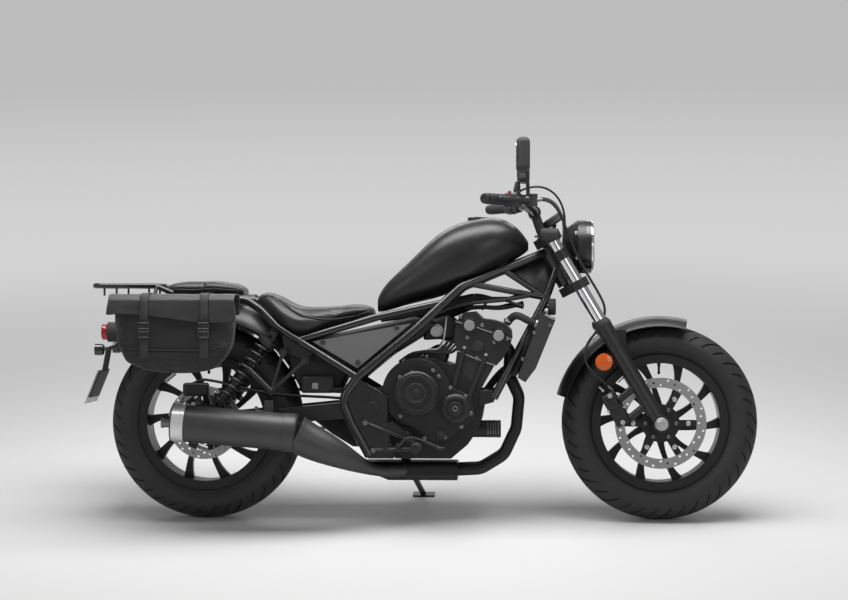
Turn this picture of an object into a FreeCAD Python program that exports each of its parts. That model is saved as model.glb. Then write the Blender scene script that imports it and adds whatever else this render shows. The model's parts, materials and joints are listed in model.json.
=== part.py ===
import FreeCAD, Part
import math
import os

V = FreeCAD.Vector

# Cruiser motorcycle, modelled upright and then leaned on its side stand.
# X points forward, Y to the left and Z up. The upright model stands on the
# ground line, and its lengths are in millimetres.

# Chassis geometry
wheelbase = 1490.0
front_axle_x = 745.0
lean_deg = 10.0
head_angle_deg = 28.0
trail = 110.0
fork_angle_deg = 30.5
fork_half_spacing = 115.0
running_gap = 0.5
seat_gap = 0.3
side_clearance = 6.0
cut_overrun = 2.0

# Tyres and wheels
front_tyre_radius = 320.2
front_tyre_half_width = 65.0
rear_tyre_radius = 319.0
rear_tyre_half_width = 75.0
rim_seat_radius = 205.0
rim_flange_radius = 222.0
rim_inner_radius = 194.0
rim_flange_width = 7.0
front_rim_half_width = 44.0
rear_rim_half_width = 54.0
spoke_count = 10
spoke_sweep_deg = 17.0
spoke_hub_width = 30.0
spoke_waist_width = 17.0
spoke_rim_width = 36.0
spoke_half_depth = 13.0
hub_radius = 44.0
hub_half_width = 60.0
axle_radius = 10.0
axle_nut_radius = 17.0
axle_nut_length = 14.0
spacer_radius = 18.0
disc_thickness = 5.0
front_disc_radius = 148.0
front_disc_inner_radius = 116.0
front_disc_plane = 82.0
rear_disc_radius = 120.0
rear_disc_inner_radius = 92.0
rear_disc_plane = 87.5
disc_carrier_radius = 62.0
disc_arm_count = 6
disc_arm_width = 22.0
disc_hole_radius = 3.6
disc_hole_count = 36
disc_hole_row_shares = (0.25, 0.5, 0.75)

# Steering head and clamps
lower_clamp_level = 456.0
top_clamp_level = 634.0
clamp_thickness = 30.0
clamp_eye_radius = 33.0
clamp_web_rear = 34.0
clamp_web_half_width = 32.0
head_tube_radius = 31.0
head_bore_radius = 18.0
stem_radius = 15.0
stem_bore_radius = 9.0
stem_bore_depth = 40.0
head_end_gap = 4.0

# Fork legs
fork_tube_radius = 20.5
fork_tube_rise = 14.0
slider_radius = 25.0
slider_length = 372.0
slider_collar_radius = 28.0
slider_collar_length = 34.0
axle_lug_radius = 28.0
axle_lug_half_width = 26.0
front_axle_half_length = 150.0

# Frame tubes, given on the right side and mirrored to the left
main_tube_radius = 15.0
down_tube_radius = 13.0
truss_tube_radius = 10.0
seat_tube_radius = 11.0
loop_tube_radius = 12.5
frame_bend_radius = 55.0
main_tube_head = (384.0, -12.0, 882.0)
main_tube_tank = (100.0, -112.0, 766.0)
main_tube_knee = (-52.0, -134.0, 624.0)
main_tube_back = (-238.0, -147.0, 470.0)
main_tube_heel = (-288.0, -147.0, 400.0)
main_tube_low = (-258.0, -147.0, 325.0)
main_tube_foot = (-198.0, -147.0, 216.0)
down_tube_head = (412.0, -14.0, 835.0)
down_tube_bend = (372.0, -46.0, 722.0)
down_tube_foot = (204.0, -128.0, 403.0)
seat_tube_rear = (-428.0, -136.0, 592.0)
seat_tube_middle = (-184.0, -132.0, 664.0)
loop_tube_top = (-604.0, -128.0, 722.0)
loop_tube_high = (-556.0, -130.0, 690.0)
loop_tube_mid = (-500.0, -134.0, 633.0)
loop_tube_tail = (-880.0, -104.0, 722.0)
truss_rear_share = 0.92
truss_diagonal_share = 0.47
truss_front_share = 0.06
seat_tube_front_share = 0.36
cross_tube_shares = (0.4, 0.985)
panel_rear_share = 0.1
panel_top_share = 0.9
panel_front_share = 0.72
panel_inset = 2.0
panel_thickness = 4.0
pivot_plate_thickness = 8.0
pivot_plate_front_x = -140.0
pivot_plate_top_z = 410.0
pivot_plate_foot_z = 208.0
pivot_plate_foot_length = 80.0
engine_mount_rear = (-136.0, 236.0)
engine_mount_radius = 11.0
engine_lug_thickness = 8.0
engine_lug_length = 46.0
engine_lug_height = 50.0
pivot_boss_radius = 19.0
pivot_bolt_radius = 8.0
swing_pivot = (-188.0, 0.0, 371.0)

# Swingarm and shock absorbers
arm_inner_y = 104.0
arm_thickness = 26.0
arm_front_height = 56.0
arm_rear_height = 44.0
arm_rear_overhang = 42.0
arm_nose_length = 34.0
swing_tube_radius = 22.0
swing_cross_share = 0.34
swing_cross_radius = 18.0
shock_y = 158.0
shock_top = (-517.0, 602.0)
shock_foot_offset = (55.0, 63.0)
shock_eye_radius = 16.0
shock_eye_half_width = 13.0
shock_body_radius = 19.0
shock_rod_radius = 8.0
shock_cap_radius = 31.0
shock_cap_length = 16.0
shock_seat_radius = 30.0
shock_seat_length = 8.0
spring_radius = 26.0
spring_wire_radius = 4.5
spring_turns = 8
shock_stud_radius = 7.0

# Fuel tank, in sections from tail to nose
tank_nose_x = 316.0
tank_length = 494.0
tank_base_z = 676.0
tank_height = 318.0
tank_half_width = 138.0
tank_section_shares = (
    (0.0, 0.38, 0.02, 0.17, 2.6),
    (0.05, 0.5, 0.03, 0.3, 2.8),
    (0.16, 0.66, 0.08, 0.47, 2.8),
    (0.34, 0.84, 0.15, 0.74, 2.6),
    (0.55, 0.98, 0.26, 0.94, 2.5),
    (0.76, 0.92, 0.42, 0.995, 2.4),
    (0.9, 0.66, 0.55, 0.92, 2.4),
    (0.97, 0.42, 0.62, 0.81, 2.4),
    (1.0, 0.26, 0.66, 0.74, 2.4),
)
tank_cap_x = 150.0
tank_cap_radius = 34.0
tank_cap_height = 9.0
tank_cap_sink = 3.0

# Seats
seat_rear_x = -572.0
seat_length = 384.0
seat_base_z = 590.0
seat_height = 162.0
seat_half_width = 158.0
seat_section_shares = (
    (0.0, 0.4, 0.8, 0.93, 2.6),
    (0.05, 0.56, 0.6, 0.985, 2.8),
    (0.13, 0.76, 0.36, 0.96, 3.0),
    (0.24, 0.94, 0.15, 0.79, 3.2),
    (0.4, 1.0, 0.07, 0.65, 3.2),
    (0.6, 0.86, 0.22, 0.65, 3.0),
    (0.8, 0.66, 0.38, 0.7, 2.8),
    (0.95, 0.52, 0.46, 0.71, 2.8),
    (1.0, 0.44, 0.5, 0.62, 2.6),
)
pillion_rear_x = -882.0
pillion_length = 268.0
pillion_base_z = 735.0
pillion_height = 47.0
pillion_half_width = 92.0
pillion_section_shares = (
    (0.0, 0.72, 0.04, 0.5, 3.0),
    (0.05, 0.84, 0.0, 0.76, 3.4),
    (0.3, 0.94, 0.0, 0.96, 3.4),
    (0.6, 1.0, 0.0, 0.98, 3.4),
    (0.88, 0.96, 0.0, 0.84, 3.4),
    (0.97, 0.84, 0.0, 0.62, 3.2),
    (1.0, 0.7, 0.06, 0.36, 3.0),
)

# Rear fender, luggage carrier, tail lamp and plate
rear_fender_radius = 402.0
rear_fender_half_width = 96.0
rear_fender_drop = 60.0
rear_fender_wall = 4.0
rear_fender_front_deg = 36.0
rear_fender_tail_deg = 140.0
carrier_tube_radius = 8.5
carrier_y = 104.0
carrier_front_share = 0.877
carrier_front_rise = 21.0
carrier_knee_x = -905.0
carrier_z = 768.0
carrier_rear_x = -1106.0
carrier_bend_radius = 22.0
carrier_plate_length = 52.0
carrier_plate_thickness = 4.0
carrier_bar_shares = (0.3, 0.6, 0.85)
hook_radius = 3.5
hook_length = 24.0
hook_xs = (-1072.0, -1032.0, -925.0)
tail_lamp_front_x = -1022.0
tail_lamp_z = 615.0
tail_lamp_length = 58.0
tail_lamp_radius = 33.0
tail_ring_length = 5.0
tail_lens_length = 20.0
tail_lens_radius = 27.0
plate_arm_y = 24.0
plate_arm_thickness = 5.0
plate_top_x = -1092.0
plate_top_z = 490.0
plate_height = 118.0
plate_lean_deg = 22.0
plate_half_width = 100.0
plate_thickness = 2.0
plate_back_thickness = 4.0
plate_back_share = 0.8
indicator_radius = 19.0
indicator_length = 30.0
indicator_stalk_radius = 6.0
rear_indicator_y = 150.0
rear_indicator_x = -1078.0
rear_indicator_z = 560.0

# Saddlebags
bag_front_x = -624.0
bag_length = 382.0
bag_base_z = 490.0
bag_height = 242.0
bag_inner_y = 182.0
bag_thickness = 128.0
bag_outline_shares = (
    (0.02, 0.36), (0.1, 0.12), (0.24, 0.02), (0.72, 0.0), (0.86, 0.04), (0.98, 0.3),
    (1.0, 0.6), (1.0, 0.96), (0.94, 1.0), (0.06, 1.0), (0.0, 0.94), (0.0, 0.7),
)
bag_edge_radius = 20.0
bag_flap_drop = 76.0
bag_flap_thickness = 5.0
bag_strap_width = 26.0
bag_strap_thickness = 3.0
bag_strap_shares = (0.27, 0.77)
bag_strap_foot_share = 0.2
bag_strap_length_share = 0.7
bag_stay_front_share = 0.88
bag_stay_rear_share = 0.28
bag_stay_low_share = 0.3
bag_stay_radius = 6.0
bag_stay_drop = 18.0
bag_stay_y = 170.0

# Covers around the frame
side_cover_thickness = 9.0
side_cover_y = 140.0
box_cover_rear_x = -424.0
box_cover_length = 108.0
box_cover_base_z = 418.0
box_cover_height = 56.0
box_cover_right_y = -118.0
box_cover_left_y = 70.0
box_lug_radius = 9.0

# Engine
engine_half_width = 118.0
crankcase_rear_x = -146.0
crankcase_length = 320.0
crankcase_base_z = 206.0
crankcase_height = 330.0
crankcase_outline_shares = (
    (0.0, 0.07), (0.1, 0.0), (0.66, 0.0), (0.83, 0.14), (0.91, 0.25), (0.97, 0.38), (1.0, 0.54),
    (0.94, 0.69), (0.68, 0.92), (0.51, 0.98), (0.32, 1.0), (0.17, 0.94), (0.075, 0.85), (0.0, 0.76),
)
sprocket_bay_y = 76.0
sprocket_bay_length = 112.0
sprocket_bay_floor = 104.0
cylinder_tilt_deg = 16.7
block_rear_x = 60.0
block_length = 152.0
block_base_z = 395.0
block_height = 168.0
block_half_width = 112.0
block_outline_shares = ((0.17, 1.0), (1.0, 0.74), (0.54, 0.0), (0.0, 0.0))
head_rear_x = 76.0
head_length = 188.0
head_base_z = 508.0
head_height = 176.0
head_half_width = 118.0
head_outline_shares = (
    (0.048, 0.25), (0.0, 0.489), (0.005, 0.648), (0.074, 0.881), (0.17, 0.983), (0.356, 1.0),
    (0.489, 0.869), (0.676, 0.841), (0.872, 0.778), (0.984, 0.659), (1.0, 0.517), (0.947, 0.33),
    (0.835, 0.131), (0.723, 0.0), (0.553, 0.068), (0.234, 0.1875),
)
cam_cover_half_width = 122.0
cam_cover_outline_shares = (
    (0.04, 0.79), (0.16, 0.858), (0.404, 0.727), (0.628, 0.648), (0.676, 0.699), (0.851, 0.648),
    (0.973, 0.517), (1.0, 0.517), (0.984, 0.659), (0.872, 0.778), (0.676, 0.841), (0.489, 0.869),
    (0.356, 1.0), (0.17, 0.983), (0.074, 0.881),
)
cam_cap_shares = ((0.26, 0.744), (0.766, 0.557))
cam_cap_radius = 17.0
cam_cap_length = 6.0
cam_boss_radius = 24.0
cam_boss_length = 4.0
bolt_tube_radius = 8.0
bolt_tube_sink = 3.0
bolt_tube_tops = ((108.0, 564.0), (178.0, 541.0))
bolt_tube_feet = ((69.0, 425.0), (124.0, 406.0))
clutch_centre = (-45.0, 421.0)
clutch_radius = 71.0
clutch_y = 196.0
crank_centre = (81.0, 372.0)
crank_radius = 46.0
crank_y = 184.0
cover_plate_thickness = 22.0
cover_step = 10.0
cover_bevel = 5.0
cover_rim_share = 0.84
cover_dish_share = 0.72
cover_hub_share = 0.42
cover_rear_x = -103.0
cover_length = 246.0
cover_base_z = 266.0
cover_height = 222.0
cover_outline_shares = (
    (0.0, 0.378), (0.171, 0.216), (0.415, 0.0), (0.606, 0.0), (0.805, 0.162), (1.0, 0.324),
    (0.951, 0.649), (0.732, 0.757), (0.585, 0.919), (0.488, 1.0),
)
alternator_radius = 72.0
alternator_y = 178.0
output_shaft = (-112.0, 385.0)
sprocket_cover_y = 140.0
sprocket_cover_length = 128.0
sprocket_cover_height = 102.0
sprocket_cover_outline_shares = ((-0.4, -0.45), (0.6, -0.45), (0.6, 0.55), (-0.3, 0.55))
oil_filter_length = 52.0
oil_filter_radius = 28.0
oil_filter_z = 300.0
oil_filter_y = -52.0

# Radiator
radiator_top = (380.0, 671.0)
radiator_foot = (282.0, 467.0)
radiator_thickness = 26.0
radiator_setback = 9.0
radiator_foot_gap = 14.0
radiator_half_width = 136.0
radiator_tank_width = 22.0
shroud_rear_x = 281.0
shroud_length = 124.0
shroud_base_z = 456.0
shroud_height = 225.0
shroud_outline_shares = ((0.62, 1.0), (1.0, 0.916), (0.476, 0.2), (0.2, 0.0), (0.0, 0.067))

# Throttle bodies and intake
throttle_face = (82.0, 603.0)
throttle_radius = 26.0
throttle_length = 66.0
throttle_half_spacing = 42.0
throttle_shaft_half_length = 92.0
throttle_shaft_radius = 20.0

# Exhaust
header_radius = 19.0
header_line = ((226.0, 582.0), (256.0, 556.0), (252.0, 476.0), (286.0, 404.0), (276.0, 300.0),
                (236.0, 214.0), (160.0, 168.0), (80.0, 164.0))
header_outer_y = -48.0
header_inner_y = 38.0
collector_rear_x = -236.0
collector_length = 320.0
collector_base_z = 132.0
collector_height = 60.0
collector_left_y = 60.0
collector_width = 150.0
collector_heel_share = 0.75
collector_toe_share = 0.3
collector_edge_radius = 20.0
muffler_front = (-430.0, 294.0)
muffler_rear = (-830.0, 327.9)
muffler_y = 216.0
muffler_radius = 60.0
muffler_cone_points = (
    (-336.0, -198.0, 243.0, 51.0),
    (-256.0, -165.0, 202.0, 34.0),
    (-200.0, -122.0, 174.0, 21.0),
    (-140.0, -96.0, 163.0, 20.0),
)
muffler_inlet = (-60.0, -60.0, 162.0)
muffler_band_offset = 3.0
muffler_band_length = 36.0
muffler_band_rise = 2.5
muffler_lug_sink = 18.0
muffler_lug_offset = 21.0
muffler_lug_length = 28.0
muffler_lug_drop = 30.0
end_cap_length = 43.0
end_cap_slant = 16.0
end_cap_wall = 4.0
tip_radius = 17.0

# Pegs, pedals and side stand
peg_y = 210.0
peg_length = 96.0
peg_radius = 14.0
rider_peg_x = -42.0
rider_peg_z = 250.0
hanger_rear_x = -156.0
hanger_length = 126.0
hanger_base_z = 228.0
hanger_height = 100.0
hanger_outline_shares = (
    (0.02, 0.92), (0.26, 1.0), (0.96, 0.36), (1.0, 0.24), (0.96, 0.1), (0.84, 0.04), (0.08, 0.0), (0.0, 0.2),
)
hanger_window_shares = ((0.2, 0.74), (0.62, 0.36), (0.6, 0.2), (0.16, 0.18))
lever_pivot = (-104.0, 250.0)
lever_line = ((-104.0, 250.0), (-70.0, 282.0), (-20.0, 266.0), (34.0, 244.0))
lever_y = 182.0
lever_arm_radius = 5.5
lever_boss_radius = 9.0
pedal_pad_length = 30.0
pedal_pad_width = 44.0
pedal_pad_thickness = 9.0
peg_plate_thickness = 7.0
peg_bar_radius = 9.0
pillion_peg_hub = (-512.0, 428.0)
pillion_ring_radius = 13.0
pillion_ring_hole = 6.0
pillion_ring_rear = (-474.0, 551.0)
pillion_ring_front = (-402.0, 525.0)
pillion_plate_y = 194.0
pillion_gusset_y = 138.0
pillion_plate_thickness = 6.0
pillion_peg_radius = 9.0
pillion_peg_tip = (-585.0, 500.0)
stand_pivot = (-96.0, 128.0, 182.0)
stand_foot = (-42.0, 282.0)
stand_axis = (0.15, 0.59, 0.794)
stand_leg_radius = 10.0
stand_eye_radius = 17.0
stand_eye_length = 22.0
stand_foot_length = 74.0
stand_foot_width = 46.0
stand_foot_thickness = 7.0
stand_pin_radius = 6.0
stand_head_radius = 10.0
stand_cheek_thickness = 12.0

# Handlebar and controls
bar_radius = 12.7
bar_centre = (336.0, 0.0, 1008.0)
bar_clamp_half_spacing = 46.0
bar_bend_inner = (336.0, -92.0, 1008.0)
bar_bend_outer = (304.0, -205.0, 1038.0)
bar_end = (186.0, -406.0, 1037.0)
bar_bend_radius = 50.0
riser_radius = 15.0
riser_cap_radius = 21.0
riser_cap_width = 30.0
grip_radius = 16.5
grip_length = 124.0
grip_flange_radius = 21.0
grip_flange_length = 6.0
switch_radius = 21.0
switch_length = 44.0
lever_length = 168.0
lever_radius = 6.0
lever_neck_radius = 8.4
lever_neck_start = 15.2
lever_tip_radius = 4.2
lever_gap = 43.4
perch_radius = 19.0
perch_length = 26.0
reservoir_radius = 19.0
reservoir_height = 34.0
mirror_y = 322.0
mirror_base = (316.0, 1046.0)
mirror_centre = (300.0, 1178.0)
mirror_height = 106.0
mirror_width = 150.0
mirror_depth = 42.0
mirror_edge_radius = 16.8
mirror_stalk_radius = 5.5
front_indicator_y = 172.0
front_indicator_x = 382.0
front_indicator_z = 933.0
front_indicator_length = 56.0

# Headlight, meter and horn
lamp_centre_z = 897.0
lamp_front_x = 522.0
lamp_shell_length = 26.0
lamp_cone_length = 42.0
lamp_back_radius = 42.0
lamp_back_rise = 15.0
lamp_radius = 88.0
lamp_ring_length = 18.0
lamp_ring_width = 7.0
lamp_lens_bulge = 9.0
lamp_bracket_radius = 8.0
lamp_bracket_height = 34.0
lamp_bracket_seat = (470.0, 48.0, 852.0)
lamp_bracket_z = 868.0
lamp_bracket_wall = 6.0
meter_x = 390.0
meter_z = 990.0
meter_length = 24.0
meter_radius = 40.0
meter_tilt_deg = 55.0
meter_post_radius = 7.0
horn_x = 406.0
horn_z = 699.0
horn_radius = 27.0
horn_length = 26.0
horn_edge_radius = 5.2
horn_y = -44.0

# Front fender, caliper and reflector
front_fender_radius = 348.0
front_fender_half_width = 80.0
front_fender_drop = 32.0
front_fender_wall = 3.5
front_fender_front_deg = 75.0
front_fender_tail_deg = 165.0
fender_stay_distance = 294.0
fender_tab_height = 97.0
caliper_offset = (-145.0, 47.0)
caliper_tilt_deg = 60.0
caliper_length = 116.0
caliper_height = 52.0
caliper_inner_y = 60.0
caliper_outer_y = 112.0
caliper_edge_radius = 10.0
caliper_slot_gap = 1.0
rear_caliper_offset = (-27.0, 108.0)
rear_caliper_inner_reach = 20.0
rear_caliper_outer_reach = 22.0
rear_caliper_length = 84.0
rear_caliper_height = 44.0
reflector_offset = (-185.0, 200.0)
reflector_radius = 28.0
reflector_thickness = 8.0
reflector_y = 122.0
reflector_arm_inset = 6.0
reflector_backing_depth = 8.0

# Chain and sprockets
chain_y = 87.5
chain_half_width = 7.0
chain_height = 15.0
chain_pitch_radius_rear = 101.0
chain_pitch_radius_front = 38.0
sprocket_thickness = 6.0
sprocket_tooth_gap = 2.0
sprocket_window_count = 5
sprocket_window_radius = 17.0

# Brake hoses and control cables, as hand-laid routes
hose_radius = 4.5
cable_radius = 4.0
front_hose_route = ((338.0, -222.0, 1040.0), (372.0, -214.0, 1044.0), (406.0, -192.0, 1020.0),
                    (430.0, -158.0, 972.0), (452.0, -126.0, 916.0), (476.0, -106.0, 858.0),
                    (510.0, -100.0, 800.0), (544.0, -100.0, 744.0), (566.0, -98.0, 698.0),
                    (560.0, -84.0, 654.0), (536.0, -80.0, 616.0), (505.0, -92.0, 580.0),
                    (496.0, -99.0, 530.0), (520.0, -100.0, 488.0), (562.0, -98.0, 456.0),
                    (590.0, -92.0, 428.0))
clutch_cable_route = ((300.0, 236.0, 1042.0), (330.0, 212.0, 1060.0), (370.0, 176.0, 1068.0),
                      (406.0, 136.0, 1050.0), (430.0, 104.0, 1006.0), (434.0, 84.0, 950.0),
                      (430.0, 76.0, 890.0), (428.0, 76.0, 846.0), (440.0, 76.0, 806.0),
                      (454.0, 76.0, 770.0))
throttle_cable_route = ((262.0, -282.0, 1046.0), (284.0, -268.0, 1066.0), (322.0, -238.0, 1082.0),
                        (368.0, -190.0, 1084.0), (408.0, -140.0, 1060.0), (432.0, -104.0, 1014.0),
                        (436.0, -84.0, 952.0), (430.0, -76.0, 890.0), (428.0, -76.0, 846.0),
                        (440.0, -76.0, 806.0), (454.0, -76.0, 770.0))
rear_hose_route = ((-786.0, -92.0, 446.0), (-752.0, -84.0, 462.0), (-690.0, -84.0, 452.0),
                   (-610.0, -90.0, 430.0), (-520.0, -92.0, 414.0), (-430.0, -92.0, 408.0),
                   (-340.0, -92.0, 404.0), (-262.0, -92.0, 398.0))

lean = math.radians(lean_deg)
tank_rear_x = tank_nose_x - tank_length
carrier_front_x = loop_tube_top[0] + (loop_tube_tail[0] - loop_tube_top[0]) * carrier_front_share
carrier_front_z = loop_tube_tail[2] + carrier_front_rise
head_angle = math.radians(head_angle_deg)
fork_angle = math.radians(fork_angle_deg)


def crown_height(tyre_radius, half_width):
    """Axle height at which a round-shouldered tyre, leaned over, just meets the ground."""
    return tyre_radius - half_width + half_width / math.cos(lean)


front_axle = V(front_axle_x, 0, crown_height(front_tyre_radius, front_tyre_half_width))
rear_axle = V(front_axle_x - wheelbase, 0, crown_height(rear_tyre_radius, rear_tyre_half_width))
caliper_centre = (front_axle.x + caliper_offset[0], front_axle.z + caliper_offset[1])
rear_caliper_centre = (rear_axle.x + rear_caliper_offset[0], rear_axle.z + rear_caliper_offset[1])
reflector_centre = (front_axle.x + reflector_offset[0], front_axle.z + reflector_offset[1])
shock_foot = (rear_axle.x + shock_foot_offset[0], rear_axle.z + shock_foot_offset[1])
head_axis = V(-math.sin(head_angle), 0, math.cos(head_angle))
head_cross = V(math.cos(head_angle), 0, math.sin(head_angle))
fork_axis = V(-math.sin(fork_angle), 0, math.cos(fork_angle))
head_offset = (front_axle.x + trail) * math.cos(head_angle)


def on_head_axis(level):
    """Point of the steering axis at a distance along it from the perpendicular through the origin."""
    return head_axis * level + head_cross * head_offset


def on_fork(distance, side=-1):
    """Point of a fork leg's centre line, by its distance above the front axle."""
    return front_axle + fork_axis * distance + V(0, side * fork_half_spacing, 0)


def fork_distance(level):
    """Distance above the axle at which the fork line meets a level of the steering axis."""
    return (level - front_axle.dot(head_axis)) / fork_axis.dot(head_axis)


def between(start, end, share):
    """Point at a share of the way from start to end."""
    return V(*start) * (1 - share) + V(*end) * share


def mirror(shape):
    """The same shape on the other side of the centre plane."""
    return shape.mirror(V(0, 0, 0), V(0, 1, 0))


def both(shape):
    """A right-hand shape together with its left-hand copy."""
    return [shape, mirror(shape)]


def fused(shapes):
    """One solid from shapes that overlap or touch."""
    joined = shapes[0].multiFuse(shapes[1:]) if len(shapes) > 1 else shapes[0]
    return joined.removeSplitter()


def rod(start, end, radius):
    """Round bar between two points."""
    start, end = V(*start), V(*end)
    return Part.makeCylinder(radius, (end - start).Length, start, end - start)


def taper(start, end, start_radius, end_radius):
    """Round bar whose radius changes along its length."""
    start, end = V(*start), V(*end)
    return Part.makeCone(start_radius, end_radius, (end - start).Length, start, end - start)


def cross_rod(x, z, y_start, y_end, radius):
    """Round bar along Y."""
    return rod((x, y_start, z), (x, y_end, z), radius)


def block(x_start, y_start, z_start, length, width, height):
    """Rectangular block along the axes."""
    return Part.makeBox(length, width, height, V(x_start, y_start, z_start))


def plate(outline, y_start, thickness):
    """Flat plate from a side-view outline of (x, z) points, thickened along Y."""
    corners = [V(x, y_start, z) for x, z in outline]
    face = Part.Face(Part.makePolygon(corners + corners[:1]))
    return face.extrude(V(0, thickness, 0))


def spread(shares, x_start, z_start, length, height):
    """Side-view points from shares of a length and a height."""
    return [(x_start + length * x, z_start + height * z) for x, z in shares]


def rounded(shape, radius, keep=None):
    """The shape with the edges that keep accepts rounded, all of them by default."""
    edges = [edge for edge in shape.Edges if keep is None or keep(edge)]
    return shape.makeFillet(radius, edges) if edges else shape


def along(direction):
    """Test for straight edges that run along a direction."""
    def test(edge):
        if not isinstance(edge.Curve, (Part.Line, Part.LineSegment)):
            return False
        ends = edge.Vertexes[1].Point - edge.Vertexes[0].Point
        return abs(abs(ends.normalize().dot(direction)) - 1) < along_tolerance_share
    return test


along_tolerance_share = 1e-4


def bent_path(points, bend_radius):
    """Wire of straight runs joined by tangent arcs, none larger than its runs allow."""
    points = [V(*point) for point in points]
    edges, start = [], points[0]
    for before, corner, after in zip(points, points[1:], points[2:]):
        back, ahead = (before - corner), (after - corner)
        shorter = min(back.Length, ahead.Length)
        back.normalize()
        ahead.normalize()
        half_turn = (math.pi - back.getAngle(ahead)) / 2
        radius = min(bend_radius, bend_run_share * shorter / math.tan(half_turn))
        reach = radius * math.tan(half_turn)
        first, last = corner + back * reach, corner + ahead * reach
        bisector = (back + ahead).normalize()
        middle = corner + bisector * (radius / math.cos(half_turn) - radius)
        edges.append(Part.LineSegment(start, first).toShape())
        edges.append(Part.Arc(first, middle, last).toShape())
        start = last
    edges.append(Part.LineSegment(start, points[-1]).toShape())
    return Part.Wire(edges)


bend_run_share = 0.45


def tube(points, radius, bend_radius):
    """Round tube along straight runs and tangent bends."""
    if len(points) == 2:
        return rod(points[0], points[1], radius)
    path = bent_path(points, bend_radius)
    start, ahead = V(*points[0]), V(*points[1]) - V(*points[0])
    profile = Part.Wire([Part.Circle(start, ahead, radius).toShape()])
    return path.makePipeShell([profile], True, False)


def cord(points, radius):
    """Flexible tube whose arcs are as large as its runs allow."""
    return tube(points, radius, cord_bend_radius)


cord_bend_radius = 1000.0


def oval(x, half_width, bottom, top, squareness):
    """Closed cross-section at x, between a round and a square outline."""
    middle, half_height = (top + bottom) / 2, (top - bottom) / 2
    points = []
    for step in range(section_steps):
        angle = 2 * math.pi * (step + 0.5) / section_steps
        across, up = math.cos(angle), math.sin(angle)
        y = half_width * math.copysign(abs(across) ** (2 / squareness), across)
        z = half_height * math.copysign(abs(up) ** (2 / squareness), up)
        points.append(V(x, y, middle + z))
    curve = Part.BSplineCurve()
    curve.interpolate(Points=points, PeriodicFlag=True)
    return Part.Wire([curve.toShape()])


section_steps = 16


def swelled(shares, x_start, z_start, length, half_width, height):
    """Body lofted through ovals, from shares (x, half width, bottom, top, squareness)."""
    rings = [oval(x_start + length * x, half_width * w, z_start + height * low, z_start + height * high, square)
             for x, w, low, high, square in shares]
    return Part.makeLoft(rings, True, False)


def longest(shape):
    """The largest solid of a shape that a cut may have split."""
    return max(shape.Solids, key=lambda solid: solid.Volume)


def lathe(points, start, direction):
    """Solid of revolution about a line, from (radius, distance along the line) points."""
    corners = [V(radius, 0, level) for radius, level in points]
    face = Part.Face(Part.makePolygon(corners + corners[:1]))
    solid = face.revolve(V(0, 0, 0), V(0, 0, 1), 360)
    solid.Placement = FreeCAD.Placement(V(*start), FreeCAD.Rotation(V(0, 0, 1), direction))
    return solid


def turned(profile_edges, axle):
    """Solid of revolution about an axle along Y, from edges drawn in the (radius, y) half plane."""
    face = Part.Face(Part.Wire(profile_edges))
    solid = face.revolve(V(0, 0, 0), V(0, 1, 0), 360)
    solid.translate(axle)
    return solid


def polygon_edges(points):
    """Closed straight-sided profile from (radius, y) points."""
    corners = [V(radius, y, 0) for radius, y in points]
    return [Part.LineSegment(a, b).toShape() for a, b in zip(corners, corners[1:] + corners[:1])]


def spun(shape, centre, count):
    """Copies of a shape spaced evenly round an axle along Y."""
    copies = []
    for index in range(count):
        copy = shape.copy()
        copy.rotate(centre, V(0, 1, 0), 360.0 * index / count)
        copies.append(copy)
    return copies


# Wheels

def tyre(axle, radius, half_width, rim_half_width):
    """Tyre ring: round crown, sidewalls that tuck in behind the rim flanges."""
    core = radius - half_width
    bead = rim_flange_radius + seat_gap
    drop = core - bead
    bulge_centre = (half_width ** 2 - drop ** 2 - rim_half_width ** 2) / (2 * (half_width - rim_half_width))
    bulge = half_width - bulge_centre
    half_turn = math.atan2(drop, rim_half_width - bulge_centre) / 2
    side_r, side_y = core - bulge * math.sin(half_turn), bulge_centre + bulge * math.cos(half_turn)

    def at(r, y):
        return V(r, y, 0)

    edges = [
        Part.LineSegment(at(rim_seat_radius, -rim_half_width), at(rim_seat_radius, rim_half_width)).toShape(),
        Part.LineSegment(at(rim_seat_radius, rim_half_width), at(bead, rim_half_width)).toShape(),
        Part.Arc(at(bead, rim_half_width), at(side_r, side_y), at(core, half_width)).toShape(),
        Part.Arc(at(core, half_width), at(radius, 0), at(core, -half_width)).toShape(),
        Part.Arc(at(core, -half_width), at(side_r, -side_y), at(bead, -rim_half_width)).toShape(),
        Part.LineSegment(at(bead, -rim_half_width), at(rim_seat_radius, -rim_half_width)).toShape(),
    ]
    return turned(edges, axle)


def spoke(axle):
    """Swept spoke, wide at the hub, waisted, and flared into the rim."""
    sweep = math.radians(spoke_sweep_deg)
    inner_r, waist_r = hub_radius - cut_overrun, (hub_radius + rim_inner_radius) / 2
    outer_r = rim_inner_radius + cut_overrun

    def at(radius, angle, offset):
        x = radius * math.cos(angle) - offset * math.sin(angle)
        z = radius * math.sin(angle) + offset * math.cos(angle)
        return V(x, -spoke_half_depth, z)

    hub_a, hub_b = at(inner_r, -sweep, -spoke_hub_width / 2), at(inner_r, -sweep, spoke_hub_width / 2)
    mid_a, mid_b = at(waist_r, -sweep / 2, -spoke_waist_width / 2), at(waist_r, -sweep / 2, spoke_waist_width / 2)
    rim_a, rim_b = at(outer_r, 0, -spoke_rim_width / 2), at(outer_r, 0, spoke_rim_width / 2)
    edges = [
        Part.LineSegment(hub_a, hub_b).toShape(),
        Part.Arc(hub_b, mid_b, rim_b).toShape(),
        Part.LineSegment(rim_b, rim_a).toShape(),
        Part.Arc(rim_a, mid_a, hub_a).toShape(),
    ]
    solid = Part.Face(Part.Wire(edges)).extrude(V(0, 2 * spoke_half_depth, 0))
    solid.translate(axle)
    return solid


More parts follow.
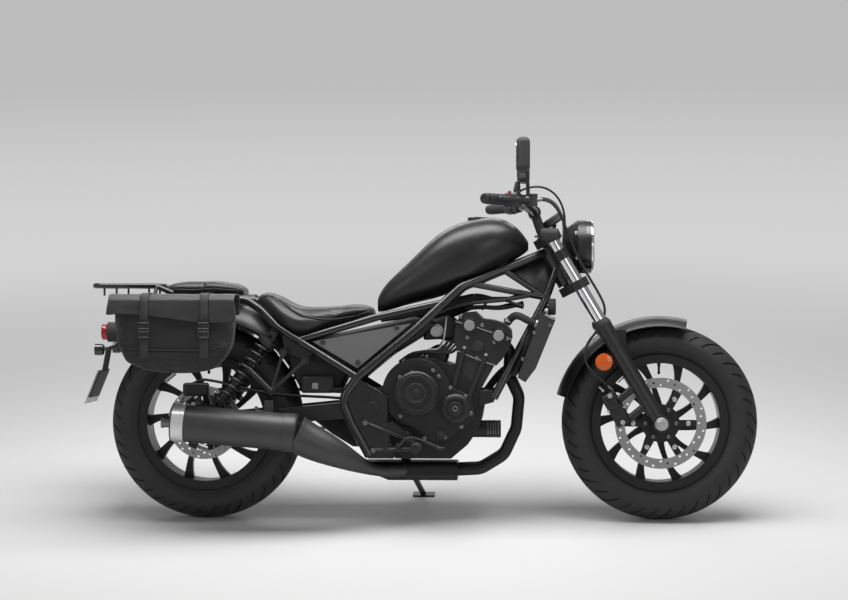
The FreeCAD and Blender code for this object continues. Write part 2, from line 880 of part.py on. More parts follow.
def rim(axle, rim_half_width, disc_plane, disc_inner_radius):
    """Cast wheel: barrel with flanges, hub, ten spokes and the brake disc's arms on the right."""
    flange_y = rim_half_width + rim_flange_width
    barrel = turned(polygon_edges((
        (rim_flange_radius, flange_y), (rim_flange_radius, rim_half_width),
        (rim_seat_radius, rim_half_width), (rim_seat_radius, -rim_half_width),
        (rim_flange_radius, -rim_half_width), (rim_flange_radius, -flange_y),
        (rim_inner_radius, -flange_y), (rim_inner_radius, flange_y),
    )), axle)
    disc_inside = -disc_plane + disc_thickness / 2
    disc_outside = -disc_plane - disc_thickness / 2
    hub = cross_rod(axle.x, axle.z, disc_inside, hub_half_width, hub_radius)
    flange = cross_rod(axle.x, axle.z, disc_outside, disc_inside, disc_carrier_radius)
    arm = block(axle.x, disc_outside, axle.z - disc_arm_width / 2, disc_inner_radius + disc_arm_width / 2,
                disc_thickness, disc_arm_width)
    arms = fused(spun(arm, axle, disc_arm_count))
    arms = arms.common(cross_rod(axle.x, axle.z, disc_outside, disc_inside, disc_inner_radius))
    pieces = [barrel, hub, flange, arms] + spun(spoke(axle), axle, spoke_count)
    bore = cross_rod(axle.x, axle.z, disc_outside - cut_overrun, hub_half_width + cut_overrun,
                     axle_radius + running_gap)
    return fused(pieces).cut(bore)


def disc(axle, radius, inner_radius, plane):
    """Brake disc with drilled rows."""
    start = -plane - disc_thickness / 2
    ring = cross_rod(axle.x, axle.z, start, start + disc_thickness, radius)
    ring = ring.cut(cross_rod(axle.x, axle.z, start - cut_overrun, start + disc_thickness + cut_overrun,
                              inner_radius))
    holes = []
    for index in range(disc_hole_count):
        angle = 2 * math.pi * index / disc_hole_count
        share = disc_hole_row_shares[index % len(disc_hole_row_shares)]
        hole_r = inner_radius + (radius - inner_radius) * share
        x, z = axle.x + hole_r * math.cos(angle), axle.z + hole_r * math.sin(angle)
        holes.append(cross_rod(x, z, start - cut_overrun, start + disc_thickness + cut_overrun, disc_hole_radius))
    return ring.cut(Part.makeCompound(holes))


def rear_sprocket():
    """Chain wheel bolted to the rear hub, with lightening windows."""
    outer = chain_pitch_radius_rear - chain_height / 2 - sprocket_tooth_gap
    start = chain_y - sprocket_thickness / 2
    wheel = cross_rod(rear_axle.x, rear_axle.z, start, start + sprocket_thickness, outer)
    carrier = cross_rod(rear_axle.x, rear_axle.z, hub_half_width, start + cut_overrun, disc_carrier_radius)
    window = cross_rod(rear_axle.x + (outer + disc_carrier_radius) / 2, rear_axle.z, start - cut_overrun,
                       start + sprocket_thickness + cut_overrun,
                       (outer - disc_carrier_radius) / 2 - sprocket_tooth_gap)
    bore = cross_rod(rear_axle.x, rear_axle.z, hub_half_width - cut_overrun, start + 2 * sprocket_thickness,
                     axle_radius + running_gap)
    cuts = spun(window, rear_axle, 2 * sprocket_window_count) + [bore]
    return fused([wheel, carrier]).cut(Part.makeCompound(cuts))


def axle_bar(axle, hub_right, hub_left, fork_inner, half_length):
    """Axle with its nuts and the spacers between hub and legs."""
    pieces = [
        cross_rod(axle.x, axle.z, -half_length, half_length, axle_radius),
        cross_rod(axle.x, axle.z, -fork_inner, -hub_right - running_gap, spacer_radius),
        cross_rod(axle.x, axle.z, hub_left + running_gap, fork_inner, spacer_radius),
    ]
    return fused(pieces)


# Frame

def frame_half():
    """Right-hand tubes of the main frame with the pivot plate, as separate solids."""
    main = tube((main_tube_head, main_tube_tank, main_tube_knee, main_tube_back, main_tube_heel,
                 main_tube_low, main_tube_foot), main_tube_radius, frame_bend_radius)
    down = tube((down_tube_head, down_tube_bend, down_tube_foot), down_tube_radius, frame_bend_radius)
    rear = between(main_tube_tank, main_tube_head, 1 - truss_rear_share)
    top = between(main_tube_tank, main_tube_head, truss_diagonal_share)
    front = between(down_tube_bend, down_tube_head, truss_front_share)
    seat_front = between(main_tube_tank, main_tube_knee, seat_tube_front_share)
    pieces = [
        main,
        down,
        rod(rear, front, truss_tube_radius),
        rod(top, front, truss_tube_radius),
        tube((seat_front, seat_tube_middle, seat_tube_rear), seat_tube_radius, frame_bend_radius),
        pivot_plate(),
        engine_lug(),
    ]
    return pieces


def pivot_plate():
    """Gusset plate that carries the swingarm pivot, with its boss."""
    outline = (
        (pivot_plate_front_x, pivot_plate_top_z),
        (main_tube_back[0], main_tube_back[2]),
        (main_tube_heel[0], main_tube_heel[2]),
        (main_tube_low[0], main_tube_low[2]),
        (main_tube_foot[0], pivot_plate_foot_z),
        (main_tube_foot[0] + pivot_plate_foot_length, pivot_plate_foot_z),
        (pivot_plate_front_x, main_tube_low[2]),
    )
    start = main_tube_low[1] - pivot_plate_thickness / 2
    boss = cross_rod(swing_pivot[0], swing_pivot[2], start - pivot_plate_thickness / 2,
                     -arm_inner_y - arm_thickness - seat_gap, pivot_boss_radius)
    mount = cross_rod(engine_mount_rear[0], engine_mount_rear[1], start - pivot_plate_thickness / 2,
                      -engine_half_width, engine_mount_radius)
    return fused([plate(outline, start, pivot_plate_thickness), boss, mount])


def engine_lug():
    """Plate from the down tube's foot to the side of the crankcase."""
    x, z = down_tube_foot[0], down_tube_foot[2]
    outline = ((x - engine_lug_length, z - engine_lug_height / 2), (x, z - engine_lug_height / 4),
               (x + down_tube_radius, z + engine_lug_height / 2), (x - engine_lug_length, z + engine_lug_height / 2))
    return plate(outline, -engine_half_width - engine_lug_thickness, engine_lug_thickness)


def head_tube():
    """Tube that carries the steering stem, between the two clamps."""
    low = on_head_axis(lower_clamp_level + clamp_thickness / 2 + head_end_gap)
    high = on_head_axis(top_clamp_level - clamp_thickness / 2 - head_end_gap)
    return rod(low, high, head_tube_radius), rod(low - head_axis * cut_overrun, high + head_axis * cut_overrun,
                                                 head_bore_radius)


def cross_tube(point, radius):
    """Tube across the bike between the two sides at a frame point."""
    return cross_rod(point[0], point[2], -abs(point[1]), abs(point[1]), radius)


def frame():
    """Welded main frame."""
    tube_solid, bore = head_tube()
    pieces = [tube_solid] + frame_half() + [mirror(piece) for piece in frame_half()]
    knee = between(main_tube_knee, main_tube_back, cross_tube_shares[0])
    foot = between(main_tube_low, main_tube_foot, cross_tube_shares[1])
    pieces += [cross_tube(knee, down_tube_radius), cross_tube(foot, truss_tube_radius), stand_bracket()]
    return fused(pieces).cut(bore)


def trellis_panels(main_frame):
    """Flat panels that close the frame's triangles under the tank."""
    rear = between(main_tube_tank, main_tube_head, panel_rear_share)
    top = between(main_tube_tank, main_tube_head, panel_top_share)
    front = between(down_tube_bend, down_tube_head, truss_front_share)
    corner = between(down_tube_bend, down_tube_head, panel_front_share)
    inward = (front - rear).cross(top - rear).normalize()
    inward = inward if inward.y > 0 else inward * -1
    corners = [point + inward * panel_inset for point in (rear, top, corner, front, rear)]
    flat = [point - inward * (point - corners[0]).dot(inward) for point in corners]
    panel = Part.Face(Part.makePolygon(flat)).extrude(inward * panel_thickness)
    return both(longest(panel.cut(main_frame)))


def loop_line_z(x):
    """Height of the rear loop's lower run at x."""
    share = (x - main_tube_back[0]) / (loop_tube_mid[0] - main_tube_back[0])
    return main_tube_back[2] + share * (loop_tube_mid[2] - main_tube_back[2])


def rear_subframe(main_frame):
    """Rear loop that carries seat, fender, shocks and carrier."""
    start = between(main_tube_back, main_tube_knee, 0)
    side = tube((start, loop_tube_mid, loop_tube_high, loop_tube_top, loop_tube_tail), loop_tube_radius,
                frame_bend_radius)
    bracket = cross_rod(shock_top[0], shock_top[1], -shock_y + shock_eye_half_width + seat_gap,
                        loop_tube_mid[1] + loop_tube_radius, shock_stud_radius)
    lug = plate(((shock_top[0] - shock_eye_radius, shock_top[1]),
                 (shock_top[0], shock_top[1] - shock_eye_radius),
                 (shock_top[0] + shock_eye_radius, shock_top[1]),
                 (loop_tube_mid[0] + shock_eye_radius, loop_tube_mid[2] + loop_tube_radius / 2),
                 (loop_tube_mid[0] - shock_eye_radius, loop_tube_mid[2])),
                loop_tube_mid[1] - pivot_plate_thickness / 2, pivot_plate_thickness)
    ahead, behind = pillion_ring_front[0] + 2 * pillion_ring_radius, pillion_ring_rear[0] - pillion_ring_radius
    gusset = plate((pillion_ring_rear, pillion_ring_front, (ahead, loop_line_z(ahead)), (behind, loop_line_z(behind))),
                   -pillion_gusset_y, pivot_plate_thickness)
    right = [side, bracket, lug, gusset]
    rear = between(loop_tube_top, loop_tube_tail, cross_tube_shares[1])
    front = between(loop_tube_top, loop_tube_tail, cross_tube_shares[0])
    pieces = right + [mirror(piece) for piece in right]
    pieces += [cross_tube(rear, loop_tube_radius), cross_tube(front, truss_tube_radius)]
    return fused(pieces).cut(main_frame)


def swingarm():
    """Two box-section arms, the pivot tube between them and a cross tube."""
    front_half, rear_half = arm_front_height / 2, arm_rear_height / 2
    outline = (
        (swing_pivot[0] + arm_nose_length, swing_pivot[2]),
        (swing_pivot[0], swing_pivot[2] + front_half),
        (rear_axle.x, rear_axle.z + rear_half),
        (rear_axle.x - arm_rear_overhang, rear_axle.z + rear_half),
        (rear_axle.x - arm_rear_overhang, rear_axle.z - rear_half),
        (rear_axle.x, rear_axle.z - rear_half),
        (swing_pivot[0], swing_pivot[2] - front_half),
    )
    arm = plate(outline, -arm_inner_y - arm_thickness, arm_thickness)
    stud = cross_rod(shock_foot[0], shock_foot[1], -shock_y + shock_eye_half_width + seat_gap,
                     -arm_inner_y, shock_stud_radius)
    lug = plate(((shock_foot[0] - shock_eye_radius, shock_foot[1]),
                 (shock_foot[0], shock_foot[1] + shock_eye_radius),
                 (shock_foot[0] + shock_eye_radius, shock_foot[1]),
                 (shock_foot[0] + 2 * shock_eye_radius, rear_axle.z),
                 (shock_foot[0] - 2 * shock_eye_radius, rear_axle.z)),
                -arm_inner_y - arm_thickness, arm_thickness / 2)
    right = [arm, stud, lug]
    cross = between(swing_pivot, (rear_axle.x, 0, rear_axle.z), swing_cross_share)
    pieces = right + [mirror(piece) for piece in right]
    pieces += [
        cross_rod(swing_pivot[0], swing_pivot[2], -arm_inner_y, arm_inner_y, swing_tube_radius),
        cross_rod(cross.x, cross.z, -arm_inner_y, arm_inner_y, swing_cross_radius),
    ]
    holes = cross_rod(rear_axle.x, rear_axle.z, -arm_inner_y - 2 * arm_thickness, arm_inner_y + 2 * arm_thickness,
                      axle_radius)
    return fused(pieces).cut(holes)


def shock_points():
    """Ends of the right-hand shock absorber and the direction from foot to top."""
    top, foot = V(shock_top[0], -shock_y, shock_top[1]), V(shock_foot[0], -shock_y, shock_foot[1])
    return top, foot, (top - foot).normalize()


def shock_body():
    """Damper with its eyes, spring seats and cover."""
    top, foot, up = shock_points()
    length = (top - foot).Length
    seat = shock_eye_radius + shock_seat_length
    cap = length - shock_eye_radius - shock_cap_length
    barrel = lathe((
        (0, shock_eye_radius / 2), (shock_body_radius, shock_eye_radius), (shock_seat_radius, shock_eye_radius),
        (shock_seat_radius, seat), (shock_body_radius, seat), (shock_body_radius, length / 2),
        (shock_rod_radius, length / 2), (shock_rod_radius, cap), (shock_cap_radius, cap),
        (shock_cap_radius, length - shock_eye_radius), (0, length - shock_eye_radius / 2),
    ), foot, up)
    eyes = [cross_rod(end.x, end.z, end.y - shock_eye_half_width, end.y + shock_eye_half_width, shock_eye_radius)
            for end in (top, foot)]
    holes = [cross_rod(end.x, end.z, end.y - 2 * shock_eye_half_width, end.y + 2 * shock_eye_half_width,
                       shock_stud_radius) for end in (top, foot)]
    return fused([barrel] + eyes).cut(Part.makeCompound(holes))


def shock_spring():
    """Coil spring between the lower seat and the cap, as stacked rings on a slight pitch."""
    top, foot, up = shock_points()
    low = foot + up * (shock_eye_radius + shock_seat_length + spring_wire_radius)
    high = top - up * (shock_eye_radius + shock_cap_length + spring_wire_radius)
    height = (high - low).Length
    helix = Part.makeHelix(height / spring_turns, height, spring_radius)
    start = V(spring_radius, 0, 0)
    profile = Part.Wire([Part.Circle(start, V(0, 1, 0), spring_wire_radius).toShape()])
    coil = Part.Wire(helix).makePipeShell([profile], True, True)
    coil.Placement = FreeCAD.Placement(low, FreeCAD.Rotation(V(0, 0, 1), up))
    return coil


# Bodywork and seats

def fuel_tank(main_frame):
    """Peanut tank, notched over the frame tubes."""
    body = swelled(tank_section_shares, tank_rear_x, tank_base_z, tank_length, tank_half_width, tank_height)
    notches = []
    for side in (-1, 1):
        route = [(x, side * abs(y), z) for x, y, z in (main_tube_head, main_tube_tank, main_tube_knee)]
        notches.append(tube(route, main_tube_radius + seat_gap, frame_bend_radius))
        seat_front = between(main_tube_tank, main_tube_knee, seat_tube_front_share)
        seat_route = [(x, side * abs(y), z) for x, y, z in (seat_front, seat_tube_middle, seat_tube_rear)]
        notches.append(tube(seat_route, seat_tube_radius + seat_gap, frame_bend_radius))
    low = on_head_axis(lower_clamp_level)
    notches.append(rod(low, on_head_axis(top_clamp_level), head_tube_radius + seat_gap))
    notched = body.cut(Part.makeCompound(notches))
    return longest(notched)


def tank_top(x):
    """Height of the tank's centre line at x, read between its sections."""
    share = (x - tank_rear_x) / tank_length
    for left, right in zip(tank_section_shares, tank_section_shares[1:]):
        if left[0] <= share <= right[0]:
            part = (share - left[0]) / (right[0] - left[0])
            return tank_base_z + tank_height * (left[3] + (right[3] - left[3]) * part)
    return tank_base_z + tank_height


def tank_cap(tank):
    """Filler cap on top of the tank."""
    base = tank_top(tank_cap_x) - tank_cap_sink
    cap = Part.makeCylinder(tank_cap_radius, tank_cap_height + tank_cap_sink, V(tank_cap_x, 0, base))
    return cap.cut(tank)


def rider_seat(obstacles):
    """Scooped saddle between tank and pillion pad."""
    body = swelled(seat_section_shares, seat_rear_x, seat_base_z, seat_length, seat_half_width, seat_height)
    cut = body.cut(Part.makeCompound(obstacles))
    return longest(cut)


def pillion_seat():
    """Flat pillion pad on the rear loop."""
    return swelled(pillion_section_shares, pillion_rear_x, pillion_base_z, pillion_length, pillion_half_width,
                   pillion_height)


def fender(axle, radius, half_width, drop, wall, front_deg, tail_deg):
    """Mudguard: an arched section swept round the axle."""
    def arch(crown, half, y_scale=1):
        bow = (half ** 2 + drop ** 2) / (2 * drop)
        angle = math.asin(half / bow) / 2
        mid_r, mid_y = crown - bow + bow * math.cos(angle), bow * math.sin(angle)
        return (crown - drop, half * y_scale), (mid_r, mid_y * y_scale), (crown, 0)

    outer, inner = radius, radius - wall
    inner_half = half_width - wall
    a, b, c = arch(outer, half_width)
    d, e, f = arch(inner, inner_half)

    def at(r, y):
        return V(r, y, 0)

    edges = [
        Part.Arc(at(a[0], -a[1]), at(*c), at(*a)).toShape(),
        Part.LineSegment(at(*a), at(*d)).toShape(),
        Part.Arc(at(*d), at(*f), at(d[0], -d[1])).toShape(),
        Part.LineSegment(at(d[0], -d[1]), at(a[0], -a[1])).toShape(),
    ]
    face = Part.Face(Part.Wire(edges))
    face.rotate(V(0, 0, 0), V(0, 1, 0), -front_deg)
    shell = face.revolve(V(0, 0, 0), V(0, 1, 0), front_deg - tail_deg)
    shell.translate(axle)
    return shell


def rear_fender(obstacles):
    """Mudguard over the rear wheel, under the pillion pad."""
    shell = fender(rear_axle, rear_fender_radius, rear_fender_half_width, rear_fender_drop, rear_fender_wall,
                   rear_fender_front_deg, rear_fender_tail_deg)
    cut = shell.cut(Part.makeCompound(obstacles))
    return longest(cut)


def luggage_carrier(subframe):
    """Tubular rear carrier with a small plate and lashing hooks."""
    route = ((carrier_front_x, -carrier_y, carrier_front_z), (carrier_knee_x, -carrier_y, carrier_z),
             (carrier_rear_x, -carrier_y, carrier_z), (carrier_rear_x, carrier_y, carrier_z),
             (carrier_knee_x, carrier_y, carrier_z), (carrier_front_x, carrier_y, carrier_front_z))
    pieces = [tube(route, carrier_tube_radius, carrier_bend_radius)]
    for share in carrier_bar_shares:
        x = carrier_knee_x + (carrier_rear_x - carrier_knee_x) * share
        pieces.append(cross_rod(x, carrier_z, -carrier_y, carrier_y, carrier_tube_radius / 2))
    top = carrier_z + carrier_tube_radius - carrier_plate_thickness
    pieces.append(block(carrier_knee_x - carrier_plate_length, -carrier_y, top, carrier_plate_length, 2 * carrier_y,
                        carrier_plate_thickness))
    for x in hook_xs:
        for side in (-1, 1):
            hook_end = (x, side * carrier_y, carrier_z - hook_length - carrier_tube_radius)
            pieces.append(rod((x, side * carrier_y, carrier_z), hook_end, hook_radius))
    tail = loop_tube_tail[2] + loop_tube_radius
    for side in (-1, 1):
        pieces.append(rod((carrier_front_x, side * carrier_y, carrier_front_z),
                          (carrier_front_x, side * carrier_y, tail), carrier_tube_radius))
    whole = fused(pieces + bag_stays()).cut(subframe)
    return longest(whole)


def tail_lamp():
    """Round tail lamp housing with its ring."""
    rear = tail_lamp_front_x - tail_lamp_length
    body = rod((tail_lamp_front_x, 0, tail_lamp_z), (rear, 0, tail_lamp_z), tail_lamp_radius)
    body = rounded(body, tail_ring_length, lambda edge: edge.BoundBox.XMin > tail_lamp_front_x - tail_ring_length)
    seat = rod((rear + tail_ring_length, 0, tail_lamp_z), (rear - cut_overrun, 0, tail_lamp_z), tail_lens_radius)
    return body.cut(seat)


def tail_lens():
    """Red lens of the tail lamp."""
    rear = tail_lamp_front_x - tail_lamp_length
    start = rear + tail_ring_length
    lens = rod((start, 0, tail_lamp_z), (start - tail_lens_length - tail_ring_length, 0, tail_lamp_z),
               tail_lens_radius)
    return rounded(lens, tail_ring_length, lambda edge: edge.BoundBox.XMax < rear)


def plate_axes():
    """Top edge point of the number plate and its downward direction."""
    tilt = math.radians(plate_lean_deg)
    return V(plate_top_x, 0, plate_top_z), V(-math.sin(tilt), 0, -math.cos(tilt)), V(-math.cos(tilt), 0, math.sin(tilt))


def slab(corner, edge_a, edge_b, edge_c):
    """Block from a corner and three edge vectors."""
    corners = [corner, corner + edge_a, corner + edge_a + edge_b, corner + edge_b, corner]
    return Part.Face(Part.makePolygon(corners)).extrude(edge_c)


def number_plate():
    """Blank licence plate."""
    top, down, out = plate_axes()
    corner = top + out * (plate_back_thickness / 2) + V(0, -plate_half_width, 0)
    return slab(corner, down * plate_height, V(0, 2 * plate_half_width, 0), out * plate_thickness)


def plate_bracket(rear_mudguard):
    """Arm from the mudguard down to the plate, with its backing plate."""
    top, down, out = plate_axes()
    half = plate_half_width * plate_back_share
    corner = top - out * (plate_back_thickness / 2) + V(0, -half, 0)
    backing = slab(corner + down * plate_thickness, down * (plate_height * plate_back_share), V(0, 2 * half, 0),
                   out * plate_back_thickness)
    anchor = V(tail_lamp_front_x, 0, tail_lamp_z - tail_lamp_radius)
    pieces = [backing]
    for side in (-1, 1):
        y = side * plate_arm_y
        pieces.append(rod((anchor.x, y, anchor.z), (rear_indicator_x, y, rear_indicator_z), plate_arm_thickness))
        pieces.append(rod((rear_indicator_x, y, rear_indicator_z), (top.x, y, top.z - plate_arm_thickness),
                          plate_arm_thickness))
    pieces.append(cross_rod(rear_indicator_x, rear_indicator_z, -rear_indicator_y, rear_indicator_y,
                            indicator_stalk_radius))
    lamps = both(indicator(rear_indicator_x, -rear_indicator_y, rear_indicator_z, -1))
    return fused(pieces).cut(Part.makeCompound([rear_mudguard, number_plate(), tail_lamp()] + lamps))


def indicator(x, y, z, facing, length=indicator_length):
    """Round turn signal, its back rounded and its face forward or rearward."""
    body = rod((x - facing * length / 2, y, z), (x + facing * length / 2, y, z), indicator_radius)
    back = x - facing * length / 2
    return rounded(body, indicator_radius / 2, lambda edge: abs(edge.CenterOfMass.x - back) < seat_gap)


def front_indicator(upper_clamp):
    """Front turn signal on a short stalk from the top clamp's eye."""
    lamp = indicator(front_indicator_x, -front_indicator_y, front_indicator_z, 1, front_indicator_length)
    stalk = cross_rod(front_indicator_x, front_indicator_z, -front_indicator_y, -fork_half_spacing,
                      indicator_stalk_radius)
    return fused([lamp, stalk]).cut(upper_clamp)


def bag_shell(side):
    """Soft pannier: the side outline thickened outwards, edges rounded."""
    outline = spread(bag_outline_shares, bag_front_x - bag_length, bag_base_z, bag_length, bag_height)
    start = bag_inner_y if side > 0 else -bag_inner_y - bag_thickness
    body = plate(outline, start, bag_thickness)
    body = rounded(body, bag_edge_radius, lambda edge: abs(edge.BoundBox.YMax - edge.BoundBox.YMin) < seat_gap)
    return body


def saddlebag(side):
    """One pannier with its two closing straps."""
    shell = bag_shell(side)
    outer = side * (bag_inner_y + bag_thickness)
    straps = []
    for share in bag_strap_shares:
        x = bag_front_x - bag_length + bag_length * share - bag_strap_width / 2
        low_y = min(outer, outer + side * bag_strap_thickness)
        straps.append(block(x, low_y, bag_base_z + bag_height * bag_strap_foot_share, bag_strap_width,
                            bag_strap_thickness, bag_height * bag_strap_length_share))
    return fused([shell] + straps)


def bag_stays():
    """Tubular stays that hold the panniers off the wheel, hung from the carrier."""
    pieces = []
    top = bag_base_z + bag_height
    start = bag_front_x - bag_length
    front, rear = start + bag_length * bag_stay_front_share, start + bag_length * bag_stay_rear_share
    low = bag_base_z + bag_height * bag_stay_low_share
    for side in (-1, 1):
        y = side * bag_stay_y
        inner = side * carrier_y
        route = ((front, inner, loop_tube_tail[2]), (front, y, loop_tube_tail[2] - bag_stay_drop),
                 (front, y, low), (rear, y, low), (rear, y, top - bag_stay_drop), (rear, inner, carrier_z))
        pieces.append(tube(route, bag_stay_radius, carrier_bend_radius))
    return pieces


def side_cover(obstacles):
    """Triangular cover between seat tube and main tube."""
    outline = (
        (seat_tube_rear[0] + 4 * seat_tube_radius, seat_tube_rear[2] - seat_tube_radius / 2),
        (main_tube_knee[0] - seat_tube_radius, main_tube_knee[2] + 2 * seat_tube_radius),
        (main_tube_back[0], main_tube_back[2] + 2 * main_tube_radius),
    )
    cover = plate(outline, -side_cover_y, side_cover_thickness)
    return longest(cover.cut(Part.makeCompound(obstacles)))


def electrics_cover(main_frame):
    """Closed battery and electrics box under the seat, bolted to the right frame loop."""
    body = block(box_cover_rear_x, box_cover_right_y, box_cover_base_z, box_cover_length,
                 box_cover_left_y - box_cover_right_y, box_cover_height)
    level = main_tube_heel[2] + box_cover_height / 2
    lug = rod((box_cover_rear_x + box_cover_length - box_lug_radius, box_cover_right_y + box_lug_radius, level),
              (main_tube_heel[0], main_tube_heel[1], level), box_lug_radius)
    return fused([rounded(body, side_cover_thickness), lug]).cut(main_frame)


# Engine

def crankcase():
    """Crankcase casting with the open sprocket bay at its left rear."""
    outline = spread(crankcase_outline_shares, crankcase_rear_x, crankcase_base_z, crankcase_length,
                     crankcase_height)
    body = plate(outline, -engine_half_width, 2 * engine_half_width)
    bay = block(crankcase_rear_x - cut_overrun, sprocket_bay_y, crankcase_base_z + sprocket_bay_floor,
                sprocket_bay_length, engine_half_width, crankcase_height)
    return body.cut(bay)


def cylinder_up():
    """Upward direction of the cylinders and the forward one square to it."""
    tilt = math.radians(cylinder_tilt_deg)
    return V(math.sin(tilt), 0, math.cos(tilt)), V(math.cos(tilt), 0, -math.sin(tilt))


def cylinder_block(case, head):
    """Twin-cylinder block between the crankcase and the head, with its long bolt tubes."""
    outline = spread(block_outline_shares, block_rear_x, block_base_z, block_length, block_height)
    pieces = [plate(outline, -block_half_width, 2 * block_half_width)]
    for top, foot in zip(bolt_tube_tops, bolt_tube_feet):
        for side in (-1, 1):
            y = side * (block_half_width - bolt_tube_sink)
            pieces.append(rod((foot[0], y, foot[1]), (top[0], y, top[1]), bolt_tube_radius))
    return fused(pieces).cut(Part.makeCompound([case, head]))


def head_point(share):
    """Side-view point of the head from its shares."""
    return head_rear_x + head_length * share[0], head_base_z + head_height * share[1]


def cylinder_head():
    """Cylinder head and its two-humped cam cover, with the bosses of the camshaft ends."""
    outline = spread(head_outline_shares, head_rear_x, head_base_z, head_length, head_height)
    cover = spread(cam_cover_outline_shares, head_rear_x, head_base_z, head_length, head_height)
    pieces = [plate(outline, -head_half_width, 2 * head_half_width),
              plate(cover, -cam_cover_half_width, 2 * cam_cover_half_width)]
    for share in cam_cap_shares:
        x, z = head_point(share)
        reach = cam_cover_half_width + cam_boss_length
        pieces.append(cross_rod(x, z, -reach, reach, cam_boss_radius))
    return fused(pieces)


def cam_caps():
    """Bright round caps at the camshaft ends."""
    start = cam_cover_half_width + cam_boss_length
    caps = []
    for share in cam_cap_shares:
        x, z = head_point(share)
        caps.append(cross_rod(x, z, -start - cam_cap_length, -start, cam_cap_radius))
    return caps


def stepped_cover(centre, radius, y_inner, y_outer):
    """Round engine cover: bevelled shoulder, raised rim, dished face and a hub in the middle."""
    side = math.copysign(1, y_outer)
    height = abs(y_outer - y_inner)
    step = height - cover_step
    dish = height - cover_bevel
    profile = ((0, 0), (radius, 0), (radius, step - cover_bevel), (radius - cover_bevel, step),
               (radius * cover_rim_share, step), (radius * cover_rim_share, height),
               (radius * cover_dish_share, height), (radius * cover_dish_share, dish),
               (radius * cover_hub_share, dish), (radius * cover_hub_share, height), (0, height))
    return lathe(profile, V(centre[0], y_inner, centre[1]), V(0, side, 0))


def right_cover():
    """Clutch and crank covers on the right of the crankcase, on their common base."""
    outline = spread(cover_outline_shares, cover_rear_x, cover_base_z, cover_length, cover_height)
    return fused([
        stepped_cover(clutch_centre, clutch_radius, -engine_half_width, -clutch_y),
        stepped_cover(crank_centre, crank_radius, -engine_half_width, -crank_y),
        plate(outline, -engine_half_width - cover_plate_thickness, cover_plate_thickness),
    ])


def left_cover():
    """Alternator cover on the left of the crankcase."""
    return stepped_cover(crank_centre, alternator_radius, engine_half_width, alternator_y)


def sprocket_cover():
    """Cover over the front sprocket, spaced off the crankcase."""
    outline = spread(sprocket_cover_outline_shares, output_shaft[0], output_shaft[1], sprocket_cover_length,
                     sprocket_cover_height)
    return plate(outline, sprocket_cover_y - cover_step, cover_step)


def oil_filter():
    """Spin-on oil filter at the front of the crankcase."""
    front = crankcase_rear_x + crankcase_length + oil_filter_length
    return rod((front - 2 * oil_filter_length, oil_filter_y, oil_filter_z), (front, oil_filter_y, oil_filter_z),
               oil_filter_radius)


# Cooling, intake and exhaust

def radiator_axes():
    """Upper point of the radiator, its downward direction and its forward face direction."""
    top, foot = V(radiator_top[0], 0, radiator_top[1]), V(radiator_foot[0], 0, radiator_foot[1])
    down = (foot - top).normalize()
    return top, down, V(-down.z, 0, down.x), (foot - top).Length


def radiator():
    """Radiator core, set towards the front of its side panels."""
    top, down, ahead, length = radiator_axes()
    corner = top + ahead * (radiator_setback - radiator_thickness / 2) + V(0, -radiator_half_width, 0)
    return slab(corner, down * (length - radiator_foot_gap), V(0, 2 * radiator_half_width, 0),
                ahead * radiator_thickness)


def radiator_shrouds():
    """Side panels of the radiator, tapering at the foot."""
    outline = spread(shroud_outline_shares, shroud_rear_x, shroud_base_z, shroud_length, shroud_height)
    outer = radiator_half_width + seat_gap + radiator_tank_width
    return both(plate(outline, -outer, radiator_tank_width))


def throttle_bodies(head):
    """Twin throttle bodies behind the head, with the shaft housing across them."""
    up, ahead = cylinder_up()
    pieces = []
    for side in (-1, 1):
        face = V(throttle_face[0], side * throttle_half_spacing, throttle_face[1])
        pieces.append(rod(face - ahead * throttle_length, face + ahead * throttle_radius, throttle_radius))
    shaft = V(throttle_face[0], 0, throttle_face[1]) - ahead * throttle_length
    pieces.append(cross_rod(shaft.x, shaft.z, -throttle_shaft_half_length, throttle_shaft_half_length,
                            throttle_shaft_radius))
    return fused(pieces).cut(head)


def header_points(y, ahead):
    """Route of one header pipe at a side position."""
    return [(x + (ahead if 0 < index < len(header_line) - 1 else 0), y, z)
            for index, (x, z) in enumerate(header_line)]


def headers(case_parts):
    """Two header pipes from the head to the collector."""
    pipes = [tube(header_points(y, 0), header_radius, 3 * header_radius) for y in (header_outer_y, header_inner_y)]
    return [pipe.cut(Part.makeCompound(case_parts)) for pipe in pipes]


def collector():
    """Collector box under the engine."""
    outline = (
        (collector_rear_x, collector_base_z + collector_height * collector_heel_share),
        (collector_rear_x + collector_length * collector_toe_share, collector_base_z),
        (collector_rear_x + collector_length, collector_base_z),
        (collector_rear_x + collector_length, collector_base_z + collector_height),
        (collector_rear_x, collector_base_z + collector_height),
    )
    body = plate(outline, collector_left_y - collector_width, collector_width)
    return rounded(body, collector_edge_radius, along(V(1, 0, 0)))


def muffler_axis():
    """Front and rear points of the muffler's axis and its rearward direction."""
    front = V(muffler_front[0], -muffler_y, muffler_front[1])
    rear = V(muffler_rear[0], -muffler_y, muffler_rear[1])
    return front, rear, (rear - front).normalize()


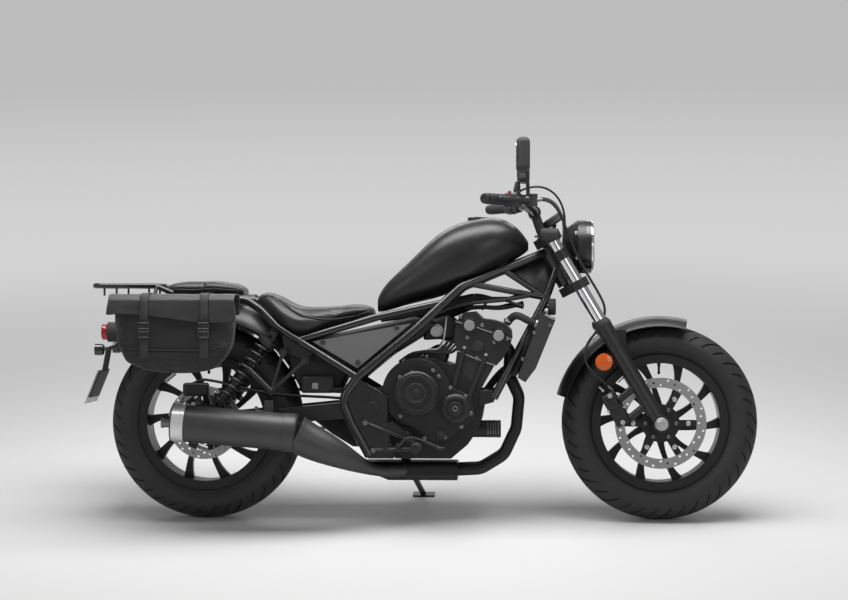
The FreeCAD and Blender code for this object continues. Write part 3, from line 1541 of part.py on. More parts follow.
def muffler():
    """Silencer: cone from the collector, can with its band and hanger lug."""
    front, rear, back = muffler_axis()
    stations = [(front, muffler_radius)] + [(V(x, y, z), radius) for x, y, z, radius in muffler_cone_points]
    centres = [centre for centre, radius in stations] + [V(*muffler_inlet)]
    before = [front + back] + centres[:-2]
    cone = Part.makeLoft([Part.Wire([Part.Circle(centre, ahead - behind, radius).toShape()])
                          for (centre, radius), behind, ahead in zip(stations, before, centres[1:])], True, False)
    inlet = rod(centres[-2], centres[-1], muffler_cone_points[-1][-1])
    can = rod(front, rear - back * end_cap_length, muffler_radius)
    band = rod(front + back * muffler_band_offset, front + back * (muffler_band_offset + muffler_band_length),
               muffler_radius + muffler_band_rise)
    hub = V(pillion_peg_hub[0], -muffler_y, pillion_peg_hub[1])
    lug_base = muffler_front[1] + muffler_radius - muffler_lug_sink
    lug_top = hub.z - muffler_lug_drop
    lug = block(hub.x - muffler_lug_offset, -pillion_plate_y - 2 * pillion_plate_thickness - seat_gap,
                lug_base, muffler_lug_length, pillion_plate_thickness, lug_top - lug_base)
    return fused([cone, inlet, can, band, lug]).cut(collector())


def muffler_end():
    """Bright end cap with the outlet."""
    front, rear, back = muffler_axis()
    start = rear - back * end_cap_length
    cap = rod(start, rear, muffler_radius)
    hollow = rod(start + back * (end_cap_length - end_cap_slant), rear + back * cut_overrun,
                 muffler_radius - end_cap_wall)
    tip = rod(start, rear, tip_radius)
    bore = rod(start + back * end_cap_slant, rear + back * cut_overrun, tip_radius - end_cap_wall)
    return fused([cap.cut(hollow), tip]).cut(bore)


# Brakes, chain and running gear

def caliper(centre, length, height, angle_deg, y_inner, y_outer, disc_radius, axle, plane):
    """Brake caliper straddling the disc rim, with the slot the disc runs in."""
    body = block(-length / 2, -y_outer, -height / 2, length, y_outer - y_inner, height)
    body = rounded(body, caliper_edge_radius)
    body.rotate(V(0, 0, 0), V(0, 1, 0), angle_deg)
    body.translate(V(centre[0], 0, centre[1]))
    gap = disc_thickness / 2 + caliper_slot_gap
    slot = cross_rod(axle.x, axle.z, -plane - gap, -plane + gap, disc_radius + caliper_slot_gap)
    return body.cut(slot)


def front_caliper():
    """Front caliper on two lugs behind the right fork leg."""
    body = caliper(caliper_centre, caliper_length, caliper_height, caliper_tilt_deg, caliper_inner_y, caliper_outer_y,
                   front_disc_radius, front_axle, front_disc_plane)
    return body


def chain():
    """Drive chain as one closed loop round both sprockets."""
    front = V(output_shaft[0], chain_y, output_shaft[1])
    rear = V(rear_axle.x, chain_y, rear_axle.z)
    return loop_band(front, rear, chain_pitch_radius_front, chain_pitch_radius_rear, chain_height,
                     chain_half_width)


def loop_outline(front, rear, front_radius, rear_radius, y):
    """Wire round two pulleys in a plane across Y."""
    span = rear - front
    distance = math.hypot(span.x, span.z)
    direction = math.atan2(span.z, span.x)
    lift = math.acos((front_radius - rear_radius) / distance)

    def at(centre, radius, angle):
        return V(centre.x + radius * math.cos(angle), y, centre.z + radius * math.sin(angle))

    top, low = direction - lift, direction + lift
    edges = [
        Part.Arc(at(front, front_radius, top), at(front, front_radius, direction + math.pi),
                 at(front, front_radius, low)).toShape(),
        Part.LineSegment(at(front, front_radius, low), at(rear, rear_radius, low)).toShape(),
        Part.Arc(at(rear, rear_radius, low), at(rear, rear_radius, direction), at(rear, rear_radius, top)).toShape(),
        Part.LineSegment(at(rear, rear_radius, top), at(front, front_radius, top)).toShape(),
    ]
    return Part.Wire(edges)


def loop_band(front, rear, front_radius, rear_radius, height, half_width):
    """Endless band of rectangular section round two pulleys."""
    start = front.y - half_width
    outer = Part.Face(loop_outline(front, rear, front_radius + height / 2, rear_radius + height / 2, start))
    inner = Part.Face(loop_outline(front, rear, front_radius - height / 2, rear_radius - height / 2, start))
    return outer.cut(inner).extrude(V(0, 2 * half_width, 0))


def output_sprocket():
    """Front sprocket on the gearbox shaft."""
    outer = chain_pitch_radius_front - chain_height / 2
    start = chain_y - sprocket_thickness / 2
    wheel = cross_rod(output_shaft[0], output_shaft[1], start, start + sprocket_thickness, outer)
    shaft = cross_rod(output_shaft[0], output_shaft[1], sprocket_bay_y, start + 2 * sprocket_thickness, axle_radius)
    return fused([wheel, shaft])


# Pegs, pedals and stand

def peg_hangers(main_frame):
    """Rider peg bracket from the right pivot plate: an open triangle of plate with the peg on its nose."""
    plate_face = main_tube_low[1] - pivot_plate_thickness / 2
    outline = spread(hanger_outline_shares, hanger_rear_x, hanger_base_z, hanger_length, hanger_height)
    window = spread(hanger_window_shares, hanger_rear_x, hanger_base_z, hanger_length, hanger_height)
    arm = plate(outline, plate_face - peg_plate_thickness, peg_plate_thickness)
    opening = plate(window, plate_face - 2 * peg_plate_thickness, 3 * peg_plate_thickness)
    bar = cross_rod(rider_peg_x, rider_peg_z, -peg_y, plate_face, peg_bar_radius)
    peg = cross_rod(rider_peg_x, rider_peg_z, -peg_y - peg_length, -peg_y, peg_radius)
    return fused([arm.cut(opening), bar, peg]).cut(main_frame)


def foot_lever(pad):
    """Foot lever beside the right hanger, turning on a boss at its rear, with its pad fused on."""
    plate_face = main_tube_low[1] - pivot_plate_thickness / 2 - peg_plate_thickness
    boss = cross_rod(lever_pivot[0], lever_pivot[1], -lever_y - lever_boss_radius / 2, plate_face, lever_boss_radius)
    arm = tube([(x, -lever_y, z) for x, z in lever_line], lever_arm_radius, frame_bend_radius)
    return fused([boss, arm, pad])


def brake_pad():
    """Ribbed foot pad of the brake pedal."""
    x, z = lever_line[-1]
    return rounded(block(x - pedal_pad_length / 2, -lever_y - pedal_pad_width / 2, z - pedal_pad_thickness / 2,
                         pedal_pad_length, pedal_pad_width, pedal_pad_thickness), pedal_pad_thickness / 3)


def toe_peg():
    """Round toe peg of the gear lever."""
    x, z = lever_line[-1]
    return cross_rod(x, z, -lever_y - pedal_pad_width, -lever_y, lever_boss_radius)


def pillion_hanger():
    """Pillion peg bracket: two rods from ringed lugs meeting over the muffler, and the folded peg."""
    start = -pillion_plate_y
    pieces = []
    for ring in (pillion_ring_rear, pillion_ring_front):
        pieces.append(cross_rod(ring[0], ring[1], start - pillion_plate_thickness, start, pillion_ring_radius))
        pieces.append(rod((ring[0], start - pillion_plate_thickness / 2, ring[1]),
                          (pillion_peg_hub[0], start - pillion_plate_thickness / 2, pillion_peg_hub[1]),
                          pillion_ring_hole))
    pieces.append(cross_rod(pillion_peg_hub[0], pillion_peg_hub[1], start - 2 * pillion_plate_thickness, start,
                            pillion_ring_radius))
    pieces.append(rod((pillion_peg_hub[0], start - 2 * pillion_plate_thickness, pillion_peg_hub[1]),
                      (pillion_peg_tip[0], start - 2 * pillion_plate_thickness, pillion_peg_tip[1]),
                      pillion_peg_radius))
    for ring in (pillion_ring_rear, pillion_ring_front):
        pieces.append(cross_rod(ring[0], ring[1], start, -pillion_gusset_y, pillion_ring_hole))
    return fused(pieces)


def ground_z(y):
    """Height of the ground under the leaned bike, in the upright frame."""
    return y * math.tan(lean)


def side_stand():
    """Leg, eye and foot of the side stand."""
    pivot = V(*stand_pivot)
    axis = V(*stand_axis).normalize()
    foot = V(stand_foot[0], stand_foot[1], ground_z(stand_foot[1]))
    up = V(0, -math.sin(lean), math.cos(lean))
    across = V(0, math.cos(lean), math.sin(lean))
    corner = foot - V(stand_foot_length / 2, 0, 0) - across * (stand_foot_width / 2)
    sole = slab(corner, V(stand_foot_length, 0, 0), across * stand_foot_width, up * stand_foot_thickness)
    ankle = foot + up * (stand_foot_thickness / 2)
    eye = rod(pivot - axis * (stand_eye_length / 2), pivot + axis * (stand_eye_length / 2), stand_eye_radius)
    leg = rod(pivot, ankle, stand_leg_radius)
    under = slab(corner - up * stand_foot_width - V(stand_foot_length, 0, 0) - across * stand_foot_width,
                 V(3 * stand_foot_length, 0, 0), across * (3 * stand_foot_width), up * stand_foot_width)
    bore = rod(pivot - axis * stand_eye_length, pivot + axis * stand_eye_length, stand_pin_radius + running_gap)
    return fused([sole, eye, leg]).cut(under).cut(bore)


def stand_bracket():
    """Bracket from the left pivot plate with the pin that the stand turns on."""
    pivot = V(*stand_pivot)
    axis = V(*stand_axis).normalize()
    reach = axis * (stand_eye_length / 2 + running_gap)
    pin = rod(pivot - axis * stand_eye_length, pivot + axis * stand_eye_length, stand_pin_radius)
    head = rod(pivot - axis * stand_eye_length, pivot - reach, stand_head_radius)
    base = pivot + reach
    cheek = rod(base, base + axis * stand_cheek_thickness, stand_eye_radius)
    arm = rod(base + axis * (stand_cheek_thickness / 2),
              (main_tube_foot[0] + pivot_plate_foot_length / 2, -main_tube_foot[1] - pivot_plate_thickness / 2,
               main_tube_foot[2] + stand_cheek_thickness), stand_cheek_thickness / 2)
    return fused([pin, head, cheek, arm])


# Steering assembly

def clamp(level):
    """Fork clamp square to the steering axis: eyes round the tubes joined by a web."""
    low = level - clamp_thickness / 2
    centre = on_head_axis(low)
    eyes, bores = [], []
    for side in (-1, 1):
        leg = on_fork(fork_distance(level), side)
        eyes.append(rod(leg - head_axis * (clamp_thickness / 2), leg + head_axis * (clamp_thickness / 2),
                        clamp_eye_radius))
        bores.append(rod(leg - fork_axis * (2 * clamp_thickness), leg + fork_axis * (2 * clamp_thickness),
                         fork_tube_radius))
    leg = on_fork(fork_distance(level), -1)
    reach = (leg - on_head_axis(level)).dot(head_cross)
    front = reach + clamp_eye_radius / 2
    right = ((-clamp_web_rear, -clamp_web_half_width), (reach - clamp_eye_radius / 3, -fork_half_spacing),
             (front, -fork_half_spacing))
    outline = right + tuple((forward, -y) for forward, y in reversed(right))
    corners = [centre + head_cross * forward + V(0, y, 0) for forward, y in outline]
    web = Part.Face(Part.makePolygon(corners + corners[:1])).extrude(head_axis * clamp_thickness)
    return fused([web] + eyes), Part.makeCompound(bores)


def top_clamp():
    """Upper fork clamp with the handlebar risers standing on it."""
    body, bores = clamp(top_clamp_level)
    return fused([body.cut(bores)] + risers()).cut(handlebar())


def lower_clamp():
    """Lower fork clamp with the steering stem and its open lower bore."""
    body, bores = clamp(lower_clamp_level)
    foot = on_head_axis(lower_clamp_level - clamp_thickness / 2)
    top = on_head_axis(top_clamp_level - clamp_thickness / 2)
    stem = rod(foot, top, stem_radius)
    bore = rod(foot - head_axis * cut_overrun, foot + head_axis * stem_bore_depth, stem_bore_radius)
    return fused([body, stem]).cut(bores).cut(bore)


def fork_tubes():
    """Chromed inner tubes."""
    top = fork_distance(top_clamp_level) + clamp_thickness / 2 + fork_tube_rise
    return [rod(on_fork(slider_length - slider_collar_length, side), on_fork(top, side), fork_tube_radius)
            for side in (-1, 1)]


def sliders():
    """Lower fork legs with collar and axle lug; the right one carries the caliper."""
    legs = []
    for side in (-1, 1):
        bottom, top = on_fork(0, side), on_fork(slider_length, side)
        collar = on_fork(slider_length - slider_collar_length, side)
        lug = cross_rod(front_axle.x, front_axle.z, side * fork_half_spacing - axle_lug_half_width,
                        side * fork_half_spacing + axle_lug_half_width, axle_lug_radius)
        pieces = [rod(bottom, top, slider_radius), rod(collar, top, slider_collar_radius), lug]
        pieces += [fender_stay(side), reflector_bracket(side)]
        if side < 0:
            pieces += caliper_lugs()
        leg = fused(pieces)
        bore = rod(on_fork(slider_length - slider_collar_length, side), on_fork(slider_length + cut_overrun, side),
                   fork_tube_radius)
        hole = cross_rod(front_axle.x, front_axle.z, -front_axle_half_length - cut_overrun,
                         front_axle_half_length + cut_overrun, axle_radius)
        legs.append(leg.cut(bore).cut(hole))
    return legs


def caliper_lugs():
    """Two lugs from the right slider to the caliper's bolts."""
    lugs = []
    for along_share in (0.3, -0.3):
        centre = V(caliper_centre[0], 0, caliper_centre[1]) + fork_axis * (caliper_length * along_share)
        distance = (centre - front_axle).dot(fork_axis)
        leg = on_fork(distance, -1)
        lugs.append(rod((leg.x, leg.y, leg.z), (centre.x + caliper_height / 2, leg.y, centre.z), slider_radius / 2))
    return lugs


def fender_stay(side):
    """Boss on the slider's inner side that the front mudguard bolts to."""
    leg = on_fork(fender_stay_distance, side)
    inner = side * (front_fender_half_width + seat_gap)
    return cross_rod(leg.x, leg.z, leg.y, inner, slider_radius / 2)


def front_fender(legs):
    """Front mudguard with side tabs to the fork legs."""
    shell = fender(front_axle, front_fender_radius, front_fender_half_width, front_fender_drop, front_fender_wall,
                   front_fender_front_deg, front_fender_tail_deg)
    pieces = [shell]
    for side in (-1, 1):
        leg = on_fork(fender_stay_distance, side)
        out = (leg - V(0, leg.y, 0) - front_axle).normalize()
        start = front_axle + out * (fender_stay_distance - slider_radius)
        side_y = side * front_fender_half_width
        corner = V(start.x - slider_radius, min(side_y, side_y - side * front_fender_wall), start.z - slider_radius)
        pieces.append(block(corner.x, corner.y, corner.z, 2 * slider_radius, front_fender_wall,
                            fender_tab_height))
    return fused(pieces).cut(Part.makeCompound(legs))


def front_axle_bar():
    """Front axle with spacers."""
    return axle_bar(front_axle, front_disc_plane + disc_thickness / 2, hub_half_width,
                    fork_half_spacing - axle_lug_half_width, front_axle_half_length)


def rear_axle_bar():
    """Rear axle with spacers."""
    return axle_bar(rear_axle, rear_disc_plane + disc_thickness / 2, chain_y + sprocket_thickness / 2, arm_inner_y,
                    arm_inner_y + arm_thickness + axle_nut_length)


def handlebar():
    """One-piece bar, bent up and swept back."""
    route = [bar_end, bar_bend_outer, bar_bend_inner]
    route += [(x, -y, z) for x, y, z in reversed(route)]
    return tube(route, bar_radius, bar_bend_radius)


def bar_direction():
    """Direction of the right-hand grip, from its inner end outwards."""
    return (V(*bar_end) - V(*bar_bend_outer)).normalize()


def sleeve(end_offset, length, radius):
    """Sleeve round the right-hand bar end, starting at a distance in from it."""
    out = bar_direction()
    start = V(*bar_end) - out * end_offset
    body = rod(start, start - out * length, radius)
    return body.cut(rod(start + out * cut_overrun, start - out * (length + cut_overrun), bar_radius))


def grips():
    """Rubber grips with their inner flanges."""
    right = fused([sleeve(0, grip_length, grip_radius),
                   sleeve(grip_length - grip_flange_length, grip_flange_length, grip_flange_radius)])
    return both(right)


def switchgear():
    """Switch housings inboard of the grips."""
    return both(sleeve(grip_length + running_gap, switch_length, switch_radius))


def levers():
    """Brake and clutch levers with their perches."""
    out = bar_direction()
    perch_offset = grip_length + switch_length + 2 * running_gap
    perch = sleeve(perch_offset, perch_length, perch_radius)
    centre = V(*bar_end) - out * (perch_offset + perch_length / 2)
    ahead = V(0, 0, 1).cross(out).normalize()
    ahead = ahead if ahead.x > 0 else ahead * -1
    root = centre + ahead * lever_gap
    tip = root + out * lever_length
    start = centre + ahead * lever_neck_start
    neck = rod(start, root, lever_neck_radius)
    pieces = [perch, neck, taper(root - out * lever_radius, tip, lever_radius, lever_tip_radius)]
    right = fused(pieces)
    return both(right)


def reservoir():
    """Brake fluid reservoir on the right perch."""
    out = bar_direction()
    perch_offset = grip_length + switch_length + 2 * running_gap
    centre = V(*bar_end) - out * (perch_offset + perch_length + seat_gap + reservoir_radius)
    top = centre + V(reservoir_radius + bar_radius, 0, reservoir_height / 2)
    can = Part.makeCylinder(reservoir_radius, reservoir_height, top - V(0, 0, reservoir_height))
    return can.cut(handlebar())


def mirrors():
    """Round-cornered mirrors on their stalks."""
    base = V(mirror_base[0], -mirror_y + mirror_width / 2, mirror_base[1])
    out = bar_direction()
    perch_offset = grip_length + switch_length + 2 * running_gap
    perch = V(*bar_end) - out * (perch_offset + perch_length / 2) + V(0, 0, perch_radius)
    centre = V(mirror_centre[0], -mirror_y, mirror_centre[1])
    shell = block(-mirror_depth / 2, -mirror_width / 2, -mirror_height / 2, mirror_depth, mirror_width, mirror_height)
    shell = rounded(shell, mirror_edge_radius)
    shell.translate(centre)
    route = ((perch.x, perch.y, perch.z), (base.x, base.y, base.z), (centre.x + mirror_depth / 4, centre.y, centre.z))
    stalk = tube(route, mirror_stalk_radius, bar_bend_radius)
    return both(fused([shell, stalk]))


def risers():
    """Handlebar risers and their caps."""
    pieces = []
    bar = V(*bar_centre)
    level = top_clamp_level + clamp_thickness / 2
    for side in (-1, 1):
        y = side * bar_clamp_half_spacing
        foot = on_head_axis(level) + V(0, y, 0)
        top = V(bar.x, y, bar.z)
        pieces.append(rod(foot - head_axis * (clamp_thickness / 2), top, riser_radius))
        pieces.append(cross_rod(bar.x, bar.z, y - riser_cap_width / 2, y + riser_cap_width / 2, riser_cap_radius))
    return pieces


def headlight():
    """Round headlight bowl, tapering to its upper back."""
    seat_x = lamp_front_x - lamp_ring_length
    waist_x = seat_x - lamp_shell_length
    shell = rod((seat_x, 0, lamp_centre_z), (waist_x, 0, lamp_centre_z), lamp_radius)
    waist = Part.Wire([Part.Circle(V(waist_x, 0, lamp_centre_z), V(-1, 0, 0), lamp_radius).toShape()])
    back_centre = V(waist_x - lamp_cone_length, 0, lamp_centre_z + lamp_back_rise)
    back = Part.Wire([Part.Circle(back_centre, V(-1, 0, 0), lamp_back_radius).toShape()])
    return fused([shell, Part.makeLoft([waist, back], True, True)])


def headlight_ring():
    """Bright ring round the lens."""
    ring = rod((lamp_front_x - lamp_ring_length, 0, lamp_centre_z), (lamp_front_x, 0, lamp_centre_z), lamp_radius)
    return ring.cut(rod((lamp_front_x - lamp_ring_length, 0, lamp_centre_z),
                        (lamp_front_x + cut_overrun, 0, lamp_centre_z), lamp_radius - lamp_ring_width))


def headlight_lens():
    """Clear lens, slightly domed."""
    inner = lamp_radius - lamp_ring_width
    base = rod((lamp_front_x - lamp_ring_length, 0, lamp_centre_z), (lamp_front_x, 0, lamp_centre_z), inner)
    dome_radius = (inner ** 2 + lamp_lens_bulge ** 2) / (2 * lamp_lens_bulge)
    dome = Part.makeSphere(dome_radius, V(lamp_front_x + lamp_lens_bulge - dome_radius, 0, lamp_centre_z))
    front = rod((lamp_front_x - cut_overrun, 0, lamp_centre_z), (lamp_front_x + lamp_lens_bulge, 0, lamp_centre_z), inner)
    return fused([base, front.common(dome)])


def headlight_brackets(bowl):
    """Brackets clamped round the fork tubes that hold the headlight from behind."""
    pieces = []
    half_height = lamp_bracket_height / 2
    for side in (-1, 1):
        leg = on_fork((lamp_bracket_z - front_axle.z) / fork_axis.z, side)
        half = fork_axis * half_height
        ring = rod(leg - half, leg + half, fork_tube_radius + lamp_bracket_wall)
        seat = V(lamp_bracket_seat[0], side * lamp_bracket_seat[1], lamp_bracket_seat[2])
        arm = rod(leg, seat, lamp_bracket_radius)
        bore = rod(leg - half - fork_axis * cut_overrun, leg + half + fork_axis * cut_overrun, fork_tube_radius)
        pieces.append(fused([ring, arm]).cut(Part.makeCompound([bore, bowl])))
    return pieces


def meter(upper_clamp):
    """Round instrument held over the top clamp by a short post."""
    tilt = math.radians(meter_tilt_deg)
    face = V(-math.cos(tilt), 0, math.sin(tilt))
    centre = V(meter_x, 0, meter_z)
    back = centre - face * meter_length
    body = rounded(rod(back, centre, meter_radius), meter_length / 4)
    post = rod(on_head_axis(top_clamp_level) + head_cross * (meter_radius / 2), back + face, meter_post_radius)
    return fused([body, post]).cut(upper_clamp)


def horn(main_frame):
    """Disc horn on a bracket from the right down tube."""
    body = rod((horn_x - horn_length, horn_y, horn_z), (horn_x, horn_y, horn_z), horn_radius)
    arm = rod((down_tube_bend[0] - down_tube_radius, horn_y, horn_z), (horn_x, horn_y, horn_z), hose_radius)
    return fused([rounded(body, horn_edge_radius), arm]).cut(main_frame)


def reflector():
    """Round side reflector on its bracket."""
    disc_solid = cross_rod(reflector_centre[0], reflector_centre[1], -reflector_y - reflector_thickness,
                           -reflector_y, reflector_radius)
    return disc_solid


def reflector_bracket(side):
    """Arm from the slider to the reflector, with its backing disc."""
    leg = on_fork((V(reflector_centre[0], 0, reflector_centre[1]) - front_axle).dot(fork_axis), side)
    inset = side * (reflector_y - reflector_arm_inset)
    arm = rod((leg.x, inset, leg.z), (reflector_centre[0], inset, reflector_centre[1]), hose_radius)
    backing = cross_rod(reflector_centre[0], reflector_centre[1], side * (reflector_y - reflector_backing_depth),
                        side * reflector_y, reflector_radius / 2)
    return fused([arm, backing])


def model():
    """All sub-parts in the upright frame, by name."""
    parts = {}
    parts["frame"] = frame()
    parts["rear_subframe"] = rear_subframe(parts["frame"])
    parts["swingarm"] = swingarm()
    parts["shock_bodies"] = both(shock_body())
    parts["shock_springs"] = both(shock_spring())
    tank = fuel_tank(parts["frame"])
    parts["fuel_tank"] = [tank, tank_cap(tank)]
    parts["rider_seat"] = rider_seat([parts["frame"], parts["rear_subframe"], tank])
    parts["pillion_seat"] = pillion_seat()
    parts["rear_fender"] = rear_fender([parts["rear_subframe"], parts["frame"], parts["rider_seat"]])
    parts["luggage_carrier"] = luggage_carrier(parts["rear_subframe"])
    parts["tail_unit"] = [tail_lamp().cut(parts["rear_fender"]), plate_bracket(parts["rear_fender"])]
    parts["tail_lens"] = tail_lens()
    parts["number_plate"] = number_plate()
    parts["rear_indicators"] = both(indicator(rear_indicator_x, -rear_indicator_y, rear_indicator_z, -1))
    parts["saddlebag_right"] = saddlebag(-1)
    parts["saddlebag_left"] = saddlebag(1)
    case = crankcase()
    parts["crankcase"] = fused([case, oil_filter()])
    parts["cylinder_head"] = cylinder_head()
    parts["cylinder_block"] = cylinder_block(case, parts["cylinder_head"])
    parts["cam_caps"] = cam_caps()
    parts["clutch_cover"] = right_cover()
    parts["left_covers"] = [left_cover(), sprocket_cover()]
    parts["radiator"] = [radiator()] + radiator_shrouds()
    parts["throttle_bodies"] = throttle_bodies(parts["cylinder_head"])
    parts["electrics_cover"] = electrics_cover(parts["frame"])
    parts["side_covers"] = both(side_cover([parts["frame"]])) + trellis_panels(parts["frame"])
    parts["exhaust_pipes"] = headers([parts["cylinder_head"], collector()]) + [collector()]
    parts["muffler"] = muffler()
    parts["muffler_end"] = muffler_end()
    parts["rear_axle"] = rear_axle_bar()
    parts["rear_caliper"] = caliper(rear_caliper_centre, rear_caliper_length, rear_caliper_height, 0,
                                    rear_disc_plane - rear_caliper_inner_reach,
                                    rear_disc_plane + rear_caliper_outer_reach, rear_disc_radius, rear_axle,
                                    rear_disc_plane)
    hose_ends = Part.makeCompound([parts["rear_caliper"], parts["frame"], parts["swingarm"]])
    parts["rear_caliper"] = [parts["rear_caliper"], longest(cord(rear_hose_route, hose_radius).cut(hose_ends))]
    parts["drive_chain"] = [chain(), output_sprocket()]
    right_peg = fused([peg_hangers(parts["frame"]), foot_lever(brake_pad())])
    left_peg = fused([peg_hangers(parts["frame"]), foot_lever(toe_peg())])
    parts["foot_pegs"] = [right_peg, mirror(left_peg)] + both(pillion_hanger())
    parts["horn"] = horn(parts["frame"])
    parts["side_stand"] = side_stand()
    parts["rear_tyre"] = tyre(rear_axle, rear_tyre_radius, rear_tyre_half_width, rear_rim_half_width)
    parts["rear_rim"] = rim(rear_axle, rear_rim_half_width, rear_disc_plane, rear_disc_inner_radius)
    parts["rear_disc"] = disc(rear_axle, rear_disc_radius, rear_disc_inner_radius, rear_disc_plane)
    parts["rear_sprocket"] = rear_sprocket()
    parts["top_clamp"] = top_clamp()
    parts["lower_clamp"] = lower_clamp()
    parts["fork_tubes"] = fork_tubes()
    parts["fork_sliders"] = sliders()
    parts["front_fender"] = front_fender(parts["fork_sliders"])
    parts["front_axle"] = front_axle_bar()
    parts["front_caliper"] = front_caliper().cut(Part.makeCompound(parts["fork_sliders"]))
    parts["handlebar"] = handlebar()
    parts["grips"] = grips()
    parts["controls"] = switchgear() + levers() + [reservoir()]
    fixed = Part.makeCompound([parts["handlebar"]] + parts["controls"])
    parts["mirrors"] = [longest(mirror_solid.cut(fixed)) for mirror_solid in mirrors()]
    bowl = headlight()
    parts["headlight"] = [bowl] + headlight_brackets(bowl)
    parts["headlight_ring"] = headlight_ring()
    parts["headlight_lens"] = headlight_lens()
    parts["meter"] = meter(parts["top_clamp"])
    parts["front_indicators"] = both(front_indicator(parts["top_clamp"]).cut(Part.makeCompound(parts["fork_tubes"])))
    parts["reflectors"] = both(reflector())
    ends = Part.makeCompound([parts["handlebar"], parts["lower_clamp"], parts["front_caliper"]] + parts["controls"])
    parts["cables"] = [longest(cord(route, radius).cut(ends)) for route, radius in (
        (front_hose_route, hose_radius), (clutch_cable_route, cable_radius), (throttle_cable_route, cable_radius))]
    parts["front_tyre"] = tyre(front_axle, front_tyre_radius, front_tyre_half_width, front_rim_half_width)
    parts["front_rim"] = rim(front_axle, front_rim_half_width, front_disc_plane, front_disc_inner_radius)
    parts["front_disc"] = disc(front_axle, front_disc_radius, front_disc_inner_radius, front_disc_plane)
    return parts


def leaned(shape):
    """The shape leaned over onto the side stand, about the ground line."""
    turned_shape = shape.copy()
    turned_shape.rotate(V(0, 0, 0), V(1, 0, 0), -lean_deg)
    return turned_shape


def as_one(shape):
    """A single shape for a node that may hold several solids."""
    return Part.makeCompound(shape) if isinstance(shape, list) else shape


def settled(parts):
    """All sub-parts leaned, with the origin under the middle of the whole bike."""
    placed = {name: leaned(as_one(shape)) for name, shape in parts.items()}
    boxes = [shape.optimalBoundingBox(True, False) for shape in placed.values()]
    x_middle = (min(box.XMin for box in boxes) + max(box.XMax for box in boxes)) / 2
    y_middle = (min(box.YMin for box in boxes) + max(box.YMax for box in boxes)) / 2
    shift = V(-x_middle, -y_middle, 0)
    for shape in placed.values():
        shape.translate(shift)
    return placed, shift


def main():
    """Build, settle and export every sub-part."""
    os.makedirs("parts", exist_ok=True)
    placed, shift = settled(model())
    for name, shape in placed.items():
        shape.exportStep(os.path.join("parts", name + ".step"))
    return placed, shift


if __name__ == "__main__":
    main()
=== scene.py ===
"""Looks of a cruiser motorcycle on its side stand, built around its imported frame."""

from __future__ import annotations

import json
import logging
import math
from dataclasses import dataclass, field
from enum import Enum
from typing import Any, Callable, Iterable, Sequence

import bmesh
import bpy
from mathutils import Matrix, Vector
from mathutils.kdtree import KDTree

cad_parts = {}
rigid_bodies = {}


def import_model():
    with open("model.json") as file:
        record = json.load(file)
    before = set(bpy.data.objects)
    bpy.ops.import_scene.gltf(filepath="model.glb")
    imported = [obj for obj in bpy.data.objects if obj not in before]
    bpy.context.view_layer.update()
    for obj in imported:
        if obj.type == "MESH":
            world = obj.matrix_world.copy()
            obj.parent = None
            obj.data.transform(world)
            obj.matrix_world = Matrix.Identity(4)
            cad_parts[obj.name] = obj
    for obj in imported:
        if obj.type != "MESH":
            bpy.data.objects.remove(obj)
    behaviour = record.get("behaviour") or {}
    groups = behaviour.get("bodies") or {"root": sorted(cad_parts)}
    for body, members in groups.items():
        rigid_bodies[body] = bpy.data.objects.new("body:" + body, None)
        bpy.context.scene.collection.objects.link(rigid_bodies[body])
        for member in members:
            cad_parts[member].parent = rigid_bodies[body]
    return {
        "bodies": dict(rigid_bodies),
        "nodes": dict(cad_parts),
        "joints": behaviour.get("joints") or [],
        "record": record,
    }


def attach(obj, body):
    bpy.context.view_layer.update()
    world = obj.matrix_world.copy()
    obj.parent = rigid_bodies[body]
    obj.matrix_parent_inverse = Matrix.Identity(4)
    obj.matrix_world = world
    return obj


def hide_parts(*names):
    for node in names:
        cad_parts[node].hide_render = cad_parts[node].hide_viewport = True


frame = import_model()
LOG = logging.getLogger("motorcycle")
Colour = tuple[float, float, float]
Point = tuple[float, float, float]
Outline = tuple[tuple[float, float], ...]


class Side(Enum):
    """A side of the motorcycle, by its sign across."""

    RIGHT = -1
    LEFT = 1

    @property
    def label(self) -> str:
        """The side's name as pieces carry it."""
        return self.name.lower()


def grey(value: float) -> Colour:
    """A neutral colour of one linear value."""
    return (value, value, value)


# Shader building


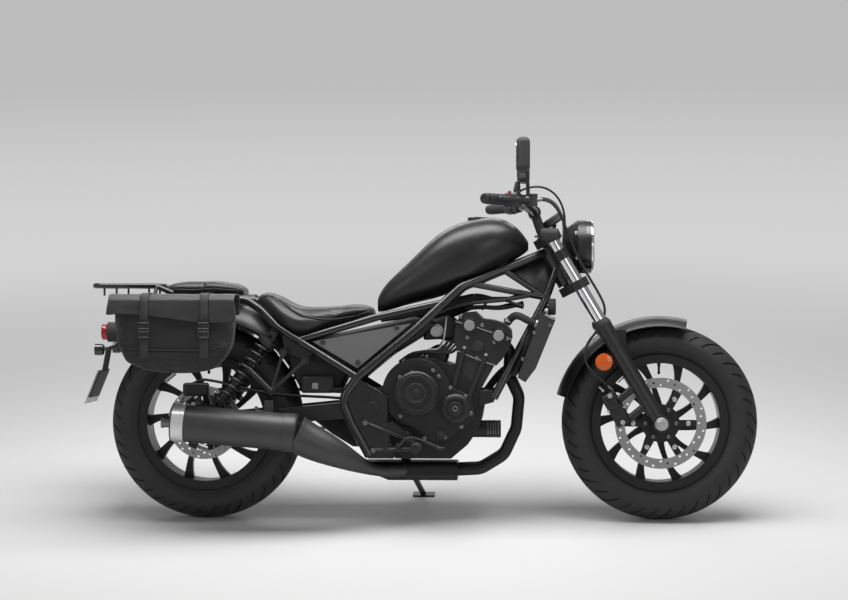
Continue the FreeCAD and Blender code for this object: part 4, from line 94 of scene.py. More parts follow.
@dataclass(frozen=True)
class Value:
    """A number that varies over a surface, held as one output socket."""

    graph: "Graph"
    socket: bpy.types.NodeSocket

    def _math(self, operation: str, first: Any, second: Any = None) -> "Value":
        """Adds one Math node.

        Args:
            operation: The node's operation.
            first: Its first input, a number or a Value.
            second: Its second input, if the operation has one.

        Returns:
            The node's result.
        """
        inputs = {0: first} if second is None else {0: first, 1: second}
        return self.graph.value("ShaderNodeMath", {"operation": operation}, inputs)

    def __add__(self, other: Any) -> "Value":
        """Sum."""
        return self._math("ADD", self, other)

    def __radd__(self, other: Any) -> "Value":
        """Sum, from the right."""
        return self._math("ADD", other, self)

    def __sub__(self, other: Any) -> "Value":
        """Difference."""
        return self._math("SUBTRACT", self, other)

    def __rsub__(self, other: Any) -> "Value":
        """Difference, from the right."""
        return self._math("SUBTRACT", other, self)

    def __mul__(self, other: Any) -> "Value":
        """Product."""
        return self._math("MULTIPLY", self, other)

    def __rmul__(self, other: Any) -> "Value":
        """Product, from the right."""
        return self._math("MULTIPLY", other, self)

    def __truediv__(self, other: Any) -> "Value":
        """Quotient."""
        return self._math("DIVIDE", self, other)

    def sine(self) -> "Value":
        """Sine of the value in radians."""
        return self._math("SINE", self)

    def size(self) -> "Value":
        """The value without its sign."""
        return self._math("ABSOLUTE", self)

    def larger(self, other: Any) -> "Value":
        """The larger of two values."""
        return self._math("MAXIMUM", self, other)

    def step(self, low: float, high: float, out_low: float = 0.0, out_high: float = 1.0) -> "Value":
        """Carries the value smoothly from one range to another.

        Args:
            low: Value at which the result is out_low.
            high: Value at which the result is out_high.
            out_low: Result at and before low.
            out_high: Result at and past high.

        Returns:
            The smooth result, held between its ends.
        """
        return self.graph.value(
            "ShaderNodeMapRange", {"interpolation_type": "SMOOTHSTEP"}, {"Value": self, "From Min": low,
                "From Max": high, "To Min": out_low, "To Max": out_high},)


class Graph:
    """The node tree of one material, built from the outputs back to the coordinates."""

    def __init__(self, tree: bpy.types.NodeTree) -> None:
        """Clears a tree and starts with it.

        Args:
            tree: A material's or the world's node tree.
        """
        self.tree = tree
        self.tree.nodes.clear()

    def node(self, kind: str, settings: dict[str, Any] | None = None,
             inputs: dict[Any, Any] | None = None) -> bpy.types.Node:
        """Adds any node.

        Args:
            kind: The node's type.
            settings: Its properties.
            inputs: Numbers, colours, Values or sockets, by socket name or index.

        Returns:
            The node.
        """
        made = self.tree.nodes.new(kind)
        for name, setting in (settings or {}).items():
            setattr(made, name, setting)
        for name, given in (inputs or {}).items():
            socket = made.inputs[name]
            if isinstance(given, Value):
                self.tree.links.new(given.socket, socket)
            elif isinstance(given, bpy.types.NodeSocket):
                self.tree.links.new(given, socket)
            elif isinstance(given, tuple) and socket.type == "RGBA":
                socket.default_value = (*given, 1.0)
            else:
                socket.default_value = given
        return made

    def value(self, kind: str, settings: dict[str, Any], inputs: dict[Any, Any], output: Any = 0) -> Value:
        """Adds a node and wraps one of its outputs as a Value."""
        return Value(self, self.node(kind, settings, inputs).outputs[output])

    def place(self) -> bpy.types.NodeSocket:
        """Object coordinates, in metres of the row frame."""
        return self.node("ShaderNodeTexCoord").outputs["Object"]

    def axes(self, vector: bpy.types.NodeSocket) -> tuple[Value, Value, Value]:
        """The three parts of a vector."""
        outputs = self.node("ShaderNodeSeparateXYZ", {}, {0: vector}).outputs
        return Value(self, outputs[0]), Value(self, outputs[1]), Value(self, outputs[2])

    def turned(self, vector: bpy.types.NodeSocket, scale: Point = (1, 1, 1), turn: Point = (0, 0, 0),
               shift: Point = (0, 0, 0)) -> bpy.types.NodeSocket:
        """A vector moved, turned and scaled by a Mapping node."""
        inputs = {"Vector": vector, "Location": shift, "Rotation": turn, "Scale": scale}
        return self.node("ShaderNodeMapping", {}, inputs).outputs[0]

    def noise(self, vector: bpy.types.NodeSocket, scale: float, detail: float = 3.0,
              roughness: float = 0.55) -> Value:
        """Fractal noise from 0 to 1, about scale blotches to the metre."""
        inputs = {"Vector": vector, "Scale": scale, "Detail": detail, "Roughness": roughness}
        return self.value("ShaderNodeTexNoise", {"noise_dimensions": "3D"}, inputs)

    def cells(self, vector: bpy.types.NodeSocket, scale: float, feature: str = "F1") -> Value:
        """Distance in a pattern of cells, about scale cells to the metre."""
        inputs = {"Vector": vector, "Scale": scale}
        return self.value("ShaderNodeTexVoronoi", {"feature": feature}, inputs, "Distance")

    def blend(self, factor: Any, first: Any, second: Any, mode: str = "MIX") -> bpy.types.NodeSocket:
        """Mixes two colours.

        Args:
            factor: Share of the second colour.
            first: Colour at 0.
            second: Colour at 1.
            mode: The Mix node's blend type.

        Returns:
            The mixed colour's socket.
        """
        mixed = self.node(
            "ShaderNodeMix", {"data_type": "RGBA", "blend_type": mode}, {0: factor, 6: first, 7: second})
        return mixed.outputs[2]

    def softened(self, radius: float) -> bpy.types.NodeSocket:
        """The surface's normal, turned smoothly over its edges."""
        return self.node("ShaderNodeBevel", {"samples": 4}, {"Radius": radius}).outputs[0]

    def edges(self, normal: bpy.types.NodeSocket) -> Value:
        """How far a softened normal departs from the flat one, near 1 on an edge."""
        flat = self.node("ShaderNodeNewGeometry").outputs["Normal"]
        kept = self.value("ShaderNodeVectorMath", {"operation": "DOT_PRODUCT"}, {0: normal, 1: flat}, "Value")
        return (1.0 - kept).step(0.0, 0.25)

    def raised(self, height: Value, depth: float, strength: float = 1.0,
               normal: bpy.types.NodeSocket | None = None) -> bpy.types.NodeSocket:
        """A normal bent by a height.

        Args:
            height: Relief from 0 to 1.
            depth: How deep that relief is, in metres.
            strength: Share of the relief that shows.
            normal: The normal to start from.

        Returns:
            The new normal's socket.
        """
        inputs: dict[Any, Any] = {"Height": height, "Distance": depth, "Strength": strength}
        if normal is not None:
            inputs["Normal"] = normal
        return self.node("ShaderNodeBump", {}, inputs).outputs[0]

    def surface(self, inputs: dict[str, Any]) -> None:
        """Ends the material in one Principled shader with the given sockets."""
        shader = self.node("ShaderNodeBsdfPrincipled", {}, inputs)
        self.node("ShaderNodeOutputMaterial", {}, {0: shader.outputs[0]})


@dataclass(frozen=True)
class Finish:
    """A surface finish. Each kind draws its own material."""

    name: str
    colour: Colour = grey(0.03)
    roughness: float = 0.4
    slot: str = "satin_black"

    def draw(self, graph: Graph) -> None:
        """Draws the finish into a material's tree."""
        raise NotImplementedError

    def shade(self, share: float) -> Colour:
        """The finish's colour, darker below 1 and lighter above."""
        return tuple(c * share for c in self.colour)

    def material(self) -> bpy.types.Material:
        """The finish's material, made the first time it is asked for."""
        found = bpy.data.materials.get(self.name)
        if found is None:
            found = bpy.data.materials.new(self.name)
            found.use_nodes = True
            found.diffuse_color = (*self.colour, 1.0)
            self.draw(Graph(found.node_tree))
        return found


@dataclass(frozen=True)
class Paint(Finish):
    """Sprayed paint with a faint peel, smudges in its roughness and rubbed edges."""

    coat: float = 0.0
    peel: float = 0.00006
    worn: float = 0.25
    edge: float = 0.0012

    def draw(self, graph: Graph) -> None:
        """Draws colour clouds, the peel and the rubbed edges."""
        place = graph.place()
        soft = graph.softened(self.edge)
        rubbed = graph.edges(soft) * graph.noise(place, 90.0).step(0.45, 0.7) * self.worn
        clouds = graph.noise(place, 9.0, 4.0)
        darker = self.shade(0.82)
        lighter = tuple(min(1.0, c * 1.12 + 0.002) for c in self.colour)
        base = graph.blend(clouds, darker, lighter)
        base = graph.blend(rubbed, base, grey(0.28))
        smudges = graph.noise(place, 34.0, 5.0).step(0.35, 0.75)
        bumped = graph.raised(graph.noise(place, 700.0, 2.0), self.peel, 1.0, soft)
        graph.surface(
            {"Base Color": base, "Roughness": smudges * 0.08 + self.roughness - 0.03, "Coat Weight": self.coat,
                "Coat Roughness": 0.12, "Normal": bumped})


@dataclass(frozen=True)
class CastMetal(Finish):
    """Sand-cast or powder-coated metal: fine grain, a little pitting and brighter edges."""

    metallic: float = 0.5
    grain: float = 0.00012
    grain_scale: float = 900.0
    worn: float = 0.35

    def draw(self, graph: Graph) -> None:
        """Draws the grain, pits, stains and rubbed edges."""
        place = graph.place()
        soft = graph.softened(0.0018)
        rubbed = graph.edges(soft) * graph.noise(place, 60.0).step(0.4, 0.7) * self.worn
        stains = graph.noise(place, 14.0, 5.0)
        base = graph.blend(stains, self.shade(0.75), self.shade(1.2))
        base = graph.blend(rubbed, base, grey(0.42))
        grains = graph.noise(place, self.grain_scale, 3.0) + graph.cells(place, self.grain_scale * 0.6) * 0.6
        graph.surface(
            {"Base Color": base, "Metallic": self.metallic, "Roughness": stains * 0.14 + self.roughness - 0.07,
                "Normal": graph.raised(grains, self.grain, 0.8, soft)})


@dataclass(frozen=True)
class BareMetal(Finish):
    """Bright metal, brushed along one axis or polished, with faint smears."""

    stretch: Point = (1.0, 1.0, 1.0)
    brushed: float = 0.00003
    tint: float = 0.06

    def draw(self, graph: Graph) -> None:
        """Draws the brush lines and the smears."""
        place = graph.place()
        soft = graph.softened(0.0008)
        lines = graph.noise(graph.turned(place, self.stretch), 500.0, 4.0)
        smears = graph.noise(place, 22.0, 5.0).step(0.3, 0.75)
        base = graph.blend(smears, self.colour, self.shade(1.0 - self.tint))
        graph.surface(
            {"Base Color": base, "Metallic": 1.0, "Roughness": smears * 0.07 + lines * 0.08 + self.roughness - 0.06,
                "Normal": graph.raised(lines, self.brushed, 0.7, soft)})


@dataclass(frozen=True)
class Plastic(Finish):
    """Moulded plastic or rubber with a fine spark-eroded grain."""

    grain: float = 0.00008
    grain_scale: float = 1400.0
    dust: float = 0.03

    def draw(self, graph: Graph) -> None:
        """Draws the moulded grain and a light dust."""
        place = graph.place()
        soft = graph.softened(0.001)
        grains = graph.cells(place, self.grain_scale)
        dusty = graph.noise(place, 26.0, 5.0).step(0.4, 0.8)
        base = graph.blend(dusty, self.colour, tuple(min(1.0, c + self.dust) for c in self.colour))
        graph.surface(
            {"Base Color": base, "Roughness": dusty * 0.1 + self.roughness - 0.03,
                "Normal": graph.raised(grains, self.grain, 0.7, soft)})


@dataclass(frozen=True)
class Hide(Finish):
    """Grained vinyl or leather with pores, creases and a worn sheen."""

    grain: float = 0.00035
    grain_scale: float = 420.0

    def draw(self, graph: Graph) -> None:
        """Draws pebbles, creases and the sheen, with painted shade in the hollows between the pebbles."""
        place = graph.place()
        pebbles = graph.cells(place, self.grain_scale, "SMOOTH_F1")
        creases = graph.noise(place, 120.0, 6.0, 0.65)
        tone = graph.noise(place, 12.0, 4.0)
        base = graph.blend(tone, self.shade(0.7), self.shade(1.25))
        # Painted shade: the colour darkens towards each pebble's edge, in the grain's hollows.
        base = graph.blend(pebbles.step(0.3, 0.9) * 0.5, base, self.shade(0.5))
        height = 1.0 - pebbles + creases * 0.7
        graph.surface(
            {"Base Color": base, "Roughness": creases * 0.16 + self.roughness - 0.08, "Sheen Weight": 0.08,
                "Sheen Roughness": 0.4, "Normal": graph.raised(height, self.grain, 0.75)})


@dataclass(frozen=True)
class Weave(Finish):
    """Woven bag cloth: threads over and under, with scuffs."""

    threads: float = 900.0
    depth: float = 0.00025

    def draw(self, graph: Graph) -> None:
        """Draws the weave on object coordinates."""
        place = graph.place()
        along, across, up = graph.axes(place)
        warp = (along * self.threads * 2.0).sine()
        weft = ((up + across) * self.threads * 2.0).sine()
        threads = (warp * weft * 0.5 + 0.5).step(0.1, 0.9)
        tone = graph.noise(place, 10.0, 4.0)
        base = graph.blend(tone, self.shade(0.75), self.shade(1.2))
        base = graph.blend(threads * 0.35, base, self.shade(0.45))
        worn = graph.noise(place, 60.0, 5.0)
        graph.surface(
            {"Base Color": base, "Roughness": worn * 0.12 + self.roughness - 0.06, "Sheen Weight": 0.12,
                "Sheen Roughness": 0.45, "Normal": graph.raised(threads + worn * 0.5, self.depth, 0.8)})


@dataclass(frozen=True)
class Lens(Finish):
    """Clear or coloured lamp plastic with a moulded prism pattern inside."""

    clear: float = 0.85
    prism: float = 260.0
    depth: float = 0.0004

    def draw(self, graph: Graph) -> None:
        """Draws the prisms and the tint."""
        place = graph.place()
        along, across, up = graph.axes(place)
        prisms = ((across * self.prism).sine() * (up * self.prism).sine()).size()
        tone = graph.noise(place, 40.0, 3.0)
        base = graph.blend(tone, self.colour, self.shade(0.8))
        graph.surface(
            {"Base Color": base, "Roughness": tone * 0.04 + self.roughness, "Transmission Weight": self.clear,
                "IOR": 1.46, "Coat Weight": 0.6, "Normal": graph.raised(prisms, self.depth, 0.6)})


class Finishes:
    """Every finish of the motorcycle by its use."""

    frame_paint = Paint("frame_paint", grey(0.008), 0.3, "black_paint", coat=0.5)
    satin_paint = Paint("satin_paint", grey(0.011), 0.4)
    tank_paint = Paint("tank_paint", grey(0.010), 0.36, "tank_black", coat=0.0, peel=0.00003, worn=0.05)
    engine_paint = CastMetal("engine_paint", grey(0.022), 0.42, "black_alloy", metallic=0.25)
    block_paint = CastMetal("block_paint", grey(0.026), 0.5, "black_alloy", metallic=0.2, grain=0.0002)
    crankcase_paint = CastMetal("crankcase_paint", grey(0.009), 0.5, "black_alloy", metallic=0.2, grain=0.0002)
    wheel_paint = CastMetal("wheel_paint", grey(0.010), 0.36, metallic=0.2, grain=0.00005)
    bare_alloy = CastMetal("bare_alloy", grey(0.55), 0.38, "alloy", metallic=1.0, grain=0.00008, worn=0.1)
    cap_alloy = CastMetal("cap_alloy", grey(0.62), 0.34, "alloy", metallic=1.0, grain=0.00004, worn=0.1)
    grey_cover = Paint("grey_cover", grey(0.14), 0.42, "grey_plastic", coat=0.0)
    exhaust_black = CastMetal("exhaust_black", grey(0.055), 0.42, metallic=0.35, grain=0.00005)
    cone_black = CastMetal("cone_black", grey(0.012), 0.4, metallic=0.35, grain=0.00006)
    end_cap = CastMetal("end_cap", grey(0.75), 0.3, "chrome", metallic=0.45, grain=0.00002, worn=0.05)
    chrome = BareMetal("chrome", grey(0.8), 0.1, "chrome", brushed=0.00001)
    steel = BareMetal("steel", grey(0.5), 0.34, "steel")
    dark_steel = BareMetal("dark_steel", grey(0.22), 0.4, "steel")
    disc_steel = BareMetal("disc_steel", grey(0.45), 0.3, "steel", stretch=(1, 1, 1))
    tyre_rubber = Plastic("tyre_rubber", grey(0.016), 0.7, "tyre", grain=0.00012, grain_scale=700.0, dust=0.008)
    rubber = Plastic("rubber", grey(0.014), 0.6, "rubber", grain=0.0001, dust=0.01)
    black_plastic = Plastic("black_plastic", grey(0.012), 0.44, "black_plastic", dust=0.008)
    panel_plastic = Plastic("panel_plastic", grey(0.014), 0.5, "black_plastic", dust=0.006)
    grey_plastic = Plastic("grey_plastic", grey(0.05), 0.45, "grey_plastic")
    shroud_plastic = Plastic("shroud_plastic", grey(0.032), 0.5, "black_plastic", dust=0.004)
    fins = Plastic("radiator_core", grey(0.02), 0.55, "black_alloy")
    vinyl = Hide("seat_vinyl_grain", grey(0.016), 0.42, "seat_vinyl")
    piping = Hide("seat_piping", grey(0.02), 0.38, "seat_vinyl", grain=0.0001)
    canvas = Weave("bag_weave", grey(0.011), 0.72, "bag_canvas")
    flap = Hide("bag_flap_skin", grey(0.022), 0.5, "bag_canvas", grain=0.0002, grain_scale=700.0)
    bag_edge = Hide("bag_edge", grey(0.02), 0.5, "bag_canvas", grain=0.0001)
    webbing = Weave("strap_webbing", grey(0.032), 0.66, "bag_canvas", threads=1100.0, depth=0.0003)
    buckle = Plastic("buckle_plastic", grey(0.014), 0.36, "black_plastic")
    red_lens = Lens("red_lens_plastic", (0.55, 0.01, 0.01), 0.12, "red_lens", clear=0.35)
    orange_lens = Lens("orange_lens_plastic", (0.9, 0.16, 0.01), 0.12, "orange_lens", clear=0.3)
    smoke_lens = Lens("smoke_lens_plastic", grey(0.03), 0.15, "smoke_lens", clear=0.3)
    glass = Lens("lamp_glass_clear", grey(0.97), 0.01, "lamp_glass", clear=0.98, prism=60.0, depth=0.00001)
    plate = Paint("blank_plate_paint", grey(0.6), 0.4, "blank_plate", worn=0.0)
    inner_black = Plastic("inner_black", grey(0.007), 0.6, "black_plastic", dust=0.006)
    gasket = Plastic("gasket_edge", grey(0.30), 0.5, "steel", grain=0.00005)
    bulb = Lens("lamp_unit", grey(0.75), 0.06, "lamp_glass", clear=0.6)
    screen = Plastic("meter_screen", (0.020, 0.028, 0.030), 0.2, "black_plastic", grain=0.00001, dust=0.004)
    mark = Plastic("meter_mark", grey(0.7), 0.6, "grey_plastic", grain=0.00001)
    mirror = BareMetal("mirror_silver", grey(0.86), 0.03, "chrome", brushed=0.0)
    red_plastic = Plastic("red_plastic", (0.45, 0.015, 0.010), 0.4, "red_lens")
    label = Paint("blank_label", grey(0.30), 0.5, "grey_plastic", worn=0.0)


NODE_FINISHES: dict[str, Finish] = {node: finish for finish, nodes in (
    (Finishes.frame_paint, "frame rear_subframe swingarm shock_springs "
     "luggage_carrier side_stand handlebar headlight_ring"),
    (Finishes.satin_paint, "shock_bodies rear_fender rear_caliper foot_pegs fork_sliders front_caliper"),
    (Finishes.tank_paint, "fuel_tank front_fender headlight"),
    (Finishes.vinyl, "rider_seat pillion_seat"),
    (Finishes.black_plastic, "tail_unit horn controls mirrors meter front_indicators"),
    (Finishes.red_lens, "tail_lens"),
    (Finishes.plate, "number_plate"),
    (Finishes.smoke_lens, "rear_indicators"),
    (Finishes.canvas, "saddlebag_right saddlebag_left"),
    (Finishes.crankcase_paint, "crankcase"),
    (Finishes.block_paint, "cylinder_block"),
    (Finishes.engine_paint, "cylinder_head clutch_cover left_covers top_clamp lower_clamp"),
    (Finishes.cap_alloy, "cam_caps"),
    (Finishes.shroud_plastic, "radiator"),
    (Finishes.bare_alloy, "throttle_bodies"),
    (Finishes.panel_plastic, "electrics_cover side_covers"),
    (Finishes.cone_black, "exhaust_pipes"),
    (Finishes.exhaust_black, "muffler"),
    (Finishes.end_cap, "muffler_end"),
    (Finishes.steel, "rear_axle front_axle"),
    (Finishes.dark_steel, "drive_chain rear_sprocket"),
    (Finishes.tyre_rubber, "rear_tyre front_tyre"),
    (Finishes.wheel_paint, "rear_rim front_rim"),
    (Finishes.disc_steel, "rear_disc front_disc"),
    (Finishes.chrome, "fork_tubes"),
    (Finishes.rubber, "grips cables"),
    (Finishes.glass, "headlight_lens"),
    (Finishes.orange_lens, "reflectors"),
) for node in nodes.split()}


# The standing frame of reference


class Stance:
    """The upright axes of the motorcycle in the row frame, where it leans on its stand."""

    def __init__(self, joints: Sequence[dict[str, Any]]) -> None:
        """Reads the wheels' joints.

        Args:
            joints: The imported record's joints.
        """
        found = {joint["name"]: joint for joint in joints}
        front, rear = found["front_wheel_spin"], found["rear_wheel_spin"]
        ahead = Vector((1.0, 0.0, 0.0))
        left = Vector(front["axis"]).normalized()
        up = ahead.cross(left)
        middle = (Vector(front["pos_m"]) + Vector(rear["pos_m"])) / 2
        origin = middle - up * (middle.z / up.z)
        self.matrix = Matrix((ahead, left, up)).transposed().to_4x4()
        self.matrix.translation = origin
        self.front_axle = self.matrix.inverted() @ Vector(front["pos_m"])
        self.rear_axle = self.matrix.inverted() @ Vector(rear["pos_m"])


class Studio:
    """Floor, soft light, backdrop and the camera of the photograph."""

    distance: float = 7.0
    side: float = 0.3081
    height: float = 0.7214
    turn_deg: float = 2.752
    focal_px: float = 2121.1
    image_px: float = 848.0
    far_tone: float = 0.5
    middle_tone: float = 0.66
    near_tone: float = 0.62

    def __init__(self, stance: Stance) -> None:
        """Keeps the stance that the camera looks square at."""
        self.stance = stance

    def camera(self) -> None:
        """Sets the camera where the photograph was taken from."""
        data = bpy.data.cameras.new("camera")
        data.lens = self.focal_px / self.image_px * data.sensor_width
        camera = bpy.data.objects.new("camera", data)
        bpy.context.scene.collection.objects.link(camera)
        turn = math.radians(self.turn_deg)
        right = Vector((math.cos(turn), math.sin(turn), 0.0))
        back = Vector((math.sin(turn), -math.cos(turn), 0.0))
        pose = Matrix((right, Vector((0.0, 0.0, 1.0)), back)).transposed().to_4x4()
        pose.translation = Vector((self.side, -self.distance, self.height))
        camera.matrix_world = self.stance.matrix @ pose
        bpy.context.scene.camera = camera

    def floor(self) -> None:
        """Lays a pale floor that fades to the backdrop's tone far away."""
        bpy.ops.object.select_all(action="DESELECT")
        bpy.ops.mesh.primitive_circle_add(vertices=96, radius=120.0, fill_type="NGON")
        floor = bpy.context.object
        floor.name = "floor"
        material = bpy.data.materials.new("floor_paper")
        material.use_nodes = True
        graph = Graph(material.node_tree)
        place = graph.place()
        distance = graph.value("ShaderNodeVectorMath", {"operation": "LENGTH"}, {0: place}, "Value")
        tone = distance.step(1.0, 6.0)
        fade = graph.blend(distance.step(3.0, 22.0), grey(self.middle_tone), grey(self.far_tone))
        speckle = graph.noise(place, 60.0, 3.0) * 0.02
        near = graph.blend(speckle, grey(self.near_tone), grey(self.near_tone * 0.9))
        paper = graph.node("ShaderNodeBsdfPrincipled", {}, {"Base Color": near, "Roughness": 0.9})
        glow = graph.node("ShaderNodeEmission", {}, {"Color": fade, "Strength": 1.0})
        ray = graph.node("ShaderNodeLightPath").outputs
        seen = Value(graph, ray["Is Camera Ray"]).larger(Value(graph, ray["Is Glossy Ray"]))
        seen = seen.larger(Value(graph, ray["Is Transmission Ray"]))
        mixed = graph.node("ShaderNodeMixShader", {}, {0: tone * seen, 1: paper.outputs[0], 2: glow.outputs[0]})
        graph.node("ShaderNodeOutputMaterial", {}, {0: mixed.outputs[0]})
        floor.data.materials.append(material)

    def world(self) -> None:
        """Gives the world one soft tone for light and the backdrop's tone for what is seen."""
        world = bpy.data.worlds.new("studio")
        bpy.context.scene.world = world
        world.use_nodes = True
        graph = Graph(world.node_tree)
        ray = graph.node("ShaderNodeLightPath").outputs
        seen = Value(graph, ray["Is Camera Ray"]).larger(Value(graph, ray["Is Transmission Ray"]))
        colour = graph.blend(seen, grey(0.24), grey(self.far_tone))
        back = graph.node("ShaderNodeBackground", {}, {"Color": colour, "Strength": 1.0})
        graph.node("ShaderNodeOutputWorld", {}, {0: back.outputs[0]})

    def lamp(self, name: str, place: Point, aim: Point, size: tuple[float, float], power: float) -> None:
        """Hangs one soft rectangular lamp.

        Args:
            name: The lamp's name.
            place: Where it hangs, in the row frame.
            aim: What it points at.
            size: Its width and height.
            power: Its power in watts.
        """
        data = bpy.data.lights.new(name, "AREA")
        data.shape, data.size, data.size_y, data.energy = "RECTANGLE", size[0], size[1], power
        lamp = bpy.data.objects.new(name, data)
        bpy.context.scene.collection.objects.link(lamp)
        lamp.location = place
        lamp.rotation_euler = (Vector(aim) - Vector(place)).to_track_quat("-Z", "Y").to_euler()

    def build(self) -> None:
        """Makes the camera, the floor, the backdrop and the lamps."""
        bpy.context.scene.view_settings.view_transform = "Standard"
        self.camera()
        self.floor()
        self.world()
        self.lamp("overhead", (0.0, -0.2, 2.8), (0.0, 0.0, 0.4), (3.4, 1.4), 125.0)
        self.lamp("front_fill", (2.6, -4.2, 2.2), (0.1, 0.0, 0.6), (2.4, 1.6), 22.0)
        self.lamp("rear_fill", (-3.4, -3.4, 2.0), (0.0, 0.0, 0.6), (2.0, 1.4), 16.0)
        self.lamp("back_rim", (0.0, 4.2, 2.4), (0.0, 0.0, 0.6), (4.0, 1.2), 45.0)


# Modelling with Blender's own tools


class Bench:
    """The bench where new pieces are modelled upright, then finished and hung on their bodies."""

    def __init__(self, stance: Stance, nodes: dict[str, bpy.types.Object]) -> None:
        """Keeps the stance and the frame's nodes.

        Args:
            stance: The upright axes.
            nodes: The frame's objects by node name.
        """
        self.stance = stance
        self.nodes = nodes

    def clear(self) -> None:
        """Leaves edit mode and deselects everything."""
        active = bpy.context.view_layer.objects.active
        if active is not None and active.mode != "OBJECT":
            bpy.ops.object.mode_set(mode="OBJECT")
        bpy.ops.object.select_all(action="DESELECT")

    def take(self, piece: bpy.types.Object) -> None:
        """Makes one piece the only selected and active one."""
        self.clear()
        piece.select_set(True)
        bpy.context.view_layer.objects.active = piece

    def edit(self, piece: bpy.types.Object, kind: str = "FACE") -> None:
        """Opens a piece in edit mode."""
        self.take(piece)
        bpy.ops.object.mode_set(mode="EDIT")
        bpy.ops.mesh.select_mode(type=kind)

    def close(self) -> None:
        """Leaves edit mode."""
        bpy.ops.object.mode_set(mode="OBJECT")

    def everything(self) -> None:
        """Selects the whole mesh in edit mode."""
        bpy.ops.mesh.select_all(action="SELECT")

    def sweep(self, up: float, along: float = 0.0, across: float = 0.0) -> None:
        """Extrudes what is selected by one step."""
        bpy.ops.mesh.extrude_region_move(TRANSFORM_OT_translate={"value": (along, across, up)})

    def outwards(self) -> None:
        """Turns every face outwards and leaves edit mode."""
        self.everything()
        bpy.ops.mesh.normals_make_consistent(inside=False)
        self.close()

    def pick(self, piece: bpy.types.Object, test: Callable[[Vector, Vector], bool]) -> int:
        """Selects the faces whose centre and normal pass a test.

        Args:
            piece: The piece, in edit mode.
            test: Takes a face's centre and normal.

        Returns:
            How many faces are selected.
        """
        bpy.ops.mesh.select_all(action="DESELECT")
        mesh = bmesh.from_edit_mesh(piece.data)
        picked = [face for face in mesh.faces if test(face.calc_center_median(), face.normal)]
        for face in picked:
            face.select_set(True)
        mesh.select_flush_mode()
        bmesh.update_edit_mesh(piece.data)
        return len(picked)

    def shape(self, piece: bpy.types.Object, kind: str, **settings: Any) -> None:
        """Adds a modifier and applies it.

        Args:
            piece: The piece.
            kind: The modifier's type.
            settings: Its properties.
        """
        self.take(piece)
        modifier = piece.modifiers.new(kind.lower(), kind)
        for name, setting in settings.items():
            setattr(modifier, name, setting)
        bpy.ops.object.modifier_apply(modifier=modifier.name)

    def turned(self, profile: Sequence[tuple[float, float]], sides: int = 48) -> bpy.types.Object:
        """Turns a form about Z: a disc that is drawn out and resized from step to step.

        Args:
            profile: Height and radius of each step.
            sides: Faces around.

        Returns:
            The closed form.
        """
        self.clear()
        height, radius = profile[0]
        bpy.ops.mesh.primitive_circle_add(
            vertices=sides, radius=radius, fill_type="NGON", location=(0.0, 0.0, height))
        piece = bpy.context.object
        bpy.ops.object.transform_apply(location=True, rotation=False, scale=False)
        self.edit(piece)
        self.everything()
        for next_height, next_radius in profile[1:]:
            self.sweep(next_height - height)
            share = next_radius / radius
            bpy.ops.transform.resize(value=(share, share, 1.0), center_override=(0.0, 0.0, next_height))
            height, radius = next_height, next_radius
        self.outwards()
        return piece

    def drawn(self, points: Sequence[Point], radius: float, smooth: bool = True, closed: bool = False,
              sides: int = 3, steps: int = 8) -> bpy.types.Object:
        """Draws a round bar, cable or bead along points.

        Args:
            points: The route, upright.
            radius: Half its thickness.
            smooth: Whether it curves past its points or runs straight from one to the next.
            closed: Whether it comes back to its start.
            sides: Bevel resolution around.
            steps: Steps from point to point.

        Returns:
            The bar as a mesh.
        """
        curve = bpy.data.curves.new("route", "CURVE")
        curve.dimensions, curve.bevel_depth, curve.bevel_resolution = "3D", radius, sides
        curve.resolution_u, curve.use_fill_caps = steps, not closed
        spline = curve.splines.new("NURBS" if smooth else "POLY")
        spline.points.add(len(points) - 1)
        for point, place in zip(spline.points, points):
            point.co = (*place, 1.0)
        spline.use_cyclic_u = closed
        if smooth:
            spline.order_u, spline.use_endpoint_u = 3, not closed
        return self.meshed(curve)

    def meshed(self, curve: bpy.types.Curve) -> bpy.types.Object:
        """Turns a curve into a mesh piece."""
        piece = bpy.data.objects.new("drawn", curve)
        bpy.context.scene.collection.objects.link(piece)
        self.take(piece)
        bpy.ops.object.convert(target="MESH")
        return bpy.context.object

    def plate(self, outline: Sequence[tuple[float, float]], thickness: float, bevel: float = 0.0,
              place: Matrix | None = None) -> bpy.types.Object:
        """Cuts a flat plate with rounded edges.

        Args:
            outline: Its corners in its own plane.
            thickness: Its full thickness, along its own Z.
            bevel: Radius of its edges.
            place: Where it goes.

        Returns:
            The plate.
        """
        self.clear()
        bpy.ops.mesh.primitive_circle_add(vertices=len(outline), radius=0.01, fill_type="NGON")
        piece = bpy.context.object
        for vertex, (along, up) in zip(piece.data.vertices, outline):
            vertex.co = (along, up, -thickness / 2)
        self.edit(piece)
        self.everything()
        self.sweep(thickness)
        self.outwards()
        if bevel:
            self.shape(piece, "BEVEL", width=bevel, segments=3, limit_method="ANGLE", angle_limit=0.6)
        if place is not None:
            piece.matrix_world = place
        return piece

    def cap_screw(self, radius: float, height: float) -> bpy.types.Object:
        """A cap screw's head with its socket, standing on Z = 0."""
        self.clear()
        bpy.ops.mesh.primitive_cylinder_add(vertices=18, radius=radius, depth=height, location=(0, 0, height / 2))
        piece = bpy.context.object
        bpy.ops.object.transform_apply()
        self.edit(piece)
        self.pick(piece, lambda centre, normal: normal.z > 0.9)
        bpy.ops.mesh.inset(thickness=radius * 0.42)
        self.sweep(-height * 0.6)
        self.close()
        self.shape(piece, "BEVEL", width=radius * 0.14, segments=2, limit_method="ANGLE")
        return piece

